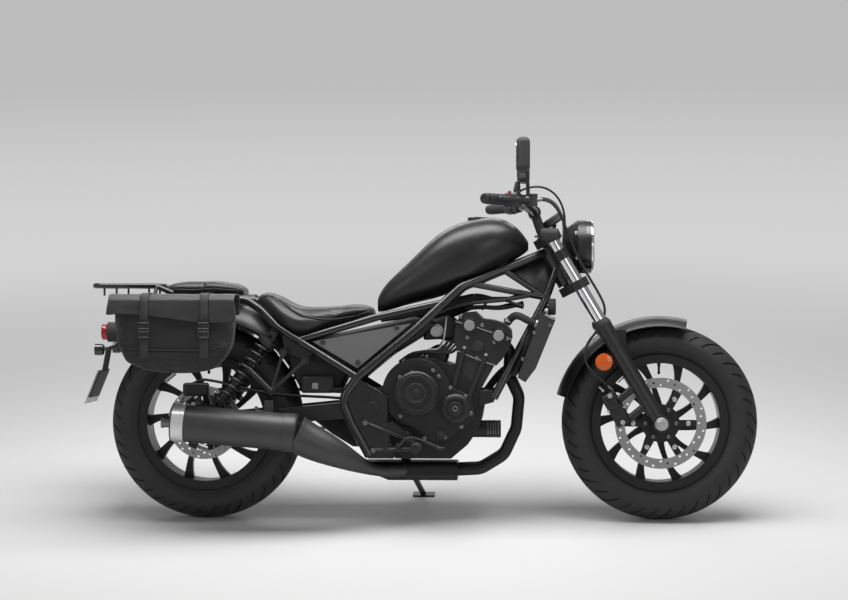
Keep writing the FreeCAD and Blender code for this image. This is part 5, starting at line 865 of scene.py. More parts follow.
    def hex_bolt(self, radius: float, height: float) -> bpy.types.Object:
        """A flanged hexagon bolt's head, standing on Z = 0."""
        flange = self.turned(((0.0, radius), (height * 0.2, radius), (height * 0.34, radius * 0.82)), 24)
        self.clear()
        bpy.ops.mesh.primitive_cylinder_add(
            vertices=6, radius=radius * 0.74, depth=height, location=(0, 0, height / 2))
        head = bpy.context.object
        bpy.ops.object.transform_apply()
        self.edit(head)
        self.pick(head, lambda centre, normal: normal.z > 0.9)
        bpy.ops.mesh.inset(thickness=radius * 0.16)
        self.sweep(-height * 0.12)
        self.close()
        self.shape(head, "BEVEL", width=radius * 0.08, segments=2, limit_method="ANGLE")
        return self.joined([flange, head])

    def joined(self, pieces: Sequence[bpy.types.Object]) -> bpy.types.Object:
        """Joins pieces into the first."""
        if len(pieces) == 1:
            return pieces[0]
        self.clear()
        for piece in pieces:
            piece.select_set(True)
        bpy.context.view_layer.objects.active = pieces[0]
        bpy.context.view_layer.update()
        bpy.ops.object.join()
        return pieces[0]

    def copies(self, model: bpy.types.Object, places: Sequence[Matrix]) -> bpy.types.Object:
        """Copies one model to many places, each with its own mesh, and joins them.

        Args:
            model: The piece that repeats.
            places: Where its copies go.

        Returns:
            The joined copies.
        """
        made = []
        for place in places:
            copy = model.copy()
            copy.data = model.data.copy()
            bpy.context.scene.collection.objects.link(copy)
            copy.matrix_world = place @ model.matrix_world
            made.append(copy)
        bpy.data.objects.remove(model)
        return self.joined(made)

    def spread(self, model: bpy.types.Object, places: Sequence[Matrix], name: str, body: str, finish: Finish,
               smooth: float = 35.0, replaces: Sequence[str] = ()) -> None:
        """Copies one model to many places and hangs the joined copies on a body."""
        self.hang(self.copies(model, places), name, body, finish, smooth, replaces)

    def lifted(self, name: str) -> bpy.types.Object:
        """A merged copy of a CAD node's mesh, in the upright frame."""
        copy = self.nodes[name].copy()
        copy.data = self.nodes[name].data.copy()
        bpy.context.scene.collection.objects.link(copy)
        for key in [key for key in copy.keys() if key.startswith("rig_")]:
            del copy[key]
        copy.data.transform(self.stance.matrix.inverted())
        self.edit(copy, "VERT")
        self.everything()
        bpy.ops.mesh.remove_doubles(threshold=0.00002)
        self.close()
        return copy

    def hang(self, piece: bpy.types.Object, name: str, body: str, finish: Finish, smooth: float = 35.0,
             replaces: Sequence[str] = ()) -> bpy.types.Object:
        """Finishes a piece, puts its place into its mesh and hangs it on a body.

        Args:
            piece: The piece, upright.
            name: Its name.
            body: The body that it moves with.
            finish: Its finish.
            smooth: Edges below this many degrees are shaded smooth.
            replaces: The CAD nodes that it stands for.

        Returns:
            The piece.
        """
        self.take(piece)
        piece.matrix_world = self.stance.matrix @ piece.matrix_world
        bpy.context.view_layer.update()
        bpy.ops.object.transform_apply(location=True, rotation=True, scale=True)
        bpy.ops.object.mode_set(mode="EDIT")
        self.everything()
        bpy.ops.mesh.remove_doubles(threshold=0.00001)
        bpy.ops.mesh.normals_make_consistent(inside=False)
        self.close()
        bpy.ops.object.shade_smooth_by_angle(angle=math.radians(smooth))
        piece.name = piece.data.name = name
        piece.data.materials.clear()
        piece.data.materials.append(finish.material())
        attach(piece, body)
        for node in replaces:
            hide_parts(node)
        LOG.info("%s on %s: %d faces", name, body, len(piece.data.polygons))
        return piece


def towards(place: Iterable[float], direction: Iterable[float], roll: Iterable[float] = (0, 0, 1)) -> Matrix:
    """A place whose Z looks along a direction.

    Args:
        place: Its origin.
        direction: Where its Z points.
        roll: What its Y leans to.

    Returns:
        The matrix.
    """
    ahead = Vector(direction).normalized()
    side = Vector(roll).cross(ahead)
    if side.length < 0.01:
        side = Vector((0.0, 1.0, 0.0)).cross(ahead)
    side.normalize()
    matrix = Matrix((side, ahead.cross(side), ahead)).transposed().to_4x4()
    matrix.translation = Vector(place)
    return matrix


def side_face(along: float, up: float, across: float) -> Matrix:
    """A place on the right side whose Z looks out to the right, given in metres."""
    return towards((along, across, up), (0.0, -1.0, 0.0))


def both(along: float, across: float, up: float) -> list[Matrix]:
    """The same place on the right and on the left, each with its Z outwards."""
    return [towards((along, side * across, up), (0.0, side, 0.0)) for side in (-1, 1)]


def circle(count: int, radius: float = 1.0, start: float = 0.0) -> list[tuple[float, float]]:
    """Points round a circle.

    Args:
        count: How many.
        radius: The circle's radius.
        start: The first point's turn, as a share of one step.

    Returns:
        Both coordinates of each point.
    """
    turns = [2 * math.pi * (index + start) / count for index in range(count)]
    return [(radius * math.cos(turn), radius * math.sin(turn)) for turn in turns]


def mirrored(places: Sequence[Matrix]) -> list[Matrix]:
    """The same places on the other side of the motorcycle as well."""
    flip = Matrix.Scale(-1.0, 4, (0.0, 1.0, 0.0))
    turn = Matrix.Scale(-1.0, 4, (1.0, 0.0, 0.0))
    return [*places, *(flip @ place @ turn for place in places)]


def standing(across: float) -> Matrix:
    """A place that stands a plate's outline up along the motorcycle, at one distance across."""
    return Matrix(((1, 0, 0, 0), (0, 0, -1, across), (0, 1, 0, 0), (0, 0, 0, 1)))


@dataclass
class Tyre:
    """A road tyre: crown, shoulders, sidewalls and slanted grooves pressed into the tread."""

    name: str
    body: str
    axle: Vector
    radius: float
    half_width: float
    bead_half: float
    bead_radius: float = 0.2224
    columns: int = 160
    pitch: int = 8
    lean_deg: float = 13.0
    groove_depth: float = 0.0045
    groove_edge: float = 0.0012
    short_start: int = 4

    def section(self) -> list[tuple[float, float]]:
        """Radius and width of the outer skin from one bead to the other."""
        depth = self.radius - self.bead_radius
        shares = ((0.0, self.bead_half / self.half_width), (0.10, 0.86), (0.16, 0.88), (0.19, 0.93), (0.30, 0.985),
                  (0.42, 1.0), (0.52, 0.985), (0.58, 0.955), (0.66, 0.88), (0.76, 0.755), (0.855, 0.58),
                  (0.925, 0.41), (0.972, 0.235), (0.995, 0.07))
        right = [(self.bead_radius + depth * rise, self.half_width * width) for rise, width in shares]
        return right + [(radius, -across) for radius, across in reversed(right)]

    def carcass(self, bench: Bench) -> bpy.types.Object:
        """Spins the section about the axle and twists the tread's columns."""
        skin = self.section()
        inner = [(self.bead_radius - 0.012, -self.bead_half), (self.bead_radius - 0.012, self.bead_half)]
        ring = skin + inner
        bench.clear()
        bpy.ops.mesh.primitive_circle_add(vertices=len(ring), radius=0.1, fill_type="NOTHING")
        piece = bpy.context.object
        for vertex, (radius, across) in zip(piece.data.vertices, ring):
            vertex.co = (0.0, across, radius)
        bench.edit(piece, "VERT")
        bench.everything()
        bpy.ops.mesh.spin(steps=self.columns, angle=2 * math.pi, center=(0, 0, 0), axis=(0, 1, 0))
        bench.everything()
        bpy.ops.mesh.remove_doubles(threshold=0.0001)
        bench.outwards()
        for vertex in piece.data.vertices:
            turn = math.radians(self.lean_deg) * (1.0 - abs(vertex.co.y) / self.half_width)
            vertex.co.rotate(Matrix.Rotation(turn, 3, "Y"))
        return piece

    def grooved(self, bench: Bench, piece: bpy.types.Object) -> None:
        """Presses the tread's grooves and the sidewall's fine ribs.

        Args:
            bench: Where it is modelled.
            piece: The carcass.
        """
        step = 2 * math.pi / self.columns
        lean = math.radians(self.lean_deg)
        tread = self.bead_radius + (self.radius - self.bead_radius) * 0.60

        def column(centre: Vector) -> int:
            """Which column of faces a centre lies in."""
            turn = math.atan2(centre.x, centre.z) - lean * (1.0 - abs(centre.y) / self.half_width)
            return int(math.floor(turn / step)) % self.pitch

        def long_groove(centre: Vector, normal: Vector) -> bool:
            """The long grooves, set half a pitch apart from side to side."""
            radius = math.hypot(centre.x, centre.z)
            offset = 0 if centre.y > 0 else self.pitch // 2
            return radius > tread and abs(centre.y) > self.half_width * 0.1 and column(centre) == offset

        def short_groove(centre: Vector, normal: Vector) -> bool:
            """The short grooves between them, near the shoulder."""
            radius = math.hypot(centre.x, centre.z)
            offset = self.short_start + (0 if centre.y > 0 else self.pitch // 2)
            near = self.half_width * 0.5 < abs(centre.y) < self.half_width * 0.93
            return radius > tread - 0.004 and near and column(centre) == offset % self.pitch

        bench.edit(piece)
        for test in (long_groove, short_groove):
            bench.pick(piece, test)
            bpy.ops.mesh.inset(thickness=self.groove_edge)
            bpy.ops.mesh.extrude_region_shrink_fatten(
                TRANSFORM_OT_shrink_fatten={"value": -self.groove_depth, "use_even_offset": False})
        low, high = self.bead_radius + 0.012, self.bead_radius + 0.019
        bench.pick(piece, lambda centre, normal: low < math.hypot(centre.x, centre.z) < high)
        bpy.ops.mesh.inset(thickness=self.groove_edge)
        bpy.ops.mesh.extrude_region_shrink_fatten(TRANSFORM_OT_shrink_fatten={"value": 0.0009})
        bench.close()

    def build(self, bench: Bench, finish: Finish) -> None:
        """Builds the tyre on its axle in place of the CAD ring."""
        piece = self.carcass(bench)
        self.grooved(bench, piece)
        bench.shape(piece, "BEVEL", width=0.0006, segments=1, limit_method="ANGLE", angle_limit=0.8)
        piece.matrix_world = Matrix.Translation(self.axle)
        bench.hang(piece, self.name + "_tread", self.body, finish, 40.0, [self.name])


@dataclass
class SoftPad:
    """A padded piece that starts as its CAD solid and is filled like a cushion."""

    node: str
    voxel: float = 0.0055
    shrink: float = 0.003
    pressure: float = 3.0
    cap: float = 0.008
    rounds: int = 6
    frames: int = 14

    def skin(self, bench: Bench) -> bpy.types.Object:
        """The solid's own skin in even faces, a little smaller."""
        piece = bench.lifted(self.node)
        bench.shape(piece, "REMESH", mode="VOXEL", voxel_size=self.voxel, adaptivity=0.0)
        bench.shape(piece, "SMOOTH", factor=0.5, iterations=self.rounds)
        bench.edit(piece, "VERT")
        bench.everything()
        bpy.ops.transform.shrink_fatten(value=-self.shrink)
        bench.close()
        return piece

    def inflated(self, bench: Bench, piece: bpy.types.Object, held: Callable[[Vector], float]) -> None:
        """Fills the skin with air by a short cloth run, held back where it is sewn down.

        Args:
            bench: Where it is modelled.
            piece: The skin.
            held: From 0, free, to 1, fast, by the place of a point.
        """
        start = [vertex.co.copy() for vertex in piece.data.vertices]
        bench.take(piece)
        cloth = piece.modifiers.new("cloth", "CLOTH")
        cloth.settings.use_pressure = True
        cloth.settings.uniform_pressure_force = self.pressure
        cloth.settings.quality = 4
        cloth.settings.mass = 0.4
        cloth.settings.effector_weights.gravity = 0.0
        cloth.point_cache.frame_start, cloth.point_cache.frame_end = 1, self.frames
        for number in range(1, self.frames + 1):
            bpy.context.scene.frame_set(number)
        bpy.ops.object.modifier_apply(modifier="cloth")
        bpy.context.scene.frame_set(1)
        for vertex, before in zip(piece.data.vertices, start):
            move = vertex.co - before
            reach = self.cap * (1.0 - held(before))
            if move.length > reach:
                move = move.normalized() * reach if move.length > 1e-9 else Vector()
            vertex.co = before + move

    def sewn(self, piece: bpy.types.Object, seams: Sequence[Sequence[Vector]], width: float, depth: float) -> None:
        """Draws the skin in along its seams.

        Args:
            piece: The skin.
            seams: Points of each seam, close together.
            width: How far a seam pulls.
            depth: How deep it pulls.
        """
        tree = KDTree(sum(len(seam) for seam in seams))
        for index, point in enumerate(point for seam in seams for point in seam):
            tree.insert(point, index)
        tree.balance()
        for vertex in piece.data.vertices:
            distance = tree.find(vertex.co)[2]
            if distance < width:
                vertex.co -= vertex.normal * depth * (0.5 + 0.5 * math.cos(math.pi * distance / width))


def traced(piece: bpy.types.Object, points: Sequence[Vector], lift: float, step: float = 0.006) -> list[Vector]:
    """Lays a line of points onto a piece's skin.

    Args:
        piece: The piece.
        points: Corners of the line, near the skin.
        lift: How far off the skin it lies.
        step: Distance between the points.

    Returns:
        The line's points on the skin.
    """
    route = []
    for start, end in zip(points, points[1:]):
        count = max(1, round((end - start).length / step))
        route += [start.lerp(end, index / count) for index in range(count)]
    route.append(points[-1])
    laid = []
    for point in route:
        found, place, normal, face = piece.closest_point_on_mesh(point)
        laid.append(place + normal * lift if found else point)
    for _ in range(3):
        laid = [laid[0]] + [(a + b * 2 + c) / 4 for a, b, c in zip(laid, laid[1:], laid[2:])] + [laid[-1]]
    return laid


@dataclass
class Seats:
    """Rider's saddle and pillion pad with their piping."""

    piping: float = 0.0022
    edge_stations: tuple[float, ...] = (
        -0.560, -0.545, -0.52, -0.49, -0.45, -0.41, -0.37, -0.33, -0.29, -0.25, -0.215, -0.197)
    edge_heights: tuple[float, ...] = (
        0.722, 0.738, 0.735, 0.716, 0.690, 0.672, 0.662, 0.658, 0.660, 0.668, 0.680, 0.688)

    def saddle(self, bench: Bench) -> None:
        """Builds the rider's saddle: a crowned top panel sewn to its side band."""
        pad = SoftPad("rider_seat", cap=0.007)
        piece = pad.skin(bench)
        edge = self.saddle_edge(piece)
        pad.inflated(bench, piece, lambda point: 1.0 if point.z < 0.60 else 0.0)
        seams = [traced(piece, edge, 0.0), traced(piece, [Vector((p.x, -p.y, p.z)) for p in edge], 0.0)]
        pad.sewn(piece, seams, 0.010, 0.0035)
        bench.shape(piece, "SUBSURF", levels=1, render_levels=1)
        seat = bench.hang(piece, "saddle", "chassis", Finishes.vinyl, 60.0, ["rider_seat"])
        for side, seam in zip(Side, seams):
            cord = bench.drawn([tuple(point) for point in seam], self.piping, sides=2, steps=2)
            bench.hang(cord, f"saddle_piping_{side.label}", "chassis", Finishes.piping, 60.0)

    def saddle_edge(self, piece: bpy.types.Object) -> list[Vector]:
        """The seam between top and side on the right, as far out as the skin goes."""
        edge = []
        for along, up in zip(self.edge_stations, self.edge_heights):
            hit, place, normal, face = piece.ray_cast(Vector((along, -0.4, up)), Vector((0, 1, 0)))
            if hit and place.y < -0.01:
                edge.append(place)
        return edge

    def pillion(self, bench: Bench) -> None:
        """Builds the pillion pad: a long cushion with a welt and two cross seams."""
        pad = SoftPad("pillion_seat", voxel=0.0045, cap=0.005, shrink=0.002)
        piece = pad.skin(bench)
        pad.inflated(bench, piece, lambda point: 1.0 if point.z < 0.742 else 0.0)
        rear, front = -0.882, -0.614
        belt = [Vector((x, -0.2, 0.748)) for x in (rear, rear + 0.03, -0.75, front - 0.03, front)]
        seams = [traced(piece, belt, 0.0), traced(piece, [Vector((p.x, -p.y, p.z)) for p in belt], 0.0)]
        cross = [[Vector((x, y, 0.79)) for y in (-0.09, -0.05, 0.0, 0.05, 0.09)] for x in (-0.675, -0.662)]
        cross = [traced(piece, line, 0.0) for line in cross]
        pad.sewn(piece, [*seams, *cross], 0.008, 0.0025)
        bench.shape(piece, "SUBSURF", levels=1, render_levels=1)
        cushion = bench.hang(piece, "pillion_pad", "chassis", Finishes.vinyl, 60.0, ["pillion_seat"])
        for side, seam in zip(Side, seams):
            cord = bench.drawn([tuple(point) for point in seam], self.piping * 0.8, sides=2, steps=2)
            bench.hang(cord, f"pillion_piping_{side.label}", "chassis", Finishes.piping, 60.0)

    def build(self, bench: Bench) -> None:
        """Builds both seats."""
        self.saddle(bench)
        self.pillion(bench)


@dataclass
class Saddlebag:
    """One soft pannier: sagging body, rolled flap, webbing straps and their buckles."""

    side: Side
    front: float = -0.624
    length: float = 0.382
    base: float = 0.490
    height: float = 0.242
    inner: float = 0.182
    depth: float = 0.128
    flap_skin: float = 0.0035
    strap_width: float = 0.026
    strap_skin: float = 0.0022
    strap_places: tuple[float, float] = (-0.903, -0.712)

    def across(self, distance: float) -> float:
        """A distance from the middle, on this bag's side."""
        return self.side.value * distance

    def body(self, bench: Bench) -> bpy.types.Object:
        """The stuffed body, drawn in where its panels are sewn."""
        pad = SoftPad(f"saddlebag_{self.side.label}", voxel=0.006, shrink=0.004, cap=0.009, pressure=3.5)
        piece = pad.skin(bench)
        pad.inflated(bench, piece, lambda point: 0.8 if abs(point.y) < self.inner + 0.01 else 0.0)
        outer = self.across(self.inner + self.depth + 0.02)
        rear = self.front - self.length
        belt = [Vector((rear + 0.03, outer, 0.566)), Vector((rear + 0.16, outer, 0.562)),
                Vector((self.front - 0.1, outer, 0.562)), Vector((self.front - 0.02, outer, 0.572))]
        seam = traced(piece, belt, 0.0)
        pad.sewn(piece, [seam], 0.009, 0.003)
        for vertex in piece.data.vertices:
            place = vertex.co
            ripple = math.sin(place.x * 31.0 + place.z * 17.0) * math.sin(place.z * 43.0 - place.x * 13.0)
            vertex.co = place + vertex.normal * 0.0012 * ripple
        bench.shape(piece, "SUBSURF", levels=1, render_levels=1)
        piece = bench.hang(
            piece, f"bag_body_{self.side.label}", "chassis", Finishes.canvas, 60.0, [f"saddlebag_{self.side.label}"])
        welt = bench.drawn([tuple(point) for point in seam], 0.0016, sides=2, steps=2)
        bench.hang(welt, f"bag_welt_{self.side.label}", "chassis", Finishes.bag_edge, 60.0)
        return piece

    def flap(self, bench: Bench) -> None:
        """The flap: one sheet from behind, over the top and down the front, with a wavy hem."""
        rear, front = self.front - self.length - 0.012, self.front + 0.008
        top, outer = self.base + self.height, self.inner + self.depth
        line = (
            (self.inner - 0.001, top - 0.060), (self.inner - 0.002, top - 0.012), (self.inner + 0.008, top + 0.0055),
            (self.inner + 0.05, top + 0.0075), (outer - 0.035, top + 0.0065), (outer - 0.004, top + 0.002),
            (outer + 0.0065, top - 0.012), (outer + 0.0085, top - 0.035), (outer + 0.009, top - 0.068))
        bench.clear()
        bpy.ops.mesh.primitive_grid_add(x_subdivisions=36, y_subdivisions=32, size=1.0)
        sheet = bpy.context.object
        for vertex in sheet.data.vertices:
            share, run = vertex.co.x + 0.5, (vertex.co.y + 0.5) * (len(line) - 1)
            index = min(int(run), len(line) - 2)
            part = run - index
            (y0, z0), (y1, z1) = line[index], line[index + 1]
            across, up = y0 + (y1 - y0) * part, z0 + (z1 - z0) * part
            along = rear + (front - rear) * share
            drop = max(0.0, run - 6.0) / 2.0
            hem = 0.009 * math.sin(share * 5.2 + 0.6) - 0.014 * share + 0.005
            strap = min(abs(along - place) for place in self.strap_places)
            pull = 0.0035 * math.exp(-(strap / 0.02) ** 2)
            crease = 0.0016 * math.sin(along * 61.0 + up * 35.0) * math.sin(along * 23.0 - up * 77.0)
            flare = 0.006 * drop * (1.0 - math.exp(-(strap / 0.035) ** 2))
            end = 0.006 * drop * (1 if share > 0.5 else -1) * abs(share * 2 - 1) ** 6
            vertex.co = (along + end, self.across(across + (flare - pull) * min(1.0, run / 6.0) + crease * drop),
                         up + hem * drop + crease * 0.6)
        bench.shape(sheet, "SUBSURF", levels=1, render_levels=1)
        bench.shape(sheet, "SOLIDIFY", thickness=self.flap_skin, offset=0.0)
        bench.shape(sheet, "BEVEL", width=0.0008, segments=2, limit_method="ANGLE", angle_limit=1.0)
        sheet = bench.hang(sheet, f"bag_flap_{self.side.label}", "chassis", Finishes.flap, 50.0)

    def straps(self, bench: Bench) -> None:
        """Two straps over the flap, each with its side-release buckle and loose tail."""
        top, outer = self.base + self.height, self.inner + self.depth
        for index, place in enumerate(self.strap_places):
            tag = f"{self.side.label}_{index + 1}"
            upper = ((self.inner - 0.004, top - 0.050), (self.inner - 0.004, top - 0.006),
                     (self.inner + 0.010, top + 0.0105), (outer - 0.03, top + 0.0112), (outer + 0.001, top + 0.006),
                     (outer + 0.0108, top - 0.012), (outer + 0.0118, top - 0.05), (outer + 0.0135, top - 0.083))
            lower = ((outer + 0.0125, top - 0.128), (outer + 0.0110, top - 0.150), (outer + 0.0095, top - 0.195))
            for part, line in (("strap", upper), ("tail", lower)):
                self.webbing(bench, place, line, f"bag_{part}_{tag}")
            self.buckle(bench, place, outer + 0.0145, top - 0.106, f"bag_buckle_{tag}")

    def webbing(self, bench: Bench, place: float, line: Sequence[tuple[float, float]], name: str) -> None:
        """One run of flat webbing.

        Args:
            bench: Where it is modelled.
            place: Its middle along the motorcycle.
            line: Distance out and height of its points.
            name: The run's name.
        """
        bench.clear()
        bpy.ops.mesh.primitive_plane_add(size=1.0)
        strap = bpy.context.object
        half = self.strap_width / 2
        corners = [(place - half, line[0]), (place + half, line[0]), (place - half, line[1]), (place + half, line[1])]
        for vertex, (along, (out, up)) in zip(strap.data.vertices, corners):
            vertex.co = (along, self.across(out), up)
        bench.edit(strap, "EDGE")
        for (out0, up0), (out1, up1) in zip(line[1:], line[2:]):
            bpy.ops.mesh.select_all(action="DESELECT")
            mesh = bmesh.from_edit_mesh(strap.data)
            end = Vector((place, self.across(out0), up0))
            for edge in mesh.edges:
                middle = (edge.verts[0].co + edge.verts[1].co) / 2
                edge.select_set((middle - end).length < 0.0005)
            bmesh.update_edit_mesh(strap.data)
            bench.sweep(up1 - up0, across=self.across(out1) - self.across(out0))
        bench.close()
        bench.shape(strap, "BEVEL", width=0.006, segments=4, affect="EDGES", limit_method="ANGLE", angle_limit=0.1)
        bench.shape(strap, "SOLIDIFY", thickness=self.strap_skin, offset=0.0)
        bench.shape(strap, "BEVEL", width=0.0005, segments=1, limit_method="ANGLE", angle_limit=0.9)
        bench.hang(strap, name, "chassis", Finishes.webbing, 50.0)

    def buckle(self, bench: Bench, place: float, out: float, up: float, name: str) -> None:
        """A side-release buckle: a frame for each half, the bar and the two prongs."""
        wide, tall = self.strap_width * 0.68, 0.024
        shape = (
            (-wide, -tall), (wide, -tall), (wide * 1.06, -tall * 0.3), (wide * 0.86, 0.0), (wide * 1.06, tall * 0.3),
            (wide, tall * 0.86), (wide * 0.8, tall), (-wide * 0.8, tall), (-wide, tall * 0.86),
            (-wide * 1.06, tall * 0.3), (-wide * 0.86, 0.0), (-wide * 1.06, -tall * 0.3))
        face = towards((place, self.across(out), up), (0.0, self.across(1.0), 0.0))
        body = bench.plate(shape, 0.006, 0.0014)
        bench.edit(body)
        bench.pick(body, lambda centre, normal: abs(normal.z) > 0.9)
        bpy.ops.mesh.inset(thickness=0.0035)
        bench.sweep(0.0)
        bpy.ops.transform.resize(value=(1.0, 1.0, 0.45), center_override=(0.0, 0.0, 0.0))
        bench.close()
        parts = [body]
        for height in (-tall * 0.98, -0.006, 0.004, tall * 0.94):
            bar = bench.drawn(
                ((-wide * 0.95, height, 0.0025), (0.0, height, 0.0032), (wide * 0.95, height, 0.0025)), 0.0022)
            parts.append(bar)
        whole = bench.joined(parts)
        whole.matrix_world = face
        bench.hang(whole, name, "chassis", Finishes.buckle, 35.0)

    def build(self, bench: Bench) -> None:
        """Builds the bag."""
        self.body(bench)
        self.flap(bench)
        self.straps(bench)


@dataclass
class Engine:
    """What stands on the engine's castings: bolts, bosses, rings, gaskets and hoses."""

    body: str = "chassis"
    flange_y: float = 0.1405
    flange_bolts: Outline = (
        (0.008, 0.493), (0.026, 0.474), (0.064, 0.437), (0.112, 0.410), (0.130, 0.355), (0.100, 0.312),
        (0.046, 0.278), (-0.020, 0.274), (-0.078, 0.290), (-0.098, 0.345), (-0.100, 0.470), (-0.060, 0.486))
    clutch: tuple[float, float, float] = (-0.045, 0.421, 0.1962)
    crank: tuple[float, float, float] = (0.081, 0.372, 0.1842)
    head_y: float = 0.1225
    head_bolts: Outline = (
        (0.095, 0.668), (0.118, 0.600), (0.205, 0.585), (0.248, 0.596), (0.166, 0.640), (0.150, 0.532))
    boss: Outline = ((0.127, 0.559), (0.167, 0.554), (0.173, 0.580), (0.148, 0.592))
    tube_tops: Outline = ((0.108, 0.564), (0.178, 0.541))
    filler_steps: Outline = (
        (0.0, 0.0155), (0.007, 0.0155), (0.0085, 0.0140), (0.0085, 0.0085), (0.012, 0.0080), (0.0128, 0.0066))
    joint_lines: tuple[Outline, ...] = (
        ((0.079, 0.652), (0.100, 0.646), (0.142, 0.635), (0.188, 0.619), (0.236, 0.603), (0.262, 0.594)),
        ((0.086, 0.556), (0.120, 0.541), (0.165, 0.524), (0.210, 0.508)))
    bolt_axis: Point = (0.27, 0.0, 0.963)
    tube_y: float = 0.116
    groove_steps: Outline = ((0.0, 0.0150), (0.0012, 0.0150), (0.0020, 0.0142), (0.0020, 0.0080), (0.0008, 0.0072))
    clamp_steps: Outline = ((-0.005, 0.0140), (-0.005, 0.0146), (0.005, 0.0146), (0.005, 0.0140))
    drum_steps: Outline = (
        (0.0, 0.0175), (0.003, 0.0185), (0.006, 0.0185), (0.008, 0.0165), (0.008, 0.0120), (0.005, 0.0110),
        (0.005, 0.0055), (0.0095, 0.0050))
    drum_at: Point = (0.0145, 0.6195, -0.092)
    hose_routes: dict[str, tuple[float, Finish, tuple[Point, ...]]] = field(default_factory=lambda: {
        "coolant_hose": (0.0125, Finishes.rubber, ((0.352, -0.104, 0.640), (0.318, -0.104, 0.652),
                         (0.285, -0.096, 0.672), (0.262, -0.080, 0.668), (0.246, -0.072, 0.645))),
        "return_hose": (0.0125, Finishes.rubber, ((0.285, 0.105, 0.505), (0.250, 0.118, 0.500), (0.215, 0.132, 0.470),
                        (0.185, 0.134, 0.430), (0.165, 0.122, 0.405))),
        "breather_hose": (0.0075, Finishes.rubber, ((0.10, 0.05, 0.682), (0.07, 0.06, 0.700), (0.02, 0.06, 0.690),
                          (-0.03, 0.05, 0.655), (-0.06, 0.04, 0.610))),
        "throttle_cable_run": (0.0028, Finishes.steel, ((0.050, -0.104, 0.665), (0.048, -0.112, 0.640),
                               (0.043, -0.114, 0.598), (0.034, -0.110, 0.572), (0.014, -0.104, 0.558),
                               (-0.010, -0.100, 0.562))),
        "wiring_loom": (0.0062, Finishes.rubber, ((0.32, -0.07, 0.735), (0.25, -0.085, 0.722), (0.18, -0.092, 0.716),
                        (0.10, -0.095, 0.708), (0.04, -0.10, 0.690), (-0.02, -0.105, 0.655), (-0.07, -0.10, 0.60))),
        "plug_lead": (0.004, Finishes.rubber, ((0.165, -0.03, 0.690), (0.175, -0.05, 0.716), (0.21, -0.07, 0.724),
                      (0.26, -0.08, 0.716), (0.30, -0.085, 0.70))),
    })
    clamp_ends: tuple[tuple[Point, Point], ...] = (
        ((0.343, -0.104, 0.643), (-0.95, 0.0, 0.3)), ((0.250, -0.074, 0.653), (0.3, 0.1, 0.95)),
        ((0.274, 0.109, 0.504), (-0.95, 0.3, -0.1)), ((0.172, 0.127, 0.415), (0.4, 0.3, 0.85)))
    cam_caps_at: Outline = ((0.1249, 0.6390), (0.2200, 0.6060))

    def covers(self, bench: Bench) -> None:
        """Bolts round the clutch and crank covers, with their raised rings and caps."""
        places = [side_face(along, up, -self.flange_y) for along, up in self.flange_bolts]
        bench.spread(bench.hex_bolt(0.0068, 0.006), places, "cover_bolts_right", self.body, Finishes.dark_steel)
        for name, (along, up, out), radius in (("clutch_ring", self.clutch, 0.030), ("crank_ring", self.crank, 0.0195)):
            ring = bench.turned(
                ((0.0, radius * 1.12), (0.0022, radius * 1.12), (0.0034, radius * 1.04), (0.0034, radius * 0.9),
                    (0.0012, radius * 0.84), (0.0012, radius * 0.42), (0.0036, radius * 0.38),
                    (0.0042, radius * 0.30)), 48)
            bench.spread(ring, [side_face(along, up, -out)], name, self.body, Finishes.engine_paint, 40.0)
        seat = bench.cap_screw(0.0095, 0.0044)
        seat.matrix_world = side_face(self.crank[0], self.crank[1], -self.crank[2] - 0.0012)
        bench.hang(seat, "timing_plug", self.body, Finishes.dark_steel)
        filler = bench.turned(self.filler_steps, 14)
        bench.spread(
            filler, [side_face(0.034, 0.287, -self.flange_y)], "oil_filler_cap", self.body, Finishes.black_plastic,
            30.0)

    def head(self, bench: Bench) -> None:
        """The head's joint lines, boss, bolts and the rings round the cam caps."""
        face = self.head_y
        for index, line in enumerate(self.joint_lines):
            bead = bench.drawn(
                [(along, -face + 0.0016 + 0.003 * index, up) for along, up in line], 0.0016, smooth=False)
            bench.hang(bead, f"head_joint_{index + 1}", self.body, Finishes.gasket)
        boss = bench.plate(self.boss, 0.012, 0.0025, standing(-0.1195))
        bench.hang(boss, "head_boss", self.body, Finishes.block_paint)
        places = [side_face(along, up, -face + 0.0015) for along, up in self.head_bolts]
        bench.spread(bench.hex_bolt(0.0062, 0.0055), places, "head_bolts_right", self.body, Finishes.dark_steel)
        tops = [towards((along, across, high), self.bolt_axis) for across in (-self.tube_y, self.tube_y)
                for along, high in self.tube_tops]
        bench.spread(bench.hex_bolt(0.0082, 0.008), tops, "cylinder_bolts", self.body, Finishes.steel)
        rings = [place for along, high in self.cam_caps_at for place in both(along, 0.1295, high)]
        bench.spread(bench.turned(self.groove_steps, 32), rings, "cam_cap_faces", self.body, Finishes.cap_alloy, 40.0)

    def left(self, bench: Bench) -> None:
        """Bolts of the alternator and sprocket covers."""
        places = [towards((self.crank[0] + along, self.flange_y, self.crank[1] + up), (0.0, 1.0, 0.0))
                  for along, up in circle(8, 0.078, 0.5)]
        bench.spread(bench.hex_bolt(0.0066, 0.006), places, "cover_bolts_left", self.body, Finishes.dark_steel)

    def hoses(self, bench: Bench) -> None:
        """Coolant, breather and throttle hoses, with the clamps on their ends."""
        for name, (radius, finish, points) in self.hose_routes.items():
            bench.hang(bench.drawn(points, radius), name, self.body, finish, 60.0)
        clamp = bench.turned(self.clamp_steps, 28)
        ends = [towards(place, way) for place, way in self.clamp_ends]
        bench.spread(clamp, ends, "hose_clamps", self.body, Finishes.steel, 40.0)

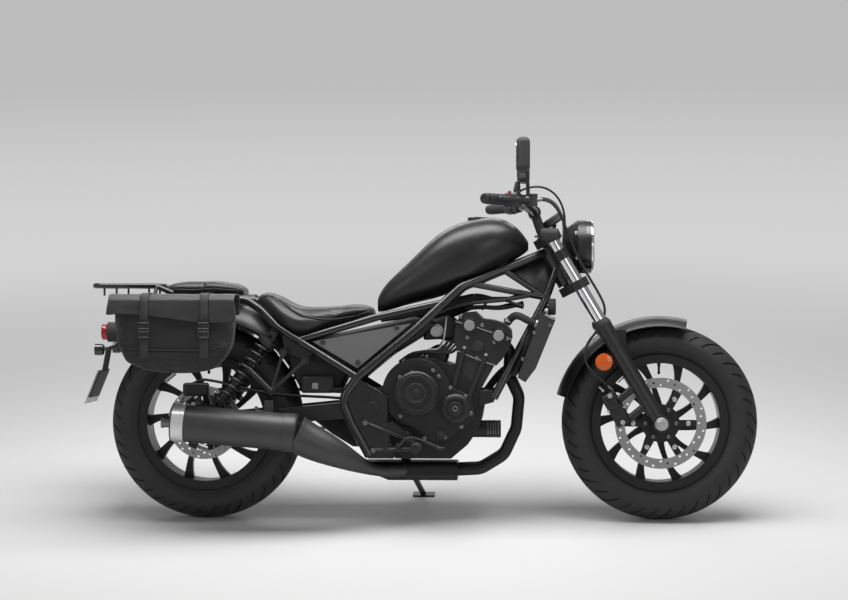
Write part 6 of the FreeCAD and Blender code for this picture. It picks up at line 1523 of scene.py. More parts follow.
    def throttle(self, bench: Bench) -> None:
        """The throttle wheel's drum."""
        drum = bench.turned(self.drum_steps, 36)
        bench.spread(drum, [side_face(*self.drum_at)], "throttle_drum", self.body, Finishes.bare_alloy, 40.0)

    def build(self, bench: Bench) -> None:
        """Builds the engine's details."""
        self.covers(bench)
        self.head(bench)
        self.left(bench)
        self.hoses(bench)
        self.throttle(bench)


@dataclass
class Radiator:
    """Fins, tubes, cap, rail and bolts of the radiator."""

    top: Point = (0.380, 0.0, 0.671)
    down: Vector = field(default_factory=lambda: Vector((-0.4330, 0.0, -0.9014)))
    ahead: Vector = field(default_factory=lambda: Vector((0.9014, 0.0, -0.4330)))
    half_width: float = 0.132
    length: float = 0.205
    face: float = 0.0222
    pitch: float = 0.0032
    cap_steps: Outline = ((0.0, 0.013), (0.006, 0.013), (0.006, 0.019), (0.012, 0.019), (0.014, 0.017))
    rail_route: tuple[Point, ...] = ((0.3695, -0.159, 0.6735), (0.404, -0.159, 0.657))
    bolts_at: tuple[Point, ...] = ((0.334, 0.616, -0.1585), (0.297, 0.531, -0.1585), (0.385, 0.640, -0.1585))
    cap_at: Point = (0.372, 0.090, 0.672)

    def build(self, bench: Bench) -> None:
        """Builds the core's face and the pieces round it."""
        start = Vector(self.top) + self.ahead * self.face
        for name, offset in (("radiator_fins", 0.0), ("radiator_fins_rear", -0.0264)):
            count = int((self.length - 0.016) / self.pitch)
            places = []
            for index in range(count):
                place = start + self.ahead * offset + self.down * (0.008 + self.pitch * index)
                places.append(towards(place, self.down, self.ahead))
            fin = bench.plate(((-self.half_width, -0.0012), (self.half_width, -0.0012), (self.half_width, 0.0014),
                               (-self.half_width, 0.0014)), 0.0007)
            bench.spread(fin, places, name, "chassis", Finishes.fins, 20.0)
            tubes = [towards(start + self.ahead * offset + self.down * (self.length / 2) + Vector((0, y / 1000, 0)),
                             self.ahead, self.down) for y in range(-126, 130, 9)]
            tube = bench.plate(((-0.0011, -self.length * 0.46), (0.0011, -self.length * 0.46),
                                (0.0011, self.length * 0.46), (-0.0011, self.length * 0.46)), 0.0016, 0.0003)
            bench.spread(tube, tubes, name.replace("fins", "tubes"), "chassis", Finishes.fins, 20.0)
        cap = bench.turned(self.cap_steps, 24)
        bench.spread(cap, [towards(self.cap_at, (0.2, 0.0, 1.0))], "radiator_cap", "chassis", Finishes.steel, 30.0)
        rail = bench.drawn(self.rail_route, 0.0022, smooth=False)
        bench.hang(rail, "radiator_rail_right", "chassis", Finishes.steel)
        bolts = [side_face(*place) for place in self.bolts_at]
        bench.spread(
            bench.cap_screw(0.0055, 0.004), mirrored(bolts), "radiator_bolts", "chassis", Finishes.dark_steel)


@dataclass
class Wheel:
    """What a wheel carries: valve, disc buttons, disc bolts and balance weight."""

    label: str
    body: str
    axle: Vector
    disc_plane: float
    disc_inner: float
    button_steps: Outline = ((0.0, 0.0078), (0.0022, 0.0078), (0.0030, 0.0068), (0.0030, 0.0042), (0.0014, 0.0036))
    stem_steps: Outline = (
        (0.0, 0.0062), (0.006, 0.0055), (0.012, 0.0042), (0.028, 0.0038), (0.028, 0.0046), (0.036, 0.0046),
        (0.037, 0.0036))
    weight_outline: Outline = ((-0.006, -0.008), (0.006, -0.008), (0.006, 0.008), (-0.006, 0.008))

    def build(self, bench: Bench) -> None:
        """Builds the wheel's small parts."""
        buttons, bolts = [[towards(self.axle + Vector((along, -self.disc_plane - 0.0022, up)), (0.0, -1.0, 0.0))
                           for along, up in circle(6, radius)] for radius in (self.disc_inner + 0.001, 0.050)]
        button = bench.turned(self.button_steps, 20)
        bench.spread(button, buttons, f"{self.label}_disc_buttons", self.body, Finishes.steel, 40.0)
        bench.spread(
            bench.cap_screw(0.0065, 0.0055), bolts, f"{self.label}_disc_bolts", self.body, Finishes.dark_steel)
        stem = bench.turned(self.stem_steps, 14)
        bench.spread(
            stem, [towards(self.axle + Vector((0.0, 0.012, 0.193)), (0.0, 0.0, -1.0))], f"{self.label}_valve",
            self.body, Finishes.rubber, 40.0)
        weights = [towards(self.axle + Vector((0.187 * math.cos(a), -0.02, 0.187 * math.sin(a))),
                           (-math.cos(a), 0.0, -math.sin(a)), (0, 1, 0)) for a in (2.20, 2.27, 2.34)]
        weight = bench.plate(self.weight_outline, 0.004, 0.001)
        bench.spread(weight, weights, f"{self.label}_balance_weights", self.body, Finishes.dark_steel)


@dataclass
class FrontEnd:
    """Fork, brake, headlight and instrument details that turn with the bars."""

    body: str = "steering"
    leg_y: float = 0.115
    fork: Vector = field(default_factory=lambda: Vector((-0.5075, 0.0, 0.8616)))
    stem: Vector = field(default_factory=lambda: Vector((-0.4695, 0.0, 0.8829)))
    slider_top: Point = (0.5562, 0.0, 0.6417)
    tube_top: Point = (0.3897, 0.0, 0.9243)
    lamp: Point = (0.522, 0.0, 0.897)
    lamp_radius: float = 0.081
    seal_steps: Outline = (
        (-0.004, 0.0285), (0.002, 0.0288), (0.007, 0.0275), (0.012, 0.0245), (0.0165, 0.0232), (0.0185, 0.0212))
    cap_steps: Outline = (
        (0.0, 0.0200), (0.004, 0.0200), (0.0055, 0.0185), (0.0055, 0.0125), (0.010, 0.0120), (0.011, 0.0108))
    nut_steps: Outline = ((0.0, 0.0165), (0.003, 0.0165), (0.0045, 0.0150), (0.0045, 0.0095), (0.002, 0.0085))
    washer_steps: Outline = ((0.0, 0.021), (0.0022, 0.021), (0.0028, 0.0202), (0.0028, 0.012))
    stem_nut_steps: Outline = (
        (0.0, 0.019), (0.003, 0.019), (0.005, 0.0175), (0.009, 0.0155), (0.012, 0.0150), (0.0125, 0.009),
        (0.008, 0.008))
    bolts_at: tuple[Point, ...] = ((0.5795, 0.4110, -0.1122), (0.6205, 0.3255, -0.1122))
    pistons_at: tuple[Point, ...] = ((0.5905, 0.3840, -0.1120), (0.6090, 0.3520, -0.1120))
    cup_steps: Outline = ((0.0, 0.0180), (0.0030, 0.0172), (0.0045, 0.0150), (0.0045, 0.0100), (0.0030, 0.0090))
    pins_at: tuple[Point, ...] = ((0.5750, 0.3600, -0.1120), (0.6255, 0.3760, -0.1120))
    nipple_steps: Outline = (
        (0.0, 0.005), (0.006, 0.005), (0.007, 0.0032), (0.014, 0.0030), (0.0145, 0.0040), (0.020, 0.0036),
        (0.021, 0.0022))
    nipple_at: Point = (0.560, -0.096, 0.425)
    bezel_steps: Outline = ((0.0, 0.0245), (0.0045, 0.0240), (0.0058, 0.0225), (0.0050, 0.0205), (0.0020, 0.0200))
    lens_steps: Outline = ((0.0016, 0.0200), (0.0040, 0.0186), (0.0060, 0.0150), (0.0074, 0.0100), (0.0080, 0.0045))
    dial_bezel_steps: Outline = (
        (-0.010, 0.0398), (-0.006, 0.0412), (0.001, 0.0412), (0.0026, 0.0398), (0.0018, 0.0365), (0.0004, 0.0358))
    tick_outline: Outline = ((-0.0016, -0.0003), (0.0016, -0.0003), (0.0016, 0.0003), (-0.0016, 0.0003))
    key_steps: Outline = ((0.0, 0.0150), (0.006, 0.0150), (0.0075, 0.0135), (0.0075, 0.0060), (0.005, 0.0055))
    disc_steps: Outline = ((0.0, 0.0262), (0.0018, 0.0258), (0.0024, 0.0242))
    pinches_at: Outline = ((0.4985, 0.768), (0.4110, 0.917))
    units_at: Outline = ((-0.031, 0.026), (0.031, 0.026), (-0.031, -0.026), (0.031, -0.026))
    fender_bolts_at: Outline = ((0.600, 0.560), (0.583, 0.590))
    lamp_screws_at: tuple[Point, ...] = ((0.471, -0.0865, 0.939), (0.474, -0.0865, 0.858))
    axle_at: tuple[float, float] = (0.745, 0.3212)
    washer_out: float = 0.1415
    nut_out: float = 0.1500
    stem_nut_at: Point = (0.3689, 0.0, 0.9142)
    dome_shares: Outline = (
        (0.0, 0.995), (0.0016, 0.985), (0.0040, 0.90), (0.0062, 0.74), (0.0078, 0.54), (0.0086, 0.30), (0.0089, 0.10),
        (0.0074, 0.09), (0.0060, 0.54), (0.0022, 0.90), (-0.001, 0.97))
    dish_shares: Outline = ((0.0, 1.03), (0.0045, 1.025), (0.0040, 0.97), (0.0012, 0.90), (0.0006, 0.2))
    bead_radius: float = 0.0845
    dial_at: Point = (0.390, 0.0, 0.990)
    dial_tilt: float = 55.0
    dial_start: float = 225.0
    tick_turn: float = 11.25
    number_turn: float = 67.5
    key_at: Point = (0.3520, 0.0, 0.932)
    key_out: float = 0.048
    fender_out: float = 0.0895
    reflector_at: Point = (0.560, 0.1302, 0.5212)

    def legs(self, bench: Bench) -> None:
        """Dust seals, caps and pinch bolts of both fork legs, the axle's nuts and the stem's nut."""
        seals, caps, pinches = [], [], []
        for side in (-1, 1):
            seals.append(towards((self.slider_top[0], side * self.leg_y, self.slider_top[2]), self.fork))
            top = Vector((self.tube_top[0], side * self.leg_y, self.tube_top[2]))
            caps.append(towards(top - self.fork * 0.002, self.fork))
            for along, high in self.pinches_at:
                pinches.append(towards((along, side * (self.leg_y + 0.006), high), (0.45, side * 0.9, 0.0)))
        bench.spread(bench.turned(self.seal_steps, 40), seals, "fork_dust_seals", self.body, Finishes.rubber, 50.0)
        bench.spread(bench.turned(self.cap_steps, 36), caps, "fork_caps", self.body, Finishes.bare_alloy, 35.0)
        bench.spread(bench.cap_screw(0.0058, 0.006), pinches, "clamp_pinch_bolts", self.body, Finishes.dark_steel)
        along, high = self.axle_at
        feet = both(along, self.washer_out, high)
        nut = bench.turned(self.nut_steps, 6)
        bench.spread(nut, both(along, self.nut_out, high), "front_axle_nuts", self.body, Finishes.steel, 20.0)
        bench.spread(bench.turned(self.washer_steps, 36), feet, "front_axle_washers", self.body, Finishes.steel, 30.0)
        stem_nut = bench.turned(self.stem_nut_steps, 30)
        bench.spread(
            stem_nut, [towards(Vector(self.stem_nut_at) + self.stem * 0.0148, self.stem)], "steering_stem_nut",
            self.body, Finishes.steel, 30.0)

    def brake(self, bench: Bench) -> None:
        """Bolts, piston cups, pad pins and bleed nipple of the front caliper."""
        bolts = [side_face(*place) for place in self.bolts_at]
        bench.spread(bench.cap_screw(0.0078, 0.006), bolts, "caliper_bolts", self.body, Finishes.steel)
        pistons = [side_face(*place) for place in self.pistons_at]
        cup = bench.turned(self.cup_steps, 32)
        bench.spread(cup, pistons, "caliper_pistons", self.body, Finishes.satin_paint, 40.0)
        pins = [side_face(*place) for place in self.pins_at]
        bench.spread(bench.cap_screw(0.0046, 0.0036), pins, "caliper_pins", self.body, Finishes.steel)
        nipple = bench.turned(self.nipple_steps, 12)
        bench.spread(nipple, [towards(self.nipple_at, (-0.7, 0.0, 0.7))], "bleed_nipple", self.body, Finishes.steel)

    def headlight(self, bench: Bench) -> None:
        """A domed glass, the dish behind it, four round lenses and the rim's screws."""
        front = Vector(self.lamp)
        radius = self.lamp_radius
        dome = bench.turned([(step, radius * share) for step, share in self.dome_shares], 64)
        bench.spread(
            dome, [towards(front + Vector((0.004, 0.0, 0.0)), (1.0, 0.0, 0.0))], "headlight_glass", self.body,
            Finishes.glass, 60.0, ["headlight_lens"])
        dish = bench.turned([(step, radius * share) for step, share in self.dish_shares], 64)
        bench.spread(dish, [towards(front, (1.0, 0.0, 0.0))], "headlight_dish", self.body, Finishes.chrome, 60.0)
        units = []
        for across, high in self.units_at:
            units.append(towards(front + Vector((0.0006, across, high)), (1.0, 0.0, 0.0)))
        bezel = bench.turned(self.bezel_steps, 36)
        bench.spread(bezel, units, "headlight_bezels", self.body, Finishes.black_plastic, 40.0)
        bench.spread(bench.turned(self.lens_steps, 32), units, "headlight_units", self.body, Finishes.bulb, 60.0)
        screws = [towards(place, (-0.2, -1.0, 0.0)) for place in self.lamp_screws_at]
        bench.spread(bench.hex_bolt(0.0055, 0.005), mirrored(screws), "headlight_bolts", self.body, Finishes.steel)
        rim = bench.drawn(
            [tuple(front + Vector((0.0006, *point))) for point in circle(32, self.bead_radius)], 0.0022, closed=True)
        bench.hang(rim, "headlight_bead", self.body, Finishes.chrome, 60.0)

    def dial(self, bench: Bench) -> None:
        """The instrument's bezel, glass, ticks, numbers and key barrel."""
        tilt = math.radians(self.dial_tilt)
        face = Vector((-math.cos(tilt), 0.0, math.sin(tilt)))
        centre = Vector(self.dial_at)
        upright = towards(centre, face, (0.0, 0.0, 1.0))
        bezel = bench.turned(self.dial_bezel_steps, 48)
        bench.spread(bezel, [upright], "meter_bezel", self.body, Finishes.black_plastic, 50.0)
        screen = bench.plate(circle(40, 0.0338), 0.0012, 0.0003, upright @ Matrix.Translation((0, 0, 0.0006)))
        bench.hang(screen, "meter_screen", self.body, Finishes.screen)
        ticks = []
        for index in range(25):
            turn = math.radians(self.dial_start - index * self.tick_turn)
            reach = 0.0305 if index % 4 else 0.0295
            ticks.append(upright @ Matrix.Translation((reach * math.cos(turn), reach * math.sin(turn), 0.0014))
                         @ Matrix.Rotation(turn, 4, "Z"))
        bench.spread(bench.plate(self.tick_outline, 0.0003), ticks, "meter_ticks", self.body, Finishes.mark)
        numbers = []
        for index, number in enumerate(("0", "40", "80", "120", "160")):
            turn = math.radians(self.dial_start - index * self.number_turn)
            numbers.append(self.figure(bench, number, 0.006, upright @ Matrix.Translation(
                (0.0225 * math.cos(turn), 0.0225 * math.sin(turn), 0.0013))))
        numbers.append(self.figure(bench, "62", 0.017, upright @ Matrix.Translation((0.0, 0.001, 0.0013))))
        bench.hang(bench.joined(numbers), "meter_numbers", self.body, Finishes.mark)
        key = bench.turned(self.key_steps, 28)
        lock = Vector(self.key_at) + self.stem * 0.002 + Vector((0.0, self.key_out, 0.0))
        bench.spread(key, [towards(lock, self.stem)], "ignition_barrel", self.body, Finishes.steel, 35.0)

    def figure(self, bench: Bench, text: str, size: float, place: Matrix) -> bpy.types.Object:
        """A number for the dial as a thin flat mesh.

        Args:
            bench: Where it is modelled.
            text: The number.
            size: Its height.
            place: Its middle.

        Returns:
            The number.
        """
        bench.clear()
        bpy.ops.object.text_add()
        letters = bpy.context.object
        letters.data.body, letters.data.size, letters.data.extrude = text, size, 0.0001
        letters.data.align_x, letters.data.align_y = "CENTER", "CENTER"
        bpy.ops.object.convert(target="MESH")
        letters = bpy.context.object
        letters.matrix_world = place
        return letters

    def fender(self, bench: Bench) -> None:
        """Fender bolts and the reflectors' faces."""
        bolts = [towards((along, side * self.fender_out, high), (0.0, side, 0.0)) for side in (-1, 1)
                 for along, high in self.fender_bolts_at]
        bench.spread(bench.hex_bolt(0.0065, 0.005), bolts, "fender_bolts", self.body, Finishes.dark_steel)
        along, out, high = self.reflector_at
        for side in Side:
            disc = bench.turned(self.disc_steps, 40)
            place = towards((along, side.value * out, high), (0.0, side.value, 0.0))
            bench.spread(disc, [place], f"reflector_face_{side.label}", self.body, Finishes.orange_lens, 50.0)

    def build(self, bench: Bench) -> None:
        """Builds the front end."""
        self.legs(bench)
        self.brake(bench)
        self.headlight(bench)
        self.dial(bench)
        self.fender(bench)


@dataclass
class Bars:
    """Grips, levers, switches, mirrors and the lines that run to them."""

    body: str = "steering"
    end: Point = (0.186, 0.406, 1.037)
    out: Vector = field(default_factory=lambda: Vector((-0.50627, 0.86237, -0.00429)))
    grip_length: float = 0.124
    perch: float = 0.182
    reservoir: float = 0.2143
    grip_radius: float = 0.0165
    ribs: int = 15
    mirror_corners: int = 40
    mirror_power: float = 0.62
    mirror_place: tuple[float, float] = (0.322, 1.178)
    routes: dict[str, tuple[float, tuple[Point, ...]]] = field(default_factory=dict)
    weight_steps: Outline = (
        (-0.002, 0.0150), (0.004, 0.0150), (0.0055, 0.0165), (0.012, 0.0165), (0.014, 0.0150), (0.0145, 0.0060),
        (0.012, 0.0050))
    ring_steps: Outline = ((-0.0215, 0.0214), (-0.0205, 0.0222), (0.0205, 0.0222), (0.0215, 0.0214))
    button_steps: Outline = ((0.0, 0.0058), (0.0045, 0.0058), (0.0058, 0.0046), (0.0058, 0.002))
    rocker_outline: Outline = ((-0.008, -0.005), (0.008, -0.005), (0.009, 0.0), (0.008, 0.006), (-0.008, 0.006))
    cap_steps: Outline = ((0.0, 0.0196), (0.004, 0.0196), (0.0055, 0.0182), (0.0055, 0.0125), (0.0045, 0.0118))
    nut_steps: Outline = ((0.0, 0.0095), (0.008, 0.0095), (0.009, 0.0085))
    boot_steps: Outline = (
        (0.009, 0.0115), (0.018, 0.0115), (0.022, 0.0100), (0.027, 0.0104), (0.031, 0.0085), (0.036, 0.0088),
        (0.041, 0.0066))
    ball_steps: Outline = (
        (-0.0078, 0.003), (-0.0062, 0.0052), (-0.002, 0.0078), (0.002, 0.0078), (0.0062, 0.0052), (0.0078, 0.003))
    sleeve_steps: Outline = ((0.0, 0.0058), (0.016, 0.0058), (0.018, 0.0050), (0.022, 0.0048))

    def along(self, distance: float, side: int) -> Vector:
        """A point of the bar's line, so far in from its end."""
        point = Vector(self.end) - self.out * distance
        return Vector((point.x, side * point.y, point.z))

    def outward(self, side: int) -> Vector:
        """The bar's direction towards its end on one side."""
        return Vector((self.out.x, side * self.out.y, self.out.z))

    def grips(self, bench: Bench) -> None:
        """Ribbed rubber grips and the weights on the bar's ends."""
        profile = [
            (-self.grip_length, 0.0205), (-self.grip_length + 0.004, 0.0208), (-self.grip_length + 0.007, 0.0178)]
        pitch = (self.grip_length - 0.026) / self.ribs
        for index in range(self.ribs):
            foot = -self.grip_length + 0.014 + pitch * index
            profile += [(foot, self.grip_radius), (foot + pitch * 0.15, self.grip_radius + 0.0011),
                        (foot + pitch * 0.7, self.grip_radius + 0.0011), (foot + pitch * 0.85, self.grip_radius)]
        profile += [(-0.008, self.grip_radius + 0.0004), (-0.002, self.grip_radius + 0.0012), (0.0, self.grip_radius)]
        places = [towards(self.along(0.0, side), self.outward(side)) for side in (-1, 1)]
        bench.spread(bench.turned(profile, 40), places, "ribbed_grips", self.body, Finishes.rubber, 45.0, ["grips"])
        weight = bench.turned(self.weight_steps, 36)
        bench.spread(weight, places, "bar_weights", self.body, Finishes.satin_paint, 40.0)

    def switches(self, bench: Bench) -> None:
        """Seams, screws, buttons and the red stop switch on the switch housings."""
        seams, screws, buttons = [], [], []
        for side in (-1, 1):
            middle = self.along(self.grip_length + 0.0225, side)
            seams.append(towards(middle, self.outward(side)))
            for offset in (-0.013, 0.013):
                screws.append(towards(middle + self.outward(side) * offset + Vector((0, 0, -0.0208)), (0, 0, -1)))
                buttons.append(
                    towards(middle + self.outward(side) * offset + Vector((-0.0185, 0, 0.008)), (-1, 0, 0.4)))
        ring = bench.turned(self.ring_steps, 40)
        bench.spread(ring, seams, "switch_shells", self.body, Finishes.black_plastic, 40.0)
        bench.spread(bench.cap_screw(0.0032, 0.0024), screws, "switch_screws", self.body, Finishes.dark_steel)
        button = bench.turned(self.button_steps, 20)
        bench.spread(button, buttons, "switch_buttons", self.body, Finishes.grey_plastic, 40.0)
        rocker = bench.plate(self.rocker_outline, 0.011, 0.002)
        rocker.matrix_world = towards(
            self.along(self.grip_length + 0.018, -1) + Vector((-0.002, 0.0, 0.0235)), (-0.25, 0.0, 1.0))
        bench.hang(rocker, "stop_switch", self.body, Finishes.red_plastic, 40.0)
        cap = bench.turned(self.cap_steps, 36)
        centre = self.along(self.reservoir, -1)
        cap.matrix_world = towards(centre + Vector((0.0317, 0.0, 0.0168)), (0.0, 0.0, 1.0))
        bench.hang(cap, "reservoir_cap", self.body, Finishes.black_plastic, 35.0)

    def mirrors(self, bench: Bench) -> None:
        """Mirror glass set in its shell, and the stalks' lock nuts and boots."""
        outline = []
        out, high = self.mirror_place
        for cosine, sine in circle(self.mirror_corners):
            outline.append((0.0665 * math.copysign(abs(cosine) ** self.mirror_power, cosine),
                            0.0445 * math.copysign(abs(sine) ** self.mirror_power, sine)))
        for name, reach, across, up, thickness, bevel, finish in (
                ("mirror_rims", 0.2802, 1.075, 1.09, 0.0048, 0.0018, Finishes.black_plastic),
                ("mirror_glasses", 0.2776, 1.0, 1.0, 0.0016, 0.0005, Finishes.mirror)):
            places = [towards((reach, side * out, high), (-1.0, 0.0, 0.0)) for side in (-1, 1)]
            shape = bench.plate([(x * across, y * up) for x, y in outline], thickness, bevel)
            bench.spread(shape, places, name, self.body, finish, 30.0)
        perch = [self.along(self.perch, side) + Vector((0.0, 0.0, 0.019)) for side in (-1, 1)]
        nut = bench.turned(self.nut_steps, 6)
        bench.spread(nut, [towards(place, (0.1, 0, 1)) for place in perch], "mirror_nuts", self.body,
                   Finishes.dark_steel, 20.0)
        boot = bench.turned(self.boot_steps, 24)
        bench.spread(
            boot, [towards(place, (0.1, 0, 1)) for place in perch], "mirror_boots", self.body, Finishes.rubber, 50.0)

    def levers(self, bench: Bench) -> None:
        """Lever blades with their ball ends, over the CAD levers."""
        for side in Side:
            out = self.outward(side.value)
            ahead = Vector((0.8624, side.value * 0.5063, 0.0))
            root = self.along(self.perch, side.value) + ahead * 0.0434
            tip = root + out * 0.168
            blade = bench.drawn(
                [tuple(root - out * 0.004), tuple(root + out * 0.03 + ahead * 0.002),
                    tuple(root + out * 0.08 + ahead * 0.0015), tuple(root + out * 0.13 - ahead * 0.001), tuple(tip)],
                0.0066, steps=6)
            bench.hang(blade, f"lever_blade_{side.label}", self.body, Finishes.satin_paint, 60.0)
            ball = bench.turned(self.ball_steps, 24)
            bench.spread(ball, [towards(tip, out)], f"lever_ball_{side.label}", self.body, Finishes.satin_paint, 60.0)
            pivot = bench.hex_bolt(0.0075, 0.005)
            pivot.matrix_world = towards(root + Vector((0, 0, 0.0075)) - ahead * 0.004, (0, 0, 1))
            bench.hang(pivot, f"lever_pivot_{side.label}", self.body, Finishes.steel)

    def lines(self, bench: Bench) -> None:
        """The brake hose and both cables as smooth lines with their end sleeves."""
        ends = []
        for name, (radius, points) in self.routes.items():
            bench.hang(bench.drawn(points, radius, steps=12), name, self.body, Finishes.rubber, 60.0)
            for first, second in ((points[0], points[1]), (points[-1], points[-2])):
                ends.append(towards(Vector(first), Vector(second) - Vector(first)))
        sleeve = bench.turned(self.sleeve_steps, 20)
        bench.spread(sleeve, ends, "line_sleeves", self.body, Finishes.dark_steel, 40.0, ["cables"])

    def build(self, bench: Bench) -> None:
        """Builds what is on the bars."""
        self.grips(bench)
        self.switches(bench)
        self.mirrors(bench)
        self.levers(bench)
        self.lines(bench)


@dataclass
class Chain:
    """The drive chain as links and pins, and the rear sprocket's nuts."""

    plane: float = 0.0875
    front: tuple[float, float, float] = (-0.112, 0.385, 0.038)
    rear: tuple[float, float, float] = (-0.745, 0.319, 0.101)
    pitch: float = 0.0159
    link_radius: float = 0.0072
    link_thickness: float = 0.0014
    outer_y: float = 0.0068
    inner_y: float = 0.0052
    pin_y: float = 0.0082
    nut_circle: float = 0.055
    arc_steps: int = 48
    corners: int = 20
    pin_steps: Outline = (
        (0.0, 0.0024), (0.0024, 0.0026), (0.0026, 0.0048), (0.0138, 0.0048), (0.0140, 0.0026), (0.0164, 0.0024))

    def line(self) -> list[tuple[Vector, Vector]]:
        """Places along the loop, one per link.

        Returns:
            A point and a direction for each link.
        """
        one, two = Vector((self.front[0], 0, self.front[1])), Vector((self.rear[0], 0, self.rear[1]))
        span = two - one
        base = math.atan2(span.z, span.x)
        slack = math.acos((self.front[2] - self.rear[2]) / span.length)
        path: list[Vector] = []
        first, second = base + slack, base - slack
        for centre, radius, start, turn in (
                (two, self.rear[2], first, -2 * slack), (one, self.front[2], second, -(2 * math.pi - 2 * slack))):
            for step in range(self.arc_steps + 1):
                angle = start + turn * step / self.arc_steps
                path.append(centre + Vector((radius * math.cos(angle), 0, radius * math.sin(angle))))
        path.append(path[0])
        lengths = [(b - a).length for a, b in zip(path, path[1:])]
        count = int(round(sum(lengths) / self.pitch / 2)) * 2
        spacing, places, index, walked = sum(lengths) / count, [], 0, 0.0
        for link in range(count):
            goal = spacing * link
            while walked + lengths[index] < goal:
                walked += lengths[index]
                index += 1
            way = path[index + 1] - path[index]
            places.append((path[index] + way * ((goal - walked) / lengths[index]), way.normalized()))
        return places

    def build(self, bench: Bench) -> None:
        """Builds the links, their pins and the sprocket's nuts."""
        outline = []
        half = self.pitch * 0.5
        for cosine, sine in circle(self.corners):
            end = half if cosine > 0 else -half
            waist = 0.78 if abs(cosine) < 0.35 else 1.0
            outline.append((end * (1.0 if abs(cosine) > 0.2 else 0.4) + self.link_radius * cosine * 0.9,
                            self.link_radius * sine * waist))
        link = bench.plate(outline, self.link_thickness)
        plates, pins = [], []
        for number, (point, way) in enumerate(self.line()):
            wide = self.outer_y if number % 2 else self.inner_y
            middle = Vector((point.x, self.plane, point.z)) + way * half
            middle.y = self.plane
            for side in (-1, 1):
                place = towards(middle + Vector((0, side * wide, 0)), (0, side, 0), way.cross(Vector((0, side, 0))))
                plates.append(place)
            pins.append(towards(Vector((point.x, self.plane - self.pin_y, point.z)), (0, 1, 0)))
        bench.spread(link, plates, "chain_links", "chassis", Finishes.steel, 30.0, ["drive_chain"])
        bench.spread(bench.turned(self.pin_steps, 10), pins, "chain_pins", "chassis", Finishes.dark_steel, 40.0)
        bolts = [towards((self.rear[0] + along, self.plane + 0.0042, self.rear[1] + up), (0, 1, 0))
                 for along, up in circle(5, self.nut_circle)]
        bench.spread(bench.hex_bolt(0.0085, 0.007), bolts, "sprocket_nuts", "rear_wheel", Finishes.steel)


@dataclass
class Covers:
    """Side covers told apart from the trellis panels, and their fasteners."""

    split_x: float = -0.02
    sticker: tuple[float, float, float, float] = (-0.388, -0.368, 0.432, 0.451)
    pins_at: tuple[Point, ...] = ((-0.350, 0.585, -0.1405), (-0.110, 0.632, -0.1405), (-0.236, 0.520, -0.1405))
    pin_steps: Outline = ((0.0, 0.0085), (0.0014, 0.0085), (0.0026, 0.0070), (0.0026, 0.0034), (0.0012, 0.0030))

    def part(self, bench: Bench, node: str, test: Callable[[Vector, Vector], bool]) -> bpy.types.Object:
        """One share of a CAD node's pieces, as a copy.

        Args:
            bench: Where it is modelled.
            node: The CAD node.
            test: What is left out.

        Returns:
            The copy without the faces that the test names.
        """
        copy = bench.lifted(node)
        bench.edit(copy)
        bench.pick(copy, test)
        bpy.ops.mesh.delete(type="FACE")
        bench.close()
        return copy

    def build(self, bench: Bench) -> None:
        """Builds the covers and what holds them."""
        grey_share = self.part(bench, "side_covers", lambda centre, normal: centre.x > self.split_x)
        black_share = self.part(bench, "side_covers", lambda centre, normal: centre.x <= self.split_x)
        bench.hang(grey_share, "grey_side_covers", "chassis", Finishes.grey_cover, 40.0, ["side_covers"])
        bench.hang(black_share, "trellis_panels", "chassis", Finishes.panel_plastic, 40.0)
        low, high = self.sticker[2:]
        sticker = bench.plate(
            ((self.sticker[0], low), (self.sticker[1], low), (self.sticker[1], high), (self.sticker[0], high)),
            0.0006, 0.0002, standing(-0.1184))
        bench.hang(sticker, "battery_cover_blank_label", "chassis", Finishes.label)
        pins = [side_face(*place) for place in self.pins_at]
        pin = bench.turned(self.pin_steps, 24)
        bench.spread(pin, mirrored(pins), "side_cover_fasteners", "chassis", Finishes.black_plastic, 40.0)


@dataclass
class Exhaust:
    """Rings, bolts and the outlet of the silencer."""

    front: Point = (-0.430, -0.216, 0.294)
    tail: Point = (-0.830, -0.216, 0.3279)
    radius: float = 0.060
    band_share: float = 0.06
    outlet_steps: Outline = ((-0.004, 0.0205), (0.003, 0.0212), (0.004, 0.0198), (0.002, 0.0184), (-0.030, 0.0180))
    lugs_at: tuple[Point, ...] = ((-0.560, 0.372, -0.196), (-0.800, 0.396, -0.196))

    def build(self, bench: Bench) -> None:
        """Builds the silencer's rings, outlet and bolts."""
        start, stop = Vector(self.front), Vector(self.tail)
        way = (stop - start).normalized()
        length = (stop - start).length
        band = bench.turned(
            ((-0.012, self.radius + 0.0006), (-0.0115, self.radius + 0.0022), (0.0115, self.radius + 0.0022),
                (0.012, self.radius + 0.0006)), 64)
        places = [towards(start + way * length * self.band_share, way)]
        bench.spread(band, places, "muffler_bands", "chassis", Finishes.cone_black, 40.0)
        seam = bench.turned(
            ((-0.002, self.radius + 0.0004), (-0.001, self.radius + 0.0014), (0.001, self.radius + 0.0014),
                (0.002, self.radius + 0.0004)), 64)
        places = [towards(start + way * length * share, way) for share in (0.0, 0.995)]
        bench.spread(seam, places, "muffler_seams", "chassis", Finishes.exhaust_black, 60.0)
        outlet = bench.turned(self.outlet_steps, 40)
        bench.spread(outlet, [towards(stop + way * 0.030, way)], "exhaust_outlet", "chassis", Finishes.dark_steel, 40.0)
        lugs = [side_face(*place) for place in self.lugs_at]
        bench.spread(bench.hex_bolt(0.0072, 0.006), lugs, "muffler_bolts", "chassis", Finishes.dark_steel)


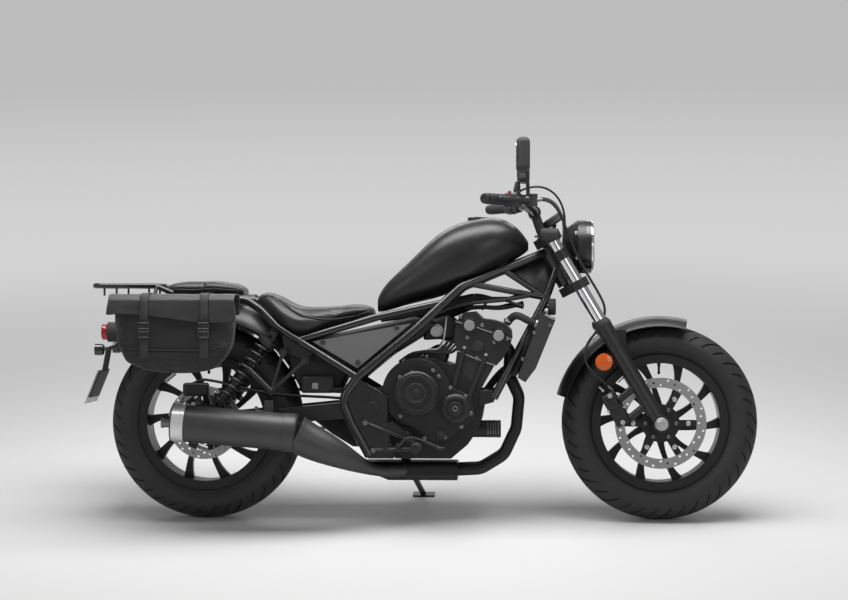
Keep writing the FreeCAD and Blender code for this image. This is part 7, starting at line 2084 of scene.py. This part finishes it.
@dataclass
class Trim:
    """Tank, peg, plate and stand details."""

    cap: Point = (0.150, 0.0, 0.9932)
    peg_feet: tuple[tuple[float, float, float, float, float], ...] = ()
    peg_ribs: int = 8
    coil_radius: float = 0.0062
    coil_turns: int = 20
    coil_steps: int = 12
    lock_steps: Outline = ((0.0, 0.0115), (0.0022, 0.0110), (0.0030, 0.0098), (0.0030, 0.0042), (0.0014, 0.0038))
    strut_ends: tuple[Outline, ...] = (((-0.212, 0.323), (-0.052, 0.262)), ((-0.186, 0.234), (-0.062, 0.240)))
    stand_foot: Point = (-0.042, 0.282, 0.0)
    stand_pivot: Point = (-0.096, 0.128, 0.182)
    stand_axis: Point = (0.15, 0.59, 0.794)
    coil_offset: float = 0.0175
    plate_top: Point = (-1.092, 0.0, 0.490)
    plate_lean: float = 22.0
    plate_out: float = 0.042
    plate_reaches: tuple[float, float] = (0.012, 0.106)

    def tank(self, bench: Bench) -> None:
        """The filler cap's lock on top of the tank."""
        lock = bench.turned(self.lock_steps, 28)
        bench.spread(
            lock, [towards((self.cap[0], 0.0, self.cap[2]), (0.05, 0, 1))], "tank_cap_lock", "chassis",
            Finishes.dark_steel, 40.0)

    def pegs(self, bench: Bench) -> None:
        """Ribbed rubbers on the riders' pegs."""
        for index, (along, up, out, reach, radius) in enumerate(self.peg_feet):
            profile = []
            for rib in range(self.peg_ribs):
                foot = reach * rib / self.peg_ribs
                profile += [(foot, radius), (foot + reach * 0.012, radius + 0.0018),
                            (foot + reach * 0.075, radius + 0.0018), (foot + reach * 0.09, radius)]
            places = both(along, out, up)
            bench.spread(
                bench.turned(profile, 28), places, f"peg_rubber_{index + 1}", "chassis", Finishes.rubber, 35.0)

    def brackets(self, bench: Bench) -> None:
        """The forged struts that carry the riders' pegs, with their bolts."""
        struts, bolts = [], []
        for side in (-1, 1):
            for foot, end in self.strut_ends:
                struts.append(bench.drawn(((foot[0], side * 0.147, foot[1]), (end[0], side * 0.162, end[1])), 0.0068,
                                          smooth=False))
                bolts.append(towards((foot[0], side * 0.153, foot[1]), (0.0, side, 0.0)))
        bench.hang(bench.joined(struts), "peg_struts", "chassis", Finishes.satin_paint, 60.0)
        bench.spread(bench.cap_screw(0.0078, 0.006), bolts, "peg_strut_bolts", "chassis", Finishes.dark_steel)

    def lamps(self, bench: Bench) -> None:
        """The number plate's bolts."""
        lean = math.radians(self.plate_lean)
        face = Vector((-math.cos(lean), 0.0, math.sin(lean)))
        down = Vector((-math.sin(lean), 0.0, -math.cos(lean)))
        top = Vector(self.plate_top)
        bolts = [towards(top + down * reach + face * 0.0012 + Vector((0, side * self.plate_out, 0)), face)
                 for side in (-1, 1) for reach in self.plate_reaches]
        bench.spread(bench.cap_screw(0.0055, 0.0034), bolts, "plate_bolts", "chassis", Finishes.steel)

    def stand(self, bench: Bench) -> None:
        """The stand's return spring."""
        coil = []
        leg = Vector(self.stand_foot) - Vector(self.stand_pivot)
        start = Vector(self.stand_pivot) + Vector(self.stand_axis) * self.coil_offset
        first, last = start + leg * 0.12, start + leg * 0.36
        way = (last - first).normalized()
        frame = towards(first, way)
        count = self.coil_steps * self.coil_turns
        for step in range(count + 1):
            turn = 2 * math.pi * step / self.coil_steps
            coil.append(
                tuple(frame @ Vector((self.coil_radius * math.cos(turn), self.coil_radius * math.sin(turn),
                    (last - first).length * step / count))))
        bench.hang(bench.drawn(coil, 0.0011, steps=2), "stand_spring", "side_stand", Finishes.steel, 60.0)

    def build(self, bench: Bench) -> None:
        """Builds the trim."""
        self.tank(bench)
        self.pegs(bench)
        self.brackets(bench)
        self.lamps(bench)
        self.stand(bench)


@dataclass
class Inside:
    """What fills the frame between the engine, the tank, the seat and the rear tyre."""

    body: str = "chassis"
    rear_axle: tuple[float, float] = (-0.745, 0.319)
    guard_radius: float = 0.334
    guard_from: float = 20.0
    guard_to: float = 66.0
    guard_thickness: float = 0.004
    guard_width: float = 0.168
    guard_steps: int = 18
    snorkel_route: tuple[Point, ...] = (
        (-0.050, 0.0, 0.640), (0.010, 0.0, 0.672), (0.070, 0.0, 0.690), (0.130, 0.0, 0.716))
    starter_steps: Outline = (
        (-0.088, 0.020), (-0.086, 0.0325), (-0.060, 0.0340), (0.060, 0.0340), (0.066, 0.0300), (0.086, 0.0280),
        (0.088, 0.012))
    rim_steps: Outline = ((0.0, 0.1130), (0.026, 0.1130), (0.031, 0.1100), (0.032, 0.1060), (0.032, 0.0800))
    rib_steps: Outline = ((-0.0016, 0.0282), (-0.0006, 0.0298), (0.0006, 0.0298), (0.0016, 0.0282))
    starter_at: Point = (0.020, 0.0, 0.540)
    rim_at: Point = (-0.045, 0.421, -0.106)
    box_shapes: dict[str, tuple[Outline, float, float]] = field(default_factory=lambda: {
        "air_box": (((-0.425, 0.588), (-0.055, 0.668), (0.020, 0.650), (-0.035, 0.598), (-0.235, 0.475)), 0.216,
                    0.014),
        "tank_tray": (((-0.168, 0.672), (0.020, 0.704), (0.150, 0.745), (0.150, 0.712), (0.010, 0.672),
                       (-0.168, 0.648)), 0.13, 0.006),
        "battery_tray": (((-0.424, 0.425), (-0.450, 0.470), (-0.478, 0.560), (-0.300, 0.588), (-0.262, 0.500),
                          (-0.300, 0.425)), 0.19, 0.01),
        "linkage_cover": (((-0.395, 0.332), (-0.300, 0.375), (-0.160, 0.380), (-0.160, 0.236), (-0.260, 0.240),
                           (-0.330, 0.282)), 0.11, 0.01),
        "fan_housing": (((0.3746, 0.6736), (0.3494, 0.6857), (0.2514, 0.4817), (0.2766, 0.4696)), 0.19, 0.008),
        "ignition_coil": (((0.080, 0.704), (0.140, 0.716), (0.136, 0.744), (0.080, 0.732)), 0.05, 0.005),
        "inlet_block": (((-0.030, 0.590), (-0.010, 0.655), (0.060, 0.676), (0.095, 0.640), (0.080, 0.596)), 0.166,
                        0.012),
    })
    tube_ends: tuple[Outline, ...] = (((0.069, 0.425), (0.108, 0.564)), ((0.124, 0.406), (0.178, 0.541)))

    def boxes(self, bench: Bench) -> None:
        """The air box, the trays, the linkage cover, the fan housing, the coil and the inlet block."""
        for name, (outline, width, bevel) in self.box_shapes.items():
            bench.hang(bench.plate(outline, width, bevel, standing(0.0)), name, self.body, Finishes.inner_black, 40.0)

    def guard(self, bench: Bench) -> None:
        """The inner mudguard that follows the rear tyre."""
        turns = [math.radians(self.guard_from + (self.guard_to - self.guard_from) * step / self.guard_steps)
                 for step in range(self.guard_steps + 1)]
        ring = []
        for radius, order in ((self.guard_radius, turns), (self.guard_radius + self.guard_thickness, turns[::-1])):
            ring += [(self.rear_axle[0] + radius * math.cos(turn), self.rear_axle[1] + radius * math.sin(turn))
                     for turn in order]
        guard = bench.plate(ring, self.guard_width, 0.0, standing(0.0))
        bench.hang(guard, "inner_guard", self.body, Finishes.inner_black, 40.0)

    def tangle(self, bench: Bench) -> None:
        """Hoses and wires over the cylinder head and on top of the crankcase."""
        runs = []
        for index in range(8):
            across = -0.072 + 0.020 * index
            lift = 0.006 * (index % 3) - 0.004 * (index % 2)
            runs.append(((0.335, across * 0.8, 0.742 - lift), (0.285, across, 0.732 + lift),
                         (0.225, across - 0.006, 0.722 - lift), (0.160, across + 0.004, 0.732 + lift),
                         (0.100, across, 0.716 + lift), (0.030, across * 0.9, 0.702)))
        pipes = [bench.drawn(run, 0.0062 if index % 2 else 0.0042) for index, run in enumerate(runs)]
        bench.hang(bench.joined(pipes), "wiring_bundle", self.body, Finishes.rubber, 60.0)
        loops = []
        for index in range(5):
            shift = 0.016 * index
            loops.append(
                ((-0.105 + shift, -0.088, 0.520), (-0.075 + shift, -0.104 + shift * 0.3, 0.545 + shift * 0.2),
                    (-0.035 + shift, -0.100, 0.555), (0.010 + shift, -0.096, 0.545), (0.040 + shift, -0.080, 0.590)))
        pipes = [bench.drawn(run, 0.0038 + 0.0012 * (index % 3)) for index, run in enumerate(loops)]
        bench.hang(bench.joined(pipes), "crankcase_wires", self.body, Finishes.rubber, 60.0)
        rail = []
        for index in range(6):
            across = -0.060 + 0.022 * index
            rail.append(((0.300, across, 0.712 - 0.003 * index), (0.262, across - 0.004, 0.700 + 0.002 * index),
                         (0.215, across, 0.694), (0.160, across + 0.003, 0.700), (0.110, across, 0.694)))
        pipes = [bench.drawn(run, 0.0075 - 0.0009 * (index % 4)) for index, run in enumerate(rail)]
        bench.hang(bench.joined(pipes), "head_hoses", self.body, Finishes.rubber, 60.0)
        bench.hang(bench.drawn(self.snorkel_route, 0.026), "inlet_duct", self.body, Finishes.rubber, 60.0)

    def castings(self, bench: Bench) -> None:
        """Starter motor, clutch housing rim, bolt tubes and oil filter ribs."""
        starter = bench.turned(self.starter_steps, 40)
        bench.spread(
            starter, [towards(self.starter_at, (0.0, -1.0, 0.0))], "starter_motor", self.body, Finishes.engine_paint,
            40.0)
        rim = bench.turned(self.rim_steps, 72)
        bench.spread(rim, [side_face(*self.rim_at)], "clutch_housing", self.body, Finishes.crankcase_paint, 40.0)
        tubes = []
        for side in (-1, 1):
            for foot, top in self.tube_ends:
                tubes.append(bench.drawn(((foot[0], side * 0.116, foot[1]), (top[0], side * 0.116, top[1])), 0.0092,
                                         smooth=False))
        bench.hang(bench.joined(tubes), "cylinder_bolt_tubes", self.body, Finishes.engine_paint, 60.0)
        rings = [towards((0.184 + 0.0085 * step, -0.052, 0.300), (1.0, 0.0, 0.0)) for step in range(5)]
        bench.spread(bench.turned(self.rib_steps, 40), rings, "oil_filter_ribs", self.body, Finishes.dark_steel, 60.0)

    def build(self, bench: Bench) -> None:
        """Builds everything inside the frame."""
        self.boxes(bench)
        self.guard(bench)
        self.tangle(bench)
        self.castings(bench)


# Radius and points of each line on the bars
ROUTES: dict[str, tuple[float, tuple[Point, ...]]] = {
    "front_brake_hose": (0.0042, (
        (0.338, -0.222, 1.040), (0.372, -0.214, 1.044), (0.406, -0.192, 1.020), (0.430, -0.158, 0.972),
        (0.452, -0.126, 0.916), (0.476, -0.106, 0.858), (0.510, -0.100, 0.800), (0.544, -0.100, 0.744),
        (0.566, -0.098, 0.698), (0.560, -0.084, 0.654), (0.536, -0.080, 0.616), (0.505, -0.092, 0.580),
        (0.496, -0.099, 0.530), (0.520, -0.100, 0.488), (0.562, -0.098, 0.456), (0.590, -0.092, 0.428))),
    "clutch_cable": (0.0035, (
        (0.300, 0.236, 1.042), (0.330, 0.212, 1.060), (0.370, 0.176, 1.068), (0.406, 0.136, 1.050),
        (0.430, 0.104, 1.006), (0.434, 0.084, 0.950), (0.430, 0.076, 0.890), (0.428, 0.076, 0.846),
        (0.440, 0.076, 0.806), (0.454, 0.076, 0.770))),
    "throttle_cable": (0.0035, (
        (0.262, -0.282, 1.046), (0.284, -0.268, 1.066), (0.322, -0.238, 1.082), (0.368, -0.190, 1.084),
        (0.408, -0.140, 1.060), (0.432, -0.104, 1.014), (0.436, -0.084, 0.952), (0.430, -0.076, 0.890),
        (0.428, -0.076, 0.846), (0.440, -0.076, 0.806), (0.454, -0.076, 0.770))),
}
# Along, up, out, reach and radius of each peg's rubber
PEG_FEET = ((-0.042, 0.250, 0.214, 0.088, 0.0142),)


def build_pieces(bench: Bench) -> None:
    """Builds every sub-assembly in turn.

    Args:
        bench: Where the pieces are modelled.
    """
    front, rear = bench.stance.front_axle, bench.stance.rear_axle
    Tyre("front_tyre", "front_wheel", front, 0.3202, 0.065, 0.043).build(bench, Finishes.tyre_rubber)
    Tyre("rear_tyre", "rear_wheel", rear, 0.319, 0.075, 0.053).build(bench, Finishes.tyre_rubber)
    Seats().build(bench)
    for side in Side:
        Saddlebag(side).build(bench)
    Inside().build(bench)
    Engine().build(bench)
    Radiator().build(bench)
    Wheel("front", "front_wheel", front, 0.0850, 0.088).build(bench)
    Wheel("rear", "rear_wheel", rear, 0.0900, 0.068).build(bench)
    FrontEnd().build(bench)
    Bars(routes=ROUTES).build(bench)
    Chain().build(bench)
    Covers().build(bench)
    Exhaust().build(bench)
    Trim(peg_feet=PEG_FEET).build(bench)


def dress_nodes(nodes: dict[str, bpy.types.Object]) -> None:
    """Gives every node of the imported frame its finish.

    Args:
        nodes: The frame's objects by node name.
    """
    for name, node in nodes.items():
        material = NODE_FINISHES[name].material()
        if not node.material_slots:
            node.data.materials.append(material)
        for slot in node.material_slots:
            slot.material = material
        LOG.info("dressed %s in %s", name, material.name)


def main(loaded: dict[str, Any]) -> None:
    """Builds the studio and dresses the motorcycle.
    """
    logging.basicConfig(level=logging.INFO, format="%(message)s")
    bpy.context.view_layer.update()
    stance = Stance(loaded["joints"])
    Studio(stance).build()
    dress_nodes(loaded["nodes"])
    build_pieces(Bench(stance, loaded["nodes"]))


if __name__ == "__main__":
    main(frame)
